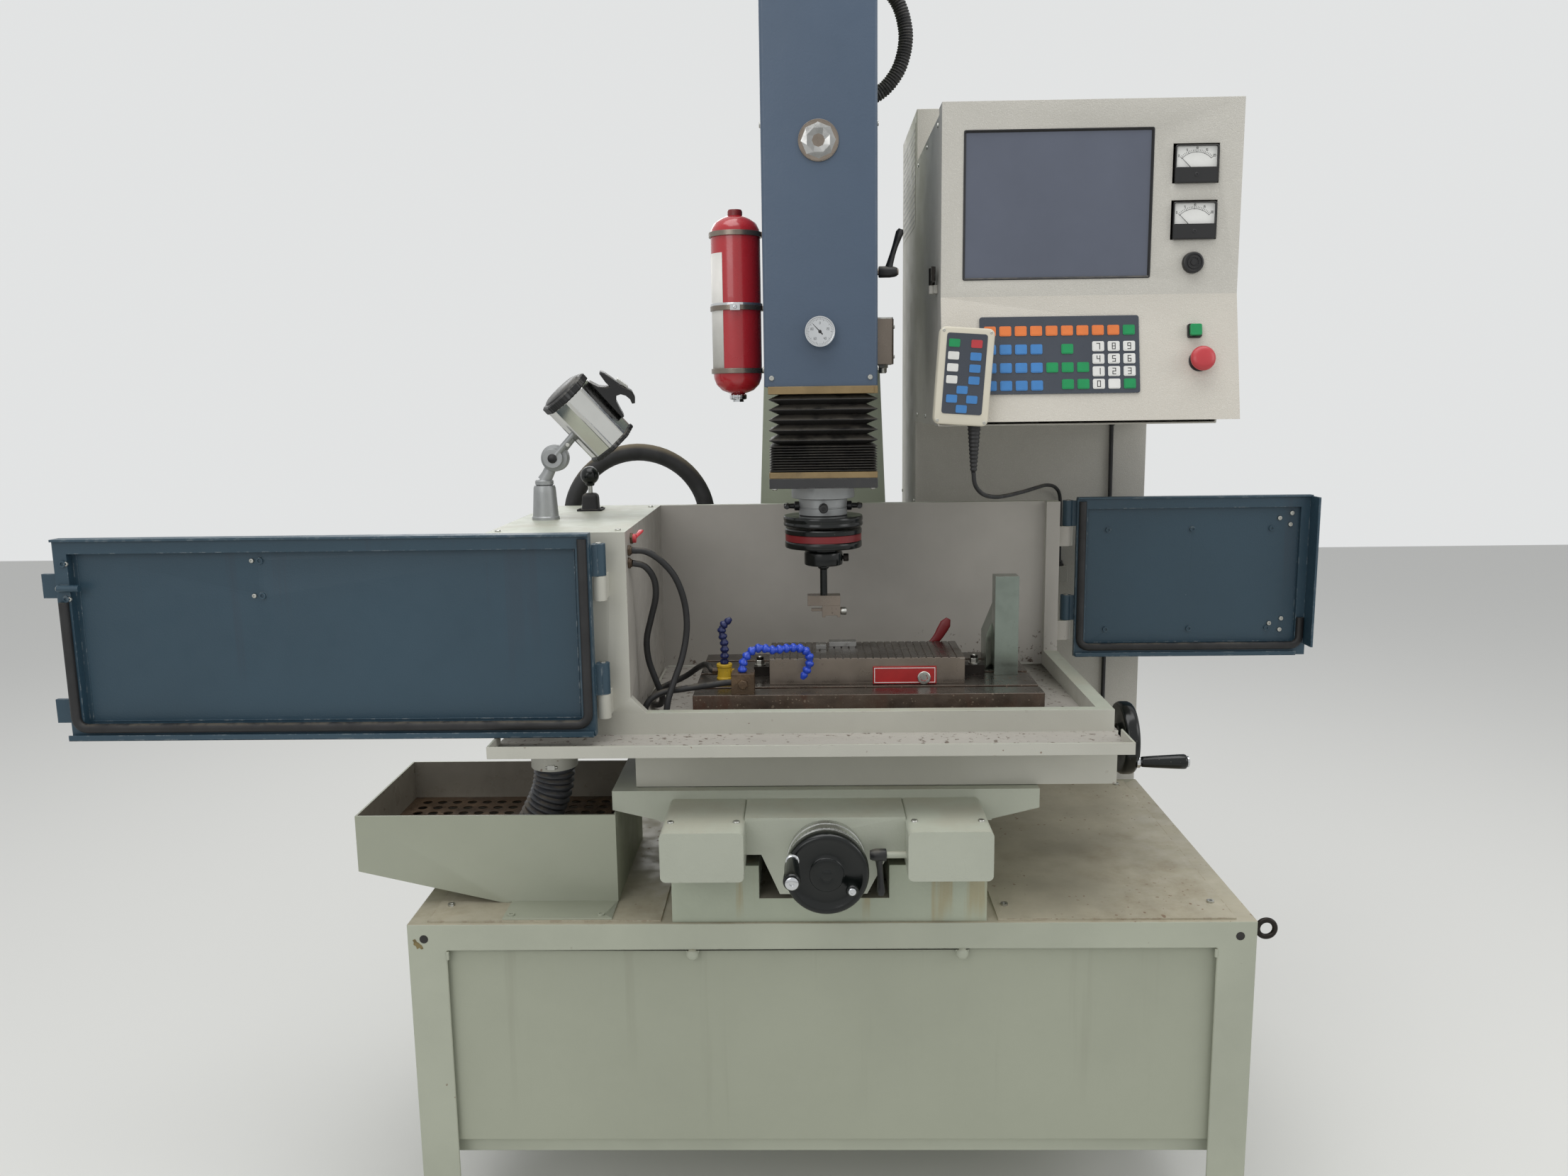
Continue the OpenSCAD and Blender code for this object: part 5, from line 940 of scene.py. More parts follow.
def saddleDetails():
    bm = bmesh.new()
    for k in range(2):   # scale rings on the drum behind the wheel
        addLathe(bm, (-4, -10 - 20 * k, 106), toFront, [(54, 0), (57, 0.6), (57, 11.4), (54, 12)], 64)
    for i in range(60):   # dial divisions
        angle = pi * i / 30
        long = 6 if i % 5 == 0 else 3.5
        spot = Vector((-4 + 57.1 * cos(angle), -41.6, 106 + 57.1 * sin(angle)))
        before = len(bm.faces)
        bmesh.ops.create_cube(bm, size=1, matrix=Matrix.Translation(spot + Vector((0, long / 2, 0)))
            @ Matrix.Rotation(-angle, 4, "Y") @ Matrix.Diagonal((0.5, long, 0.5, 1)))
        tinted(bm, before, 1)
    piece("scaleDrum", bm, "saddle", ["brightAluminium", "printAndShadeBlack"], bevel=0.3)
    bm = bmesh.new()
    for x in (-228, -133, 123, 219):   # cover screws
        addScrew(bm, (x, -22, 164.6), toTop, 5, 3)
    piece("coverScrews", bm, "saddle", ["zincScrew"])


saddleDetails()


def wheelPiece(name, node, place):   # drawn with its face at z = 0, looking along its shaft
    bm = bmesh.new()
    addLathe(bm, (0, 0, -25), toTop, [(0, 3), (22, 3), (23, 0.6), (24, 0), (44, 4), (55, 1.2), (57.6, 2.2),
        (59.4, 5), (60, 9), (60, 17), (59.2, 21), (57, 24), (54, 25), (50, 24.4), (48.5, 23.2), (26, 22.2),
        (24.6, 23), (24, 24.2), (22, 24.8), (10, 25), (9, 24.6), (7.4, 24.6), (6.8, 25), (0, 25)], 72)
    addLathe(bm, (35, -17, -2), toTop, [(6.4, 0), (6.4, 6), (5, 8), (8.4, 11), (9, 14.4), (7.6, 18),
        (5.2, 19.6)], 32)
    addLathe(bm, (35, -17, 17.3), toTop, [(5.3, 0), (5.3, 0.5), (4.2, 1.2), (2.6, 1.3), (2.4, 0.4), (0, 0.3)],
        24, 1, (3, 4))
    addRod(bm, (0, 0, -160), (0, 0, -24), 10, 1, 24)
    addLathe(bm, (-48, 22, -4), toTop, [(9.5, 0), (9.5, 5), (7, 7), (4, 7.6), (4, 80), (9, 81), (9, 83.4),
        (7.6, 84.4), (3.4, 84.6), (3, 82.4), (0, 82.2)], 32, 1, (8, 9))
    turned(bm, place)
    piece(name, bm, bodyOf[node], ["phenolic", "chromed"], (node,), smooth=38)


def gripPiece(name, node, place):
    bm = bmesh.new()
    profile = [(7.4, 0), (8.2, 0.8), (8.6, 3), (9.6, 18), (10.8, 40), (11.8, 58), (12.1, 68), (11.6, 70.6),
        (10, 72), (4.2, 72)]
    addLathe(bm, (0, 0, 0.2), toTop, [(4.2, 0)] + profile, 36)
    turned(bm, place)
    piece(name, bm, bodyOf[node], ["phenolic"], (node,), smooth=40)


faceY = Matrix.Translation((-4, -75, 106)) @ Matrix.Rotation(radians(90), 4, "X")
faceX = Matrix.Translation((504, 245, 208)) @ Matrix.Rotation(radians(90), 4,
    "Y") @ Matrix.Rotation(radians(146), 4, "Z")
wheelPiece("frontWheel", "y_wheel", faceY)
gripPiece("frontGrip", "y_grip", faceY @ Matrix.Translation((-48, 22, 4)))
wheelPiece("sideWheel", "x_wheel", faceX)
gripPiece("sideGrip", "x_grip", faceX @ Matrix.Translation((-48, 22, 4)))


def clampLever(name, node, hub, axis, tip, reach, thick=5):   # die-cast lever with a fluted hub and a screw
    hub, axis, tip = Vector(hub), Vector(axis).normalized(), Vector(tip)
    bm = bmesh.new()
    addLathe(bm, hub - axis * reach / 2, axis, [(5.4, 0), (8.4, 0.4), (9, 2), (9, reach * 0.6),
        (8, reach * 0.85), (6.4, reach), (4.6, reach), (4.4, reach - 2), (0, reach - 2)], 28)
    run = tip - hub
    side = run.cross(axis).normalized()
    path = [hub + run * t + side * (3 * sin(pi * t)) + axis * (4 * t * t)
        for t in (0.05, 0.2, 0.4, 0.6, 0.8, 0.92, 1.0)]
    girth = (1.25, 1.0, 0.85, 0.85, 1.05, 1.2, 0.7)
    addSweep(bm, path, circle(thick, 16, 0.8), swell=lambda i, count: girth[i])
    piece(name, bm, bodyOf[node], ["blackPlastic"], (node,), smooth=45)


clampLever("frontClampLever", "y_lever", (71, -25, 116), (-1, 0, 0), (79, -25, 54), 24, 5.6)
print("saddle made")


# table and what stands on it
def tableFaces(p, n):
    if p.x > 342:
        return 2
    return 1 if n.z > 0.7 and p.z > 306 else 0


softened("table", "workTable", ["tableIron", "tableTop", "castPaint"], 1.2, tableFaces)
softened("magnetic_chuck", "magneticChuck", ["chuckSteel", "tableTop"], 0.6,
         lambda p, n: 1 if n.z > 0.8 and p.z > 350 else 0)


def fittingFaces(p, _):
    if 76 < p.x < 180 and p.y < 218 and p.z < 340:
        return 1
    if p.x > 270 and p.z > 308:
        return 2
    return 3 if p.z > 351 else 0


softened("table_fittings", "tableFittings", ["blackedSteel", "plateRed", "polishedBlock",
    "groundSteel"], 1.2, fittingFaces)


def chuckDetails():
    bm = bmesh.new()
    for a, b in (((79, 212.6, 335.4), (177, 213.2, 336.4)), ((79, 212.6, 311.8), (177, 213.2, 312.8)),
                 ((79, 212.6, 312.8), (80, 213.2, 335.4)), ((176, 212.6, 312.8), (177, 213.2, 335.4))):
        addBox(bm, a, b)   # the plate's printed border
    piece("plateBorder", bm, "table", ["dialWhite"])
    bm = bmesh.new()
    addLathe(bm, (159, 213.4, 320), toFront, [(10.5, 0), (10.5, 2.4), (9.4, 3.2), (6.4, 3.2), (6.2, -3.6),
        (0, -3.8)], 32, 0, (3, 4))
    for x in (-90, -50, 225):
        addRod(bm, (x if x < 0 else x - 0.2, 217.2, 350), (x + (8 if x < 0 else -8), 217.2, 350), 0.4, 0, 8)
    for x in (-108, 250):   # studs, washers and nuts of the two clamps
        addLathe(bm, (x, 291, 324.8), toTop, [(9, 0), (9, 2), (7.4, 2.2), (7.4, 9), (6.6, 9.6), (4, 9.8),
            (4, 15), (3.2, 15.8), (0, 15.8)], 24, 0, (2, 3, 4))
    piece("chuckStuds", bm, "table", ["zincScrew"], smooth=30)


chuckDetails()


def chuckHandle():   # tongue-shaped lever curving up
    bm = bmesh.new()
    spots = [(180, 352, 342), (188, 351.5, 348), (196, 351, 358), (203, 350.6, 370), (209, 350.6, 381),
        (214, 350.6, 390)]
    girth = (0.75, 0.85, 0.95, 1.1, 1.15, 0.5)
    addSweep(bm, smoothPath(spots, 3), circle(8.2, 18, 0.42), up=(0, 1, 0),
        swell=lambda i, count: girth[min(5, i // 3)] * (1 - i % 3 / 3)
        + girth[min(5, i // 3 + 1)] * (i % 3 / 3))
    addLathe(bm, (180, 345.5, 340), (0, 1, 0), [(4.2, 0), (9, 0), (9, 9), (8, 10), (0, 10)], 28)
    piece("chuckHandle", bm, bodyOf["chuck_lever"], ["darkRed"], ("chuck_lever",), smooth=45)


chuckHandle()


def jointedArm(bm, route, radius, tint):   # ball-and-socket coolant pipe
    path = evenPath(smoothPath(route, 6), radius * 1.55)
    for a, b in zip(path, path[1:]):
        length = (b - a).length
        addLathe(bm, a, b - a, [(0, -0.35 * radius), (0.62 * radius, 0), (0.9 * radius, 0.12 * length),
            (radius, 0.34 * length), (0.93 * radius, 0.56 * length), (0.66 * radius, 0.74 * length),
            (0.6 * radius, length * 1.02), (0, length * 1.05)], 20, tint)
    ahead = (path[-1] - path[-2]).normalized()
    addLathe(bm, path[-1], ahead, [(0.62 * radius, -2), (0.8 * radius, 0), (0.8 * radius, 3),
        (0.45 * radius, 9), (0.3 * radius, 9), (0.28 * radius, 2), (0, 2)], 20, tint)


def flushingDetails():
    z = 309
    bm = bmesh.new()
    arm = [(-131, 168, z + 33), (-131, 168, z + 45), (-121, 169, z + 63), (-103, 170, z + 72),
        (-83, 171, z + 67), (-56, 180, z + 69), (-31, 190, z + 63), (-24, 190, z + 44), (-33, 190, z + 24)]
    jointedArm(bm, arm, 7.4, 0)
    jointedArm(bm, [(-166, 260, z + 26), (-165, 255, z + 42), (-165, 255, z + 64), (-170, 255, z + 86),
        (-160, 255, z + 97)], 7.4, 1)
    piece("jointedPipes", bm, "table", ["blueJoint", "navyJoint"], ("flushing_set",),
        smooth=50)
    bm = bmesh.new()
    addBox(bm, (-148, 152, z), (-112, 185, z + 33))
    addLathe(bm, (-130, 151.8, z + 17), toFront, [(8, 0), (8, 4), (6, 5), (0, 5)], 24, 0, (0, 1))
    for p in ((-292, 122, 543), (-292, 120, 524), (-298, 150, 558)):
        addLathe(bm, (-298, p[1], p[2]), toRight, [(9, 0), (9, 3), (7.5, 4), (6.4, 4), (6.2, 6), (0, 6)], 24,
            0, (0, 1))
    for x, y in ((-250, 138), (-284, 150)):
        addLathe(bm, (x, y, 267.5), toTop, [(9, 0), (9, 6), (7.6, 7), (6.4, 7), (6, 12.4), (0, 12.4)], 24, 0,
            (0, 1))
    addRod(bm, (-186, 262, z + 13), (-176, 262, z + 13), 6.4, 0, 6)
    piece("hoseManifold", bm, "table", ["sumpSludge"], bevel=1.2, smooth=40)
    bm = bmesh.new()
    addLathe(bm, (-166, 262, z), toTop, [(13, 0), (13, 3), (12, 4), (12, 20), (13, 21), (13, 25), (12, 26),
        (0, 26)], 32)
    addBox(bm, (-155, 256, z + 6), (-150, 268, z + 16))
    piece("valveBase", bm, "table", ["yellowPaint"], bevel=0.6, smooth=40)
    bm = bmesh.new()
    for x, y0 in ((-475, 531), (-215, 534)):   # elbows behind the tank
        addSweep(bm, smoothPath([(x, y0, 410), (x, 560, 410), (x, 577, 414), (x, 585, 426), (x, 585, 434)],
            5), circle(17.2, 24), first=(0, 1, 0), last=toTop)
        addLathe(bm, (x, 585, 430), toTop, [(16.5, 0), (19.6, 0.4), (19.6, 11), (16.2, 11.4)], 32)
        addLathe(bm, (x, y0, 410), (0, 1, 0), [(24, 0), (24, 5), (19, 6), (19, 12), (17.2, 12.6)], 32)
    piece("supplyElbows", bm, "table", ["castAluminium"], smooth=45)


flushingDetails()
print("table made")


# work tank
def tankFaces(p, n):
    if p.x < -300 and p.x > -506:
        return 1 if p.z > 570 and n.z > 0.8 else 0
    inward = (n.y < -0.8 and p.y > 480) or (n.x > 0.8 and p.x < -290 and p.z > 265) or (n.z > 0.8
        and p.z < 270 and p.x > -297)
    if inward and p.z > 262:
        return 2
    return 1 if n.z > 0.8 and p.z > 270 else 0


softened("tank", "workTank", ["tankPaint", "coverPaint", "tankInside"], 1.6, tankFaces)


def tankDetails():
    random.seed(7)
    bm = bmesh.new()
    x = -270.0
    while x < 400:   # paint drops frozen under the front sill
        drop = random.uniform(1.2, 2.6)
        if abs(x) > 12:
            addLathe(bm, (x, 99 + random.uniform(0, 2), 262.4), (0, 0, -1),
                [(drop, 0), (drop * 0.8, 1.4), (drop * 0.55, 2.6), (0, 3.4)], 12)
        x += random.uniform(14, 60)
    addSweep(bm, [(-294.5, 99 + 10 * k, 268.5) for k in range(42)], circle(2.2, 8),
        swell=lambda i, c: 1 + 0.15 * (i % 2))
    addSweep(bm, [(-292 + 14 * k, 530.5, 268.6) for k in range(50)], circle(2.0, 6),
        swell=lambda i, c: 1 + 0.15 * (i % 2))
    piece("tankBeads", bm, "table", ["tankPaint"], smooth=60)
    bm = bmesh.new()
    for x0, y0, zs in ((-332, 62.5, (299, 477)), (459, 557, (310, 488))):   # bright caps of the hinge pins
        for z in zs:
            addLathe(bm, (x0, y0, z + 84), toTop, [(4.6, 0), (4.6, 1.2), (3, 2.2), (0, 2.4)], 20)
    piece("pinCaps", bm, "table", ["zincScrew"])
    bm = bmesh.new()
    for x, z in ((-490, 300), (-490, 530)):
        addScrew(bm, (x, 97, z), toFront, 4.5, 2.6)
    for x in (-500, -306):
        for y in (120, 500):
            addScrew(bm, (x + (6 if x < -400 else -6), y, 574), toTop, 4.5, 2.6)
    piece("boxScrews", bm, "table", ["zincScrew"])


tankDetails()


def gasketPiece(name, node, left, right, low, high, back, depth, leftTop,
    rightTop):   # rounded rubber seal bent round the door's corners
    bm = bmesh.new()
    r = 16.0
    inset = 7.0
    l, b = left + inset, low + inset
    route = [(l, high if leftTop is None else leftTop)]
    route += [(l, b + r)] + [(l + r - r * cos(a), b + r - r * sin(a)) for a in (0.4, 0.8, 1.2)] + [(l + r, b)]
    right -= inset
    route += [(right - r, b)] + [(right - r + r * sin(a), b + r - r * cos(a))
        for a in (0.4, 0.8, 1.2)] + [(right, b + r)]
    route += [(right, high if rightTop is None else rightTop)]
    section = [(-6.6, 0.0), (-6.9, -2.6), (-5.6, -depth + 1.6), (-3, -depth + 0.3), (0, -depth),
        (3, -depth + 0.3), (5.6, -depth + 1.6), (6.9, -2.6), (6.6, 0.0)]
    rings = []
    for i, (x, z) in enumerate(route):
        ahead = Vector((route[min(i + 1, len(route) - 1)][0] - route[max(i - 1, 0)][0], 0,
            route[min(i + 1, len(route) - 1)][1] - route[max(i - 1, 0)][1])).normalized()
        side = Vector((ahead.z, 0, -ahead.x))
        rings.append([Vector((x, back + v, z)) + side * u for u, v in section])
    addRings(bm, rings)
    piece(name, bm, bodyOf[node], ["rubber"], (node,), smooth=50)


gasketPiece("frontSeal", "front_gasket", -1121, -344.5, 289, 571, 36.5, 8, 486, None)
gasketPiece("sideSeal", "side_gasket", 476, 899, 290, 571, 541.5, 7, None, 350)


softened("front_door", "frontDoor", ["doorBlue"], 1.0)
softened("side_door", "sideDoor", ["doorBlue"], 1.0)


def doorDetails():
    bm = bmesh.new()
    addBox(bm, (-1126, 29.2, 277.9), (-343.4, 40, 279.3))   # drip flange with its turned-up lip
    addBox(bm, (-1126, 29.2, 277.9), (-343.4, 30.6, 286.6))
    # folded top lip
    addPrism(bm, [(-1123.8, 575.4), (-1123.8, 579), (-342, 579), (-342, 575.4)], "y", 30.5, 54.5)
    for x in (-1098, -366):   # fold lines inside the panel
        addPrism(bm, roundRect(x, 430, 1.6, 250, 0.7, 2), "y", 49.6, 50.6)
    addPrism(bm, roundRect(-732, 303, 736, 1.6, 0.7, 2), "y", 49.6, 50.6)
    for z in (299, 477):   # knuckle leaves
        addPrism(bm, roundRect(-346, z + 60, 12, 38, 3, 3), "y", 46, 50)
    piece("frontDoorFolds", bm, bodyOf["front_door"], ["doorBlue"], bevel=0.7)
    bm = bmesh.new()
    for x, z in ((-839, 543), (-839, 491), (-1105, 543), (-1105, 491)):
        addScrew(bm, (x, 50.4 if x > -1000 else 36.4, z), toFront, 3.6, 2.4)
    addLathe(bm, (-1121, 33.4, 507), toRight, [(4.0, 0), (4.6, 1), (4.6, 26), (3.8, 28), (0, 28.4)], 24)
    piece("frontDoorScrews", bm, bodyOf["front_door"], ["zincScrew"])
    bm = bmesh.new()
    addBox(bm, (475.4, 536.2, 278.6), (886, 545, 280))
    addBox(bm, (475.4, 536.2, 278.6), (886, 537.6, 286.6))
    addPrism(bm, [(474, 575.4), (474, 579), (903.6, 579), (903.6, 575.4)], "y", 537, 553.5)
    addPrism(bm, roundRect(688, 304, 390, 1.6, 0.7, 2), "y", 548.7, 549.7)
    piece("sideDoorFolds", bm, bodyOf["side_door"], ["doorBlue"], bevel=0.7)
    bm = bmesh.new()
    for cx, cz in ((848, 536), (838, 338)):
        for dx, dz in ((0, 0), (22, 9), (20, -12)):
            addScrew(bm, (cx + dx, 549.4, cz + dz), toFront, 4.4, 3)
    piece("sideDoorScrews", bm, bodyOf["side_door"], ["zincScrew"])


doorDetails()
print("tank and doors made")


# lamp, pull rod and valve on the left box
def lampPieces():
    bm = bmesh.new()
    addLathe(bm, (-460, 300, 574), toTop, [(22.5, 0), (22.5, 4), (21, 6), (18.6, 44), (18, 52), (16.6, 56),
        (8.2, 56), (8.2, 27)], 40)
    piece("lampFoot", bm, bodyOf["lamp_base"], ["castAluminium"], ("lamp_base",), smooth=30)
    elbow, arm0 = Vector((-440, 300, 675)), Vector((-460, 300, 636))
    bm = bmesh.new()
    addRod(bm, (-460, 300, 604), (-460, 300, 632), 7.8)
    addLathe(bm, (-460, 300, 630.4), toTop, [(13, 0), (15, 1.4), (15, 7), (13, 9), (9, 9.4)], 32)
    addSweep(bm, [arm0 + Vector((0, 0, 2)), arm0.lerp(elbow, 0.3), arm0.lerp(elbow, 0.7), elbow],
        circle(10, 20), swell=lambda i, c: (1.12, 1.0, 0.92, 0.98)[i])
    addLathe(bm, elbow - Vector((0, 12, 0)), (0, 1, 0), [(19, 0), (21.4, 1.4), (22, 3), (22, 21),
        (21.4, 22.6), (19, 24)], 40)
    addLathe(bm, elbow - Vector((0, 24, 0)), (0, 1, 0), [(5.8, 0), (5.8, 48)], 24)
    piece("lampArm", bm, bodyOf["lamp_arm"], ["castAluminium"], ("lamp_arm",), smooth=35)
    head, axis = Vector((-382, 300, 738)), Vector((0.628, 0.259, -0.734)).normalized()
    side = axis.cross(Vector((0, 1, 0))).normalized()
    lift = side.cross(axis)

    def around(t, radius, angle, ripple=0.0):
        reach = radius * cos(pi / 8) / cos(angle % (pi / 4) - pi / 8) + ripple
        return head + axis * t + (side * cos(angle) + lift * sin(angle)) * reach

    bm = bmesh.new()
    outline = []
    for i in range(8):   # eight flats with narrow chamfers between them
        for spread in (-0.34, -0.30, 0.30, 0.34):
            outline.append(pi / 4 * i + pi / 8 + spread)
    rings = []
    for t, radius in ((-50, 40.5), (-49.5, 42.5), (-48, 43), (50, 43), (51, 42.5), (51, 39), (-40, 39)):
        rings.append([around(t, radius - (0.9 if i % 4 in (1, 2) else 0.0), a)
            for i, a in enumerate(outline)])
    addRings(bm, rings)
    piece("lampShell", bm, bodyOf["lamp_head"], ["mirrorSteel"], ("lamp_head",), smooth=8)
    bm = bmesh.new()
    steps = 128
    for low, high, radius in ((-62, -49, 44.6), (50, 58, 44.8)):   # toothed end caps
        rings = []
        for t, grow in ((low, -3.5), (low + 2, 0), (high - 1.5, 0), (high, -1.2)):
            rings.append([around(t, radius + grow, 2 * pi * i / steps, 0.9 if (i // 2) % 2 else -0.2)
                for i in range(steps)])
        if low > 0:
            rings += [[around(t, r, 2 * pi * i / steps) for i in range(steps)]
                for t, r in ((high, 38), (high - 6, 37))]
        addRings(bm, rings)
    addLathe(bm, head - axis * 66, axis, [(0, 0), (30, 0), (34, 1.6), (36, 5)], 40)
    piece("lampCaps", bm, bodyOf["lamp_head"], ["blackPlastic"], smooth=28)
    bm = bmesh.new()
    addLathe(bm, head + axis * 49, axis, [(0, -1), (36.5, -1), (36.5, 1), (0, 1)], 48)
    piece("lampGlass", bm, bodyOf["lamp_head"], ["dialWhite"], smooth=30)
    bm = bmesh.new()
    for y in (-24, 12.3):   # fork
        addLathe(bm, elbow + Vector((0, y, 0)), (0, 1, 0), [(6.2, 0), (15, 0), (16, 1), (16, 10.6),
            (15, 11.7), (6.2, 11.7)], 32)
        a, b = elbow + Vector((0, y + 6, 0)), head + Vector((-18, y + 6, -18))
        b.y = a.y
        addSweep(bm, [a, a.lerp(b, 0.5), b], circle(6.6, 16, 0.8), swell=lambda i, c: (1.15, 0.95, 0.85)[i])
    piece("lampFork", bm, bodyOf["lamp_head"], ["castAluminium"], smooth=35)
    bm = bmesh.new()
    addLathe(bm, elbow + Vector((0, -24, 0)), toFront, [(7.6, 0), (7.6, 1.4), (6.4, 2.4), (0, 2.6)], 28)
    # along, outward
    wing = [(-44, 43), (-30, 48), (-21, 56), (-17, 63), (-28, 62), (-43, 64), (-44, 68), (-38, 70.5),
        (-22, 74), (-8, 76), (6, 81), (13, 83), (23, 80.5), (30, 74), (28, 70.5), (21, 73), (12, 72), (4, 67),
        (1, 60), (8, 53), (22, 49), (34, 46), (34, 42)]
    edges = ((-11, 1.6), (-9.4, 0), (9.4, 0), (11, 1.6))
    middle = Vector((-6, 62))
    rings = []
    for across, cut in edges:
        ring = []
        for t, out in wing:
            pull = (middle - Vector((t, out))).normalized() * cut
            ring.append(head + axis * (t + pull.x) + side * (out + pull.y) + lift * across)
        rings.append(ring)
    addRings(bm, rings)
    piece("lampHandle", bm, bodyOf["lamp_head"], ["blackPlastic"], smooth=45)
    bm = bmesh.new()
    addRings(bm, [[head + axis * t + side * out + lift * across
        for t, out in ((-17, 76.5), (4, 80.5), (3, 84), (-18, 80))] for across in (-7, 7)])
    addRod(bm, elbow + Vector((26, -19, 22)), elbow + Vector((26, -26, 22)), 3.4)
    piece("lampPlate", bm, bodyOf["lamp_head"], ["zincScrew"], bevel=0.6)


lampPieces()


def pullRodPieces():
    bm = bmesh.new()
    rodX, rodY = -412, 450
    addRod(bm, (rodX, rodY, 514), (rodX, rodY, 628), 3.9, 1, 20)
    addBall(bm, (rodX, rodY, 636), 16.4, 0, 40)
    addLathe(bm, (rodX, rodY, 617.4), toTop, [(6, 0), (7.4, 1), (8.4, 5)], 24)
    piece("pullRod", bm, bodyOf["pull_rod"], ["phenolic", "zincScrew"], ("pull_rod",),
        smooth=40)
    bm = bmesh.new()
    addPrism(bm, roundRect(rodX, rodY, 44, 44, 4), "z", 574, 577)
    for dx, dy in ((-17, -17), (17, -17), (17, 17), (-17, 17)):
        addScrew(bm, (rodX + dx, rodY + dy, 577), toTop, 2.6, 1.6)
    rings = []
    for half, z in ((15, 577), (14.4, 579), (14, 596), (13.2, 600), (11.6, 602.6), (9, 604.4), (5, 605.2)):
        rings.append([(x, y, z) for x, y in roundRect(rodX, rodY, 2 * half, 2 * half, half * 0.4, 4)])
    addRings(bm, rings)
    piece("rodBoot", bm, "table", ["rubber"], smooth=40)


pullRodPieces()


def valvePiece():
    bm = bmesh.new()
    addLathe(bm, (-296, 150, 558), toRight, [(3.2, 0), (7, 0), (7, 6), (6, 7), (3.2, 7)], 24)
    path = smoothPath([(-292, 152, 558.5), (-290, 160, 561), (-287, 170, 564), (-286, 180, 566)], 3)
    addSweep(bm, path, circle(4.2, 14, 0.5), swell=lambda i, c: 0.85 + 0.3 * i / c)
    piece("valveHandle", bm, bodyOf["valve_lever"], ["stopRed"], ("valve_lever",), smooth=45)


valvePiece()
print("lamp and rod made")

# column, head and ram
softened("column", "castColumn", ["castPaint"], 3.5, None, 3)
softened("z_drive", "zDrive", ["blackedSteel"], 0.8)
softened("head_cover", "headCover", ["headBlue"], 1.0)


def headDetails():
    bm = bmesh.new()
    for z in (812, 1180, 1530):   # cover screws on both sides
        for x, way in ((-92, -1), (86, 1)):
            for y in (250, 520):
                addScrew(bm, (x, y, z), (way, 0, 0), 4.4, 2.6)
    for x in (-80, 74):
        addScrew(bm, (x, 230, 798), toFront, 4.2, 2.4)
    piece("headScrews", bm, "machine", ["zincScrew"])
    bm = bmesh.new()
    addPrism(bm, [(-86, 773.2), (80, 773.2), (80, 784.8), (-86, 784.8)], "y", 226.6, 229.6)
    piece("headStrip", bm, "machine", ["brassStrip"], bevel=0.6)
    bm = bmesh.new()
    addLathe(bm, (-4, 230, 1152), toFront, [(31, 0), (31, 2.2), (30.2, 3), (29.4, 3), (29, 2.4), (0, 2.4)],
        64)
    rings = []
    # struck facets
    for radius, out, turn in ((28.6, 2.3, 0.0), (28.6, 2.6, 0.0), (19, 5.2, 0.39), (9, 2.8, 0.0)):
        rings.append([(-4 + radius * cos(a), 230 - out, 1152 + radius * sin(a))
            for a in [turn + pi * i / 4 for i in range(8)]])
    addRings(bm, rings)
    piece("headBadge", bm, "machine", ["groundSteel"], smooth=5)
    bm = bmesh.new()
    addPrism(bm, roundRect(102, 365, 30, 66, 3), "z", 893.2, 895.4)
    for y in (338, 392):
        addScrew(bm, (118, y, 880), toRight, 3, 2)
        addScrew(bm, (118, y, 832), toRight, 3, 2)
    addLathe(bm, (102, 365, 820), (0, 0, -1), [(9, 0), (9, 5), (7, 6), (7, 12), (5.6, 14), (0, 14)], 24, 0,
        (0, 1))
    piece("boxFittings", bm, "machine", ["zincScrew"], smooth=35)
    bm = bmesh.new()
    for z in (1512, 1302):   # glands of the conduit
        addLathe(bm, (80, 620, z), toRight, [(20, 0), (20, 5), (18.4, 6.4), (17, 6.6), (17, 16), (16, 17.4),
            (14, 17.8)], 32, 0, (0, 1))
    piece("conduitGlands", bm, "machine", ["blackPlastic"], smooth=35)


headDetails()
softened("head_fittings", "headFittings", ["chuckSteel", "brassStrip"], 0.6, lambda p, n: 1
    if p.z < 786 and p.z > 770 and abs(p.x) < 90 else 0)


# printed divisions on a dial that looks to the front
def gaugeTicks(bm, centre, radius, count, span, start, size, tint, depth):
    for i in range(count):
        angle = radians(start + span * i / (count - (span < 360)))
        long = size * (1.8 if i % 5 == 0 else 1.0)
        spot = Vector((centre[0] + (radius - long / 2) * cos(angle), centre[1],
            centre[2] + (radius - long / 2) * sin(angle)))
        before = len(bm.faces)
        bmesh.ops.create_cube(bm, size=1, matrix=Matrix.Translation(spot) @ Matrix.Rotation(-angle, 4, "Y")
            @ Matrix.Diagonal((long, depth, 0.45, 1)))
        tinted(bm, before, tint)


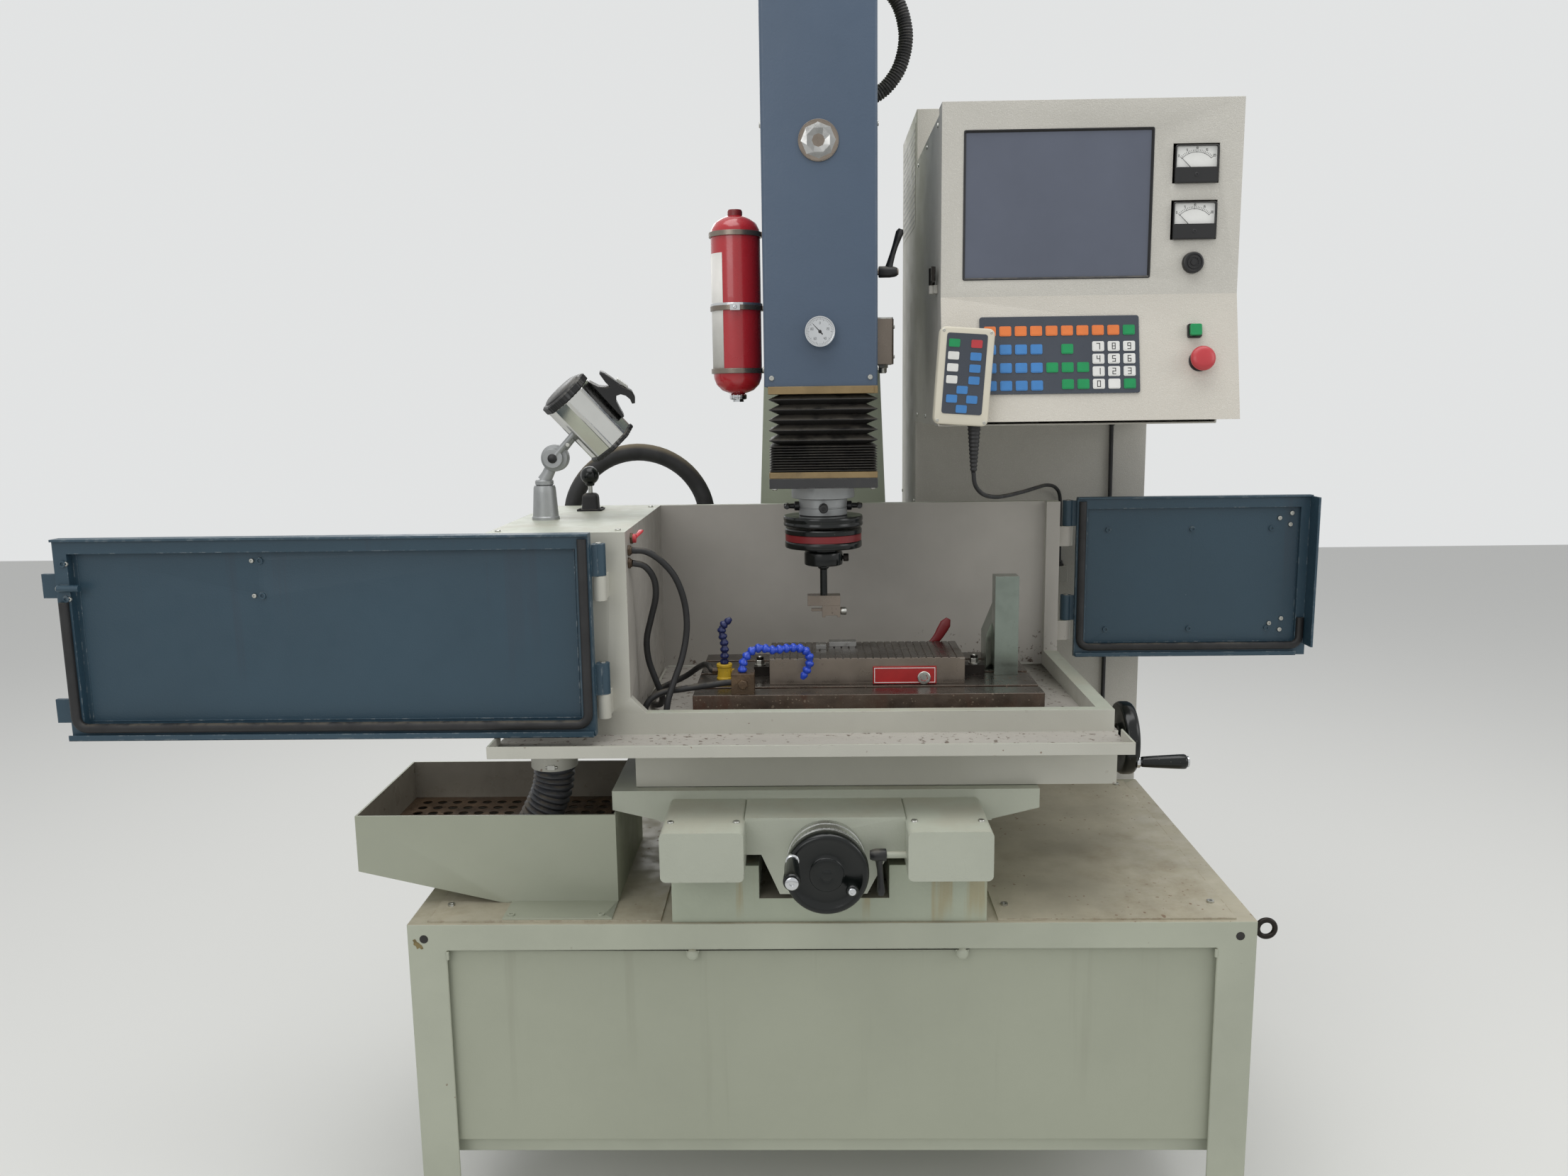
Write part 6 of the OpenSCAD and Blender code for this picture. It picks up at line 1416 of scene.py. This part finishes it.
def drawNumber(bm, text, spot, size, tint):   # digits built from seven strokes
    strokes = {"0": "abcdef", "1": "bc", "2": "abged", "3": "abgcd", "4": "fgbc", "5": "afgcd", "6": "afgecd",
        "7": "abc", "8": "abcdefg", "9": "abcdfg"}
    w, h, t = size * 0.5, size, size * 0.13
    bars = {"a": (0, h, w, 0), "g": (0, h / 2, w, 0), "d": (0, 0, w, 0), "f": (0, h / 2, 0, h / 2),
        "b": (w, h / 2, 0, h / 2), "e": (0, 0, 0, h / 2), "c": (w, 0, 0, h / 2)}
    total = len(text) * size * 0.75 - size * 0.25
    for k, letter in enumerate(text):
        for bar in strokes.get(letter, ""):
            x, z, dx, dz = bars[bar]
            x0 = spot[0] - total / 2 + k * size * 0.75 + x
            z0 = spot[2] - h / 2 + z
            before = len(bm.faces)
            bmesh.ops.create_cube(bm, size=1, matrix=Matrix.Translation((x0 + dx / 2, spot[1], z0 + dz / 2))
                @ Matrix.Diagonal((dx + t, 0.24, dz + t, 1)))
            tinted(bm, before, tint)


def dialGauge():
    x, z = -4, 868
    bm = bmesh.new()
    addLathe(bm, (x, 230, z), toFront, [(22.5, 0), (22.5, 6), (24, 7), (24, 16.4), (23.2, 18), (21.6, 18),
        (21, 15.4), (21, 12.4), (0, 12.2)], 56)
    addLathe(bm, (x, 219.2, z), toFront, [(20.8, 0), (20.8, 1.2), (0, 1.3)], 48, 1)
    gaugeTicks(bm, (x, 217.7, z), 20, 50, 360, 0, 2.0, 2, 0.3)
    for k, mark in enumerate(("0", "20", "40", "60", "80")):
        angle = radians(90 - 72 * k)
        drawNumber(bm, mark, (x + 13 * cos(angle), 217.7, z + 13 * sin(angle)), 3.2, 2)
    piece("dialGauge", bm, "machine", ["chromed", "dialWhite", "printAndShadeBlack"], ("dial_indicator",),
        smooth=30)
    bm = bmesh.new()
    addLathe(bm, (x, 217.2, z), toFront, [(1.2, 0), (2.6, 0), (2.6, 1.4), (1.2, 1.8)], 24)
    lean = radians(43)   # to the left, as in the photograph
    hand = [(-1.0, -6), (1.0, -6), (0.2, 17), (-0.2, 17)]
    addPrism(bm, [(x + u * cos(lean) - v * sin(lean), z + u * sin(lean) + v * cos(lean)) for u, v in hand],
        "y", 215.8, 216.4)
    piece("dialHand", bm, bodyOf["dial_needle"], ["printAndShadeBlack"], ("dial_needle",), smooth=30)


dialGauge()
clampLever("headClampLever", "head_lever", (106, 300, 964), toRight, (123, 300, 1030), 30, 6.4)


def fireBottle():
    x, y, z = -138.5, 330, 762
    labelRadius = 40.4   # just outside the bottle's wall
    bm = bmesh.new()
    addLathe(bm, (x, y, z), toTop, [(0, 14), (14, 14), (26, 19), (35, 28), (39, 38), (40, 48), (40, 264),
        (39, 274), (34, 284), (24, 291), (13, 296), (0, 297)], 56)
    addLathe(bm, (x, y, z), toTop, [(0, 296), (12, 296), (12, 303), (10.6, 305.6), (0, 306)], 32, 1)
    addLathe(bm, (x, y, z), toTop, [(0, 0), (9, 0), (9, 3), (13, 4), (13.6, 6), (13.6, 11), (11, 14),
        (11, 16)], 32, 2)
    for i in range(12):
        a = pi * i / 6
        addRod(bm, (x + 13 * cos(a), y + 13 * sin(a), z + 5), (x + 13 * cos(a), y + 13 * sin(a), z + 12), 1.0,
            2, 8)
    piece("fireBottle", bm, "machine", ["bottleRed", "darkRed", "chromed"], ("extinguisher",),
        smooth=34)
    bm = bmesh.new()
    rings = []
    bend = [radians(178 + 2.6 * k) for k in range(25)]
    for height in (z + 52, z + 236):
        rings.append([(x + labelRadius * cos(a), y + labelRadius * sin(a), height) for a in bend])
    made = [[bm.verts.new(p) for p in ring] for ring in rings]
    for i in range(24):
        bm.faces.new((made[0][i], made[0][i + 1], made[1][i + 1], made[1][i]))
    piece("bottleLabel", bm, "machine", ["paperLabel"], smooth=40)
    bpy.data.objects["bottleLabel"].modifiers.new("paper", "SOLIDIFY").thickness = 0.0003
    bm = bmesh.new()
    addLathe(bm, (x, y, z + 146), toTop, [(40.3, 0), (42.4, 0.5), (42.4, 11.5), (40.3, 12)], 56)
    addBox(bm, (x - 8, y - 47, z + 145), (x + 8, y - 41.5, z + 155))
    addScrew(bm, (x, y - 47, z + 150), toFront, 3.2, 2)
    piece("bottleBand", bm, "machine", ["chromed"], bevel=0.4, smooth=30)


fireBottle()


# ram, bellows and electrode holder, all round x = 0 and y = ramY
ramY = 314
softened("z_ram", "zRam", ["chromed", "blackEnamel", "castAluminium"], 1.0, lambda p, n: 1
    if 624 < p.z < 642 and (abs(n.z) > 0.5 or abs(p.x) > 60 or abs(p.y - 314) > 60) else 2 if p.z < 626
    else 0)


def bellowsPiece():
    bm = bmesh.new()
    rings = []
    low, high, pitchWide, wide, tight = 651.0, 773.0, 16.0, 5, 10
    pitchTight = (high - low - wide * pitchWide) / tight

    def fold(z, half, corner):
        return [(x, y, z) for x, y in roundRect(0, ramY, 2 * half, 2 * half, corner, 3)]

    z = low
    for _ in range(tight):
        rings += [fold(z, 77.5, 7), fold(z + pitchTight * 0.42, 85.4, 3),
            fold(z + pitchTight * 0.58, 85.4, 3)]
        z += pitchTight
    for _ in range(wide):
        rings += [fold(z, 69.5, 12), fold(z + pitchWide * 0.25, 78, 7), fold(z + pitchWide * 0.46, 85.6, 3),
            fold(z + pitchWide * 0.54, 85.6, 3), fold(z + pitchWide * 0.75, 78, 7)]
        z += pitchWide
    rings.append(fold(high, 69.5, 12))
    inner = [[(x * 0.97, ramY + (y - ramY) * 0.97, zz) for x, y, zz in ring] for ring in rings]
    addRings(bm, rings + inner[::-1], 0, True)
    folds = blendedPiece("bellowsFolds", bm, "bellowsVinyl")
    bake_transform(folds)
    bm = bmesh.new()
    rings = [[(x, y, zz) for x, y in roundRect(0, ramY, 172, 172, 3, 3)] for zz in (641.2, 650.8)]
    rings += [[(x, y, zz) for x, y in roundRect(0, ramY, 90, 90, 40, 3)] for zz in (650.8, 641.2)]
    addRings(bm, rings, 0, True)
    piece("bellowsFrame", bm, "ram", ["brassStrip"], ("bellows",), bevel=0.6)
    bm = bmesh.new()
    for x in (-78, 78):
        for y in (ramY - 78, ramY + 78):
            addScrew(bm, (x, y, 625), (0, 0, -1), 4.4, 2.6)
    piece("plateScrews", bm, "ram", ["zincScrew"])


bellowsPiece()


def wingScrew(bm, z, angle, tee):
    turn = Matrix.Translation((0, ramY, z)) @ Matrix.Rotation(radians(angle), 4, "Z")
    part = bmesh.new()
    addLathe(part, (38, 0, 0), toRight, [(4, 0), (7.6, 2), (7.6, 9), (4.4, 10.4), (4, 22)], 24)
    if tee:
        addSweep(part, [(60, y, 0) for y in (-17, -14, -6, 0, 6, 14, 17)], circle(4.4, 16),
            swell=lambda i, c: (0.75, 1.0, 0.85, 0.95, 0.85, 1.0, 0.75)[i])
        addLathe(part, (62, 0, 0), toRight, [(4, 0), (4, 2.4), (3, 3.2), (0, 3.4)], 20)
    else:
        addScrew(part, (58, 0, 0), toRight, 7.2, 6)
    bmesh.ops.transform(part, matrix=turn, verts=part.verts)
    mesh = bpy.data.meshes.new("part")
    part.to_mesh(mesh)
    part.free()
    bm.from_mesh(mesh)
    bpy.data.meshes.remove(mesh)


def holderPieces():
    bm = bmesh.new()
    addLathe(bm, (0, ramY, 575), toTop, [(38, 0), (40, 1.4), (40, 12), (39.2, 12.6), (39.2, 13.6), (40, 14.2),
        (40, 27.4), (38.6, 29)], 56)
    addLathe(bm, (0, ramY, 540), toTop, [(11.9, 0), (11.9, 17)], 32, 1)
    addLathe(bm, (0, ramY, 557), toTop, [(60, 0), (64.6, 0.6), (66, 2.4), (66, 5.6), (65.2, 7), (65.2, 9),
        (66, 10.4), (66, 15.4), (64.6, 17.6), (52, 18), (40, 18)], 72, 1)
    piece("holderBody", bm, bodyOf["electrode_holder"], ["castAluminium", "phenolic"],
        ("electrode_holder",), smooth=34)
    bm = bmesh.new()
    for angle, tee in ((0, True), (180, True), (-90, False)):
        wingScrew(bm, 590, angle, tee)
    piece("holderScrews", bm, bodyOf["electrode_holder"], ["blackPlastic"], smooth=40)


holderPieces()


def chuckPieces():
    name, body = "electrode_chuck", bodyOf["electrode_chuck"]
    bm = bmesh.new()
    addLathe(bm, (0, ramY, 521), toTop, [(58, 0), (63, 0.8), (64, 2.4), (64, 9.6), (63, 11.6), (62.4, 12),
        (62.4, 24), (64, 24.6), (64, 31), (62.6, 33), (12.2, 33), (12.2, 20), (0, 20)], 72)
    addLathe(bm, (0, ramY, 491), toTop, [(0, 0), (29, 0), (31.4, 1.2), (32, 3), (32, 20), (31, 22.6),
        (25.4, 23.6), (25, 24), (25, 30.2)], 56)
    addLathe(bm, (0, ramY, 436), toTop, [(6, 0), (6, 47), (9.4, 50), (9.4, 56)], 28)
    piece("chuckBody", bm, body, ["phenolic"], (name,), smooth=34)
    bm = bmesh.new()
    # insulating ring
    addLathe(bm, (0, ramY, 533), toTop, [(62.5, 0), (63.3, 0.5), (63.3, 11.3), (62.5, 11.8)], 72)
    piece("insulatorRing", bm, body, ["darkRed"], smooth=34)
    bm = bmesh.new()
    rings = []
    for t, r in ((30, 3.2), (33, 3.2), (33, 5.6), (34, 6.2), (41, 6.2), (42, 5.4)):
        reach = [r + (0.35 if i % 2 and r > 5 else 0) for i in range(36)]   # knurled head
        rings.append([(t, ramY + q * cos(pi * i / 18), 503 + q * sin(pi * i / 18))
            for i, q in enumerate(reach)])
    addRings(bm, rings)
    piece("neckScrew", bm, body, ["blackedSteel"], smooth=24)
    bm = bmesh.new()
    addBox(bm, (-27.5, 302, 423), (27.5, 326, 440))
    addBox(bm, (-3, 303, 406), (27.5, 325, 423.5))
    for x in (-3, 22):   # feet of the jaws
        addBox(bm, (x, 303, 403), (x + 5.5, 325, 406.5))
    addBox(bm, (-21, 311, 412), (-2, 317, 417))
    for z in (409, 416):
        addBox(bm, (13, 302.6, z), (14.4, 303.2, z + 4))
    piece("electrodeClamp", bm, body, ["chuckSteel"], bevel=1.0)
    bm = bmesh.new()
    addLathe(bm, (28, ramY, 412), toRight, [(3, -26), (3, 0), (6.2, 0), (6.5, 0.6), (6.5, 9), (5.8, 10),
        (3.2, 10), (3, 6), (0, 6)], 28, 0, (7, 8))
    piece("clampScrew", bm, bodyOf["clamp_screw"], ["zincScrew"], ("clamp_screw",), smooth=34)


chuckPieces()
print("head made")


# cabinet and console
def cabinetShell():   # hollow cabinet with the console's box in front, open behind its door
    bm = bmesh.new()
    rims = []
    for t in (0, 3):
        side = [(304, 718 + t), (700 + t, 718 + t), (700 + t, t - 560), (1020 - t, t - 560),
            (1020 - t, 1302 - t), (700 + t, 1302 - t), (700 + t, 1206 - t), (304, 1206 - t)]
        left, right = [[bm.verts.new((x, y, z)) for y, z in side] for x in (188 + t, 640 - t)]
        bm.faces.new(left)
        bm.faces.new(right[::-1])
        for i in range(7):
            bm.faces.new((left[i], left[i + 1], right[i + 1], right[i]))
        rims.append((left[0], left[7], right[7], right[0]))
    for i in range(4):
        j = (i + 1) % 4
        bm.faces.new((rims[0][i], rims[0][j], rims[1][j], rims[1][i]))
    for z in (756, 1142):   # hinge leaves, knuckles and pins
        addBox(bm, (639.8, 304, z), (654, 308, z + 40))
        addRod(bm, (654, 302, z), (654, 302, z + 40), 5.5)
        addRod(bm, (654, 302, z + 39), (654, 302, z + 78), 2.5)
    for a, b in (((182, 323, 931), (188.2, 347, 945)), ((550, 684, -80), (590, 700.2, -40)),
            ((459, 680, 398), (489, 700.2, 430))):
        addBox(bm, a, b)
    addRod(bm, (180, 335, 931), (180, 335, 945), 5)
    addRod(bm, (180, 335, 944), (180, 335, 973), 2.5)
    piece("cabinetBody", bm, bodyOf["cabinet_body"], ["powderCoat"], ("cabinet_body",),
        bevel=1.4)


cabinetShell()
# faces that slope up towards the front take the painted-light copy of the powder coat
softened("console_door", "consoleDoor", ["powderCoat", "slopePaintedLight"], 1.4,
         lambda p, n: 1 if n.z > 0.1 and n.y < -0.7 else 0)
softened("console_latch", "consoleLatch", ["blackedSteel"], 0.6)
# console slope: x, depth, way up
slopeTurn = Matrix.Translation((0, 222, 726)) @ Matrix.Rotation(-atan2(40, 194), 4, "X")


def screenPieces():
    x0, z0 = 366, 1057.5
    bm = bmesh.new()
    rings = [[(x, y, z) for x, z in roundRect(x0, z0, w, h, r, 4)]
        for y, w, h, r in ((262.4, 292, 225, 3), (261.2, 291.6, 224.6, 3), (261.0, 290.6, 223.6, 3),
        (261.0, 288.6, 221.6, 2), (264.0, 284, 217, 1.5), (266, 284, 217, 1.5))]
    addRings(bm, rings, 0, True)
    piece("screenBezel", bm, bodyOf["panel_fittings"], ["blackPlastic"], smooth=30)
    bm = bmesh.new()
    rings = [[(x, y, z) for x, z in roundRect(x0, z0, w, h, 2, 4)]
        for y, w, h in ((281, 287, 220), (264.6, 287, 220), (264.3, 282, 215), (264.2, 276, 209))]
    addRings(bm, rings)
    piece("screenPane", bm, bodyOf["screen"], ["screenGlass"], ("screen",), smooth=60)


screenPieces()


def meterPieces(name, box, needle, needleName):
    x0, z0, x1, z1 = box
    cx, cz = (x0 + x1) / 2, z0 + 14
    w, h = x1 - x0, z1 - z0
    mx, mz = cx, (z0 + z1) / 2
    bm = bmesh.new()
    rings = [[(x, y, z) for x, z in roundRect(mx, mz, ww, hh, 3, 4)]
        for y, ww, hh in ((262, w, h), (256.8, w, h), (256, w - 1.4, h - 1.4), (256, w - 3, h - 3),
        (261.2, w - 3.4, h - 3.4))]
    addRings(bm, rings)
    addPrism(bm, roundRect(mx, z0 + 12.4, w - 3.2, 21.4, 1.5), "y", 256.2, 261.4)   # lower cover
    addScrew(bm, (mx, 256.4, z0 + 12), toFront, 3.2, 0.9, 2)
    addPrism(bm, roundRect(mx, z0 + 38.9, w - 3.6, 31.4, 1), "y", 260.6, 261.3, 1)
    sweep = [(cx + r * cos(radians(a)), cz + r * sin(radians(a)))
        for r, rangeA in ((32, range(45, 136, 5)), (31.5, range(135, 44, -5))) for a in rangeA]
    addPrism(bm, sweep, "y", 260.3, 260.55, 2)
    gaugeTicks(bm, (cx, 260.45, cz), 35.5, 21, 90, 45, 2.4, 2, 0.2)
    for k, mark in enumerate(("20", "15", "10", "5", "0")):
        angle = radians(45 + 22.5 * k)
        drawNumber(bm, mark, (cx + 38.4 * cos(angle), 260.45, cz + 38.4 * sin(angle) - 0.6), 3.0, 2)
    piece(name, bm, bodyOf["panel_fittings"], ["blackPlastic", "dialWhite", "printAndShadeBlack"],
        bevel=0.0, smooth=30)
    bm = bmesh.new()
    addLathe(bm, (cx, 260.2, cz), toFront, [(1.1, 0), (3, 0), (3, 2), (2.4, 2.4), (1.1, 2.4)], 24)
    angle = radians(135)
    tip = (cx + 33 * cos(angle), cz + 33 * sin(angle))
    dx, dz = 0.55 * sin(angle), -0.55 * cos(angle)
    addPrism(bm, [(cx + dx, cz + dz), (tip[0] + dx * 0.4, tip[1] + dz * 0.4),
        (tip[0] - dx * 0.4, tip[1] - dz * 0.4), (cx - dx, cz - dz)], "y", 258.6, 259.2)
    piece(needleName, bm, bodyOf[needle], ["printAndShadeBlack"], (needle,), smooth=30)


meterPieces("voltMeter", (543.5, 1086, 609.5, 1142), "volt_needle", "voltHand")
meterPieces("ampMeter", (543.5, 1002, 609.5, 1058), "amp_needle", "ampHand")


def panelButtons():
    bm = bmesh.new()
    addLathe(bm, (577, 262, 967), toFront, [(16.4, 0), (16.4, 5), (15.4, 7.2), (14, 8), (12.6, 8), (12, 6.6),
        (10, 6.6), (9.4, 7.6), (8, 7.6), (7.4, 6.4), (5, 6.4), (4.4, 7.4), (0, 7.6)], 48)
    for i in range(12):   # sound slots
        x, z = 577 + 8 * cos(pi * i / 6), 967 + 8 * sin(pi * i / 6)
        addRod(bm, (x, 256.2, z), (x, 254.6, z), 1.3, 0, 10)
    piece("alarmBuzzer", bm, bodyOf["panel_fittings"], ["blackPlastic"], ("panel_fittings",),
        smooth=34)
    green, stop = Vector((580, 0, 138.9)), Vector((587, 0, 91.9))
    bm = bmesh.new()
    addLathe(bm, stop, toFront, [(15, -0.5), (16.4, 0), (16.4, 0.8), (15, 1.4), (8.3, 1.4), (8.3, 0)], 40)
    rings = [[(x, y, z) for x, z in roundRect(green.x, green.z, w, w, 3, 4)]
        for y, w in ((0, 21.6), (-5, 21.6), (-6, 20.4), (-6, 18.6), (0, 18.6))]
    addRings(bm, rings, 0, True)
    turned(bm, slopeTurn)
    piece("buttonCollars", bm, bodyOf["console_door"], ["blackPlastic"], smooth=34)
    bm = bmesh.new()
    addPrism(bm, roundRect(green.x, green.z, 17.8, 17.8, 2.8), "y", -13, -6.6)
    addRod(bm, green + Vector((0, -5, 0)), green + Vector((0, 10, 0)), 7.9)
    turned(bm, slopeTurn)
    piece("greenButton", bm, bodyOf["green_button"], ["greenKey"], ("green_button",),
        bevel=0.9)
    bm = bmesh.new()
    addLathe(bm, stop, toFront, [(7.9, -10), (7.9, 7), (11.6, 8), (11.6, 13), (15, 14), (18.2, 15.4),
        (19.2, 18), (18.8, 21), (16.6, 23.8), (11, 25.4), (0, 26)], 56)
    turned(bm, slopeTurn)
    piece("stopButton", bm, bodyOf["stop_button"], ["stopRed"], ("stop_button",), smooth=50)


panelButtons()


def keypadPieces():
    bm = bmesh.new()
    middleX, middleZ, pitch = 370, 104, 24
    addPrism(bm, roundRect(middleX, middleZ, 248, 122, 4), "y", -2.6, 0)
    layout = [(i, 142, 1, "") for i in range(9)] + [(9, 142, 2, "")]   # column, height, colour, mark
    layout += [(i, z, 3, "") for i in range(4) for z in (113, 84, 56)]
    layout += [(5, 113, 2, ""), (4, 84, 2, ""), (5, 84, 2, ""), (6, 84, 2, ""), (5, 57.5, 2, ""),
        (6, 57.5, 2, "")]
    layout += [(7 + k % 3, 116.5 - 19.7 * (k // 3), 4, mark) for k, mark in enumerate("789456123")]
    layout += [(7, 57.4, 4, "0"), (8, 57.4, 4, ""), (9, 57.4, 2, "")]
    for i, z, tint, mark in layout:
        x = middleX + (i - 4.5) * pitch
        addPrism(bm, roundRect(x, z, 18.5, 15.6, 2.4), "y", -3.7, -2.4, tint)
        addPrism(bm, roundRect(x, z, 15.5, 12.8, 2), "y", -4.1, -3.6, tint)
        if mark:
            drawNumber(bm, mark, (x, -4.2, z), 9, 5)
    turned(bm, slopeTurn)
    piece("keypad", bm, bodyOf["keypad"], ["membrane", "orangeKey", "greenKey", "blueKey",
        "whiteKey", "printAndShadeBlack"], ("keypad",), bevel=0.3, smooth=30)


keypadPieces()


def pendantPieces():
    turn = Matrix.Translation((216, 0, 796)) @ Matrix.Rotation(radians(4), 4, "Y")
    bm = bmesh.new()
    rings = [[(x, y, z) for x, z in roundRect(0, 0, w, h, r, 6)]
        for y, w, h, r in ((221.6, 78, 142, 9), (219.6, 83, 147, 10), (209, 84, 148, 10),
        (208.6, 82.6, 146.6, 10), (207.6, 82.6, 146.6, 10), (207.2, 84, 148, 10), (198, 84, 148, 10),
        (195.6, 81, 145, 9), (195, 76, 140, 8))]
    addRings(bm, rings)
    addPrism(bm, roundRect(0, 4, 62, 122, 4), "y", 194.2, 195.4, 1)
    keys = [(-19, 50, 2), (15, 50, 3)] + [(-19, 31 - 18 * k, 5) for k in range(3)] + [(15, 31 - 18 * k, 4)
        for k in range(3)]
    keys += [(-2, -20, 4), (-17, -34, 4), (14, -34, 4), (-1, -49, 4)]
    for x, z, tint in keys:
        addPrism(bm, roundRect(x, z, 17, 12, 2), "y", 193.2, 194.4, tint)
    for x, z in ((-36, 68), (36, 68), (-36, -68), (36, -68)):
        addScrew(bm, (x, 195.4, z), toFront, 2.4, 0.8, 6)
    turned(bm, turn)
    piece("pendantBox", bm, bodyOf["pendant"],
        ["creamPlastic", "membrane", "greenKey", "stopRed", "blueKey", "whiteKey", "zincScrew"], ("pendant",),
        bevel=0.5, smooth=34)
    bm = bmesh.new()
    rings = []
    for k in range(25):   # spiral strain relief
        t = k / 24
        r = 11 - 5.6 * t
        q = r if k % 2 else r - 1.4
        rings.append([(234 + q * cos(pi * i / 12), 210 + q * sin(pi * i / 12), 724 - 73.6 * t)
            for i in range(24)])
    addRings(bm, rings)
    piece("pendantRelief", bm, bodyOf["pendant"], ["rubber"], smooth=20)


pendantPieces()


def cabinetDetails():
    bm = bmesh.new()
    for z in (-440, 560):
        for y in (722, 998):
            addScrew(bm, (188, y, z), (-1, 0, 0), 4.2, 2.4)
            addScrew(bm, (640, y, z), toRight, 4.2, 2.4)
    for x in (206, 622):
        for z in (-520, 0, 660, 1270):
            addScrew(bm, (x, 1020, z), (0, 1, 0), 4.2, 2.4)
    for y in (330, 500, 660):
        addScrew(bm, (188, y, 1192), (-1, 0, 0), 3.6, 2.2)
        addScrew(bm, (188, y, 732), (-1, 0, 0), 3.6, 2.2)
    piece("cabinetScrews", bm, "machine", ["zincScrew"])
    bm = bmesh.new()
    addLathe(bm, (570, 693, 719), (0, 0, -1), [(9.4, 0), (9.4, 5), (8, 6), (7.4, 7), (7.2, 10), (5, 13),
        (4.2, 13.6)], 24, 0, (0, 1))
    addLathe(bm, (474, 693, 430), toTop, [(9, 0), (9, 4), (7, 5), (6.6, 9), (4, 12)], 24, 0, (0, 1))
    addLathe(bm, (570, 694, -40), toTop, [(9, 0), (9, 4), (7, 5), (6.6, 9), (4.4, 12)], 24, 0, (0, 1))
    piece("cableGlands", bm, "machine", ["blackPlastic"], smooth=34)
    bm = bmesh.new()
    addBox(bm, (187.3, 722, 1092), (188.2, 990, 1281))
    # the vent holes are black discs on a plain sheet: painted shade of the holes
    for i in range(22):
        for j in range(15):
            addLathe(bm, (187.4, 731 + 12 * i, 1102 + 12 * j), (-1, 0, 0), [(2.9, 0), (2.9, 0.25), (0, 0.25)],
                10, 1)
    piece("ventSheet", bm, "machine", ["powderCoat", "printAndShadeBlack"], smooth=20)


cabinetDetails()
print("cabinet and console made")


# floor, lamps and sky
studio = {"floor": paintChip(224, 224, 220), "sky": 0.55, "seen": (0.76, 0.77, 0.77, 1.0),
    "lamps": [("ceilingLamp", (0.2, -0.4, 3.9), (0, 0, 0.8), 3.6, 2.4, 74),
    ("frontLamp", (-1.6, -3.6, 2.6), (0, 0, 0.9), 2.0, 1.6, 22),
    ("sideLamp", (3.4, -1.6, 2.4), (0, 0, 1.0), 1.6, 1.6, 17), ("backLamp", (-1.0, 3.4, 2.8), (0, 0, 1.0),
    2.0, 1.4, 18)]}


def buildStudio():
    bpy.ops.mesh.primitive_plane_add(size=16, location=(0, 0, 0))
    floor = bpy.context.active_object
    floor.name = "studioFloor"
    paint = bpy.data.materials.new("studioFloor")
    paint.use_nodes = True
    shader = paint.node_tree.nodes["Principled BSDF"]
    shader.inputs["Base Color"].default_value = studio["floor"]
    shader.inputs["Roughness"].default_value = 0.75
    floor.data.materials.append(paint)
    for name, spot, goal, width, height, power in studio["lamps"]:
        light = bpy.data.lights.new(name, "AREA")
        light.shape = "RECTANGLE"
        light.size, light.size_y, light.energy = width, height, power
        holder = bpy.data.objects.new(name, light)
        holder.location = spot
        holder.rotation_mode = "QUATERNION"
        holder.rotation_quaternion = (Vector(goal) - Vector(spot)).to_track_quat("-Z", "Y")
        bpy.context.scene.collection.objects.link(holder)
    world = bpy.data.worlds.new("studio")
    bpy.context.scene.world = world
    world.use_nodes = True
    tree = world.node_tree
    soft = tree.nodes["Background"]
    soft.inputs["Color"].default_value = (0.97, 0.98, 1.0, 1.0)
    soft.inputs["Strength"].default_value = studio["sky"]
    seen = tree.nodes.new("ShaderNodeBackground")
    seen.inputs["Color"].default_value = studio["seen"]
    blend = tree.nodes.new("ShaderNodeMixShader")
    path = tree.nodes.new("ShaderNodeLightPath")
    seenRay = plus(tree, path.outputs["Is Camera Ray"], path.outputs["Is Transmission Ray"])
    seenRay = math2(tree, "ADD", seenRay, path.outputs["Is Glossy Ray"], True)
    tree.links.new(seenRay, blend.inputs[0])
    tree.links.new(soft.outputs[0], blend.inputs[1])
    tree.links.new(seen.outputs[0], blend.inputs[2])
    tree.links.new(blend.outputs[0], tree.nodes["World Output"].inputs[0])
    bpy.context.scene.view_settings.view_transform = "Standard"


buildStudio()
print("studio lit")
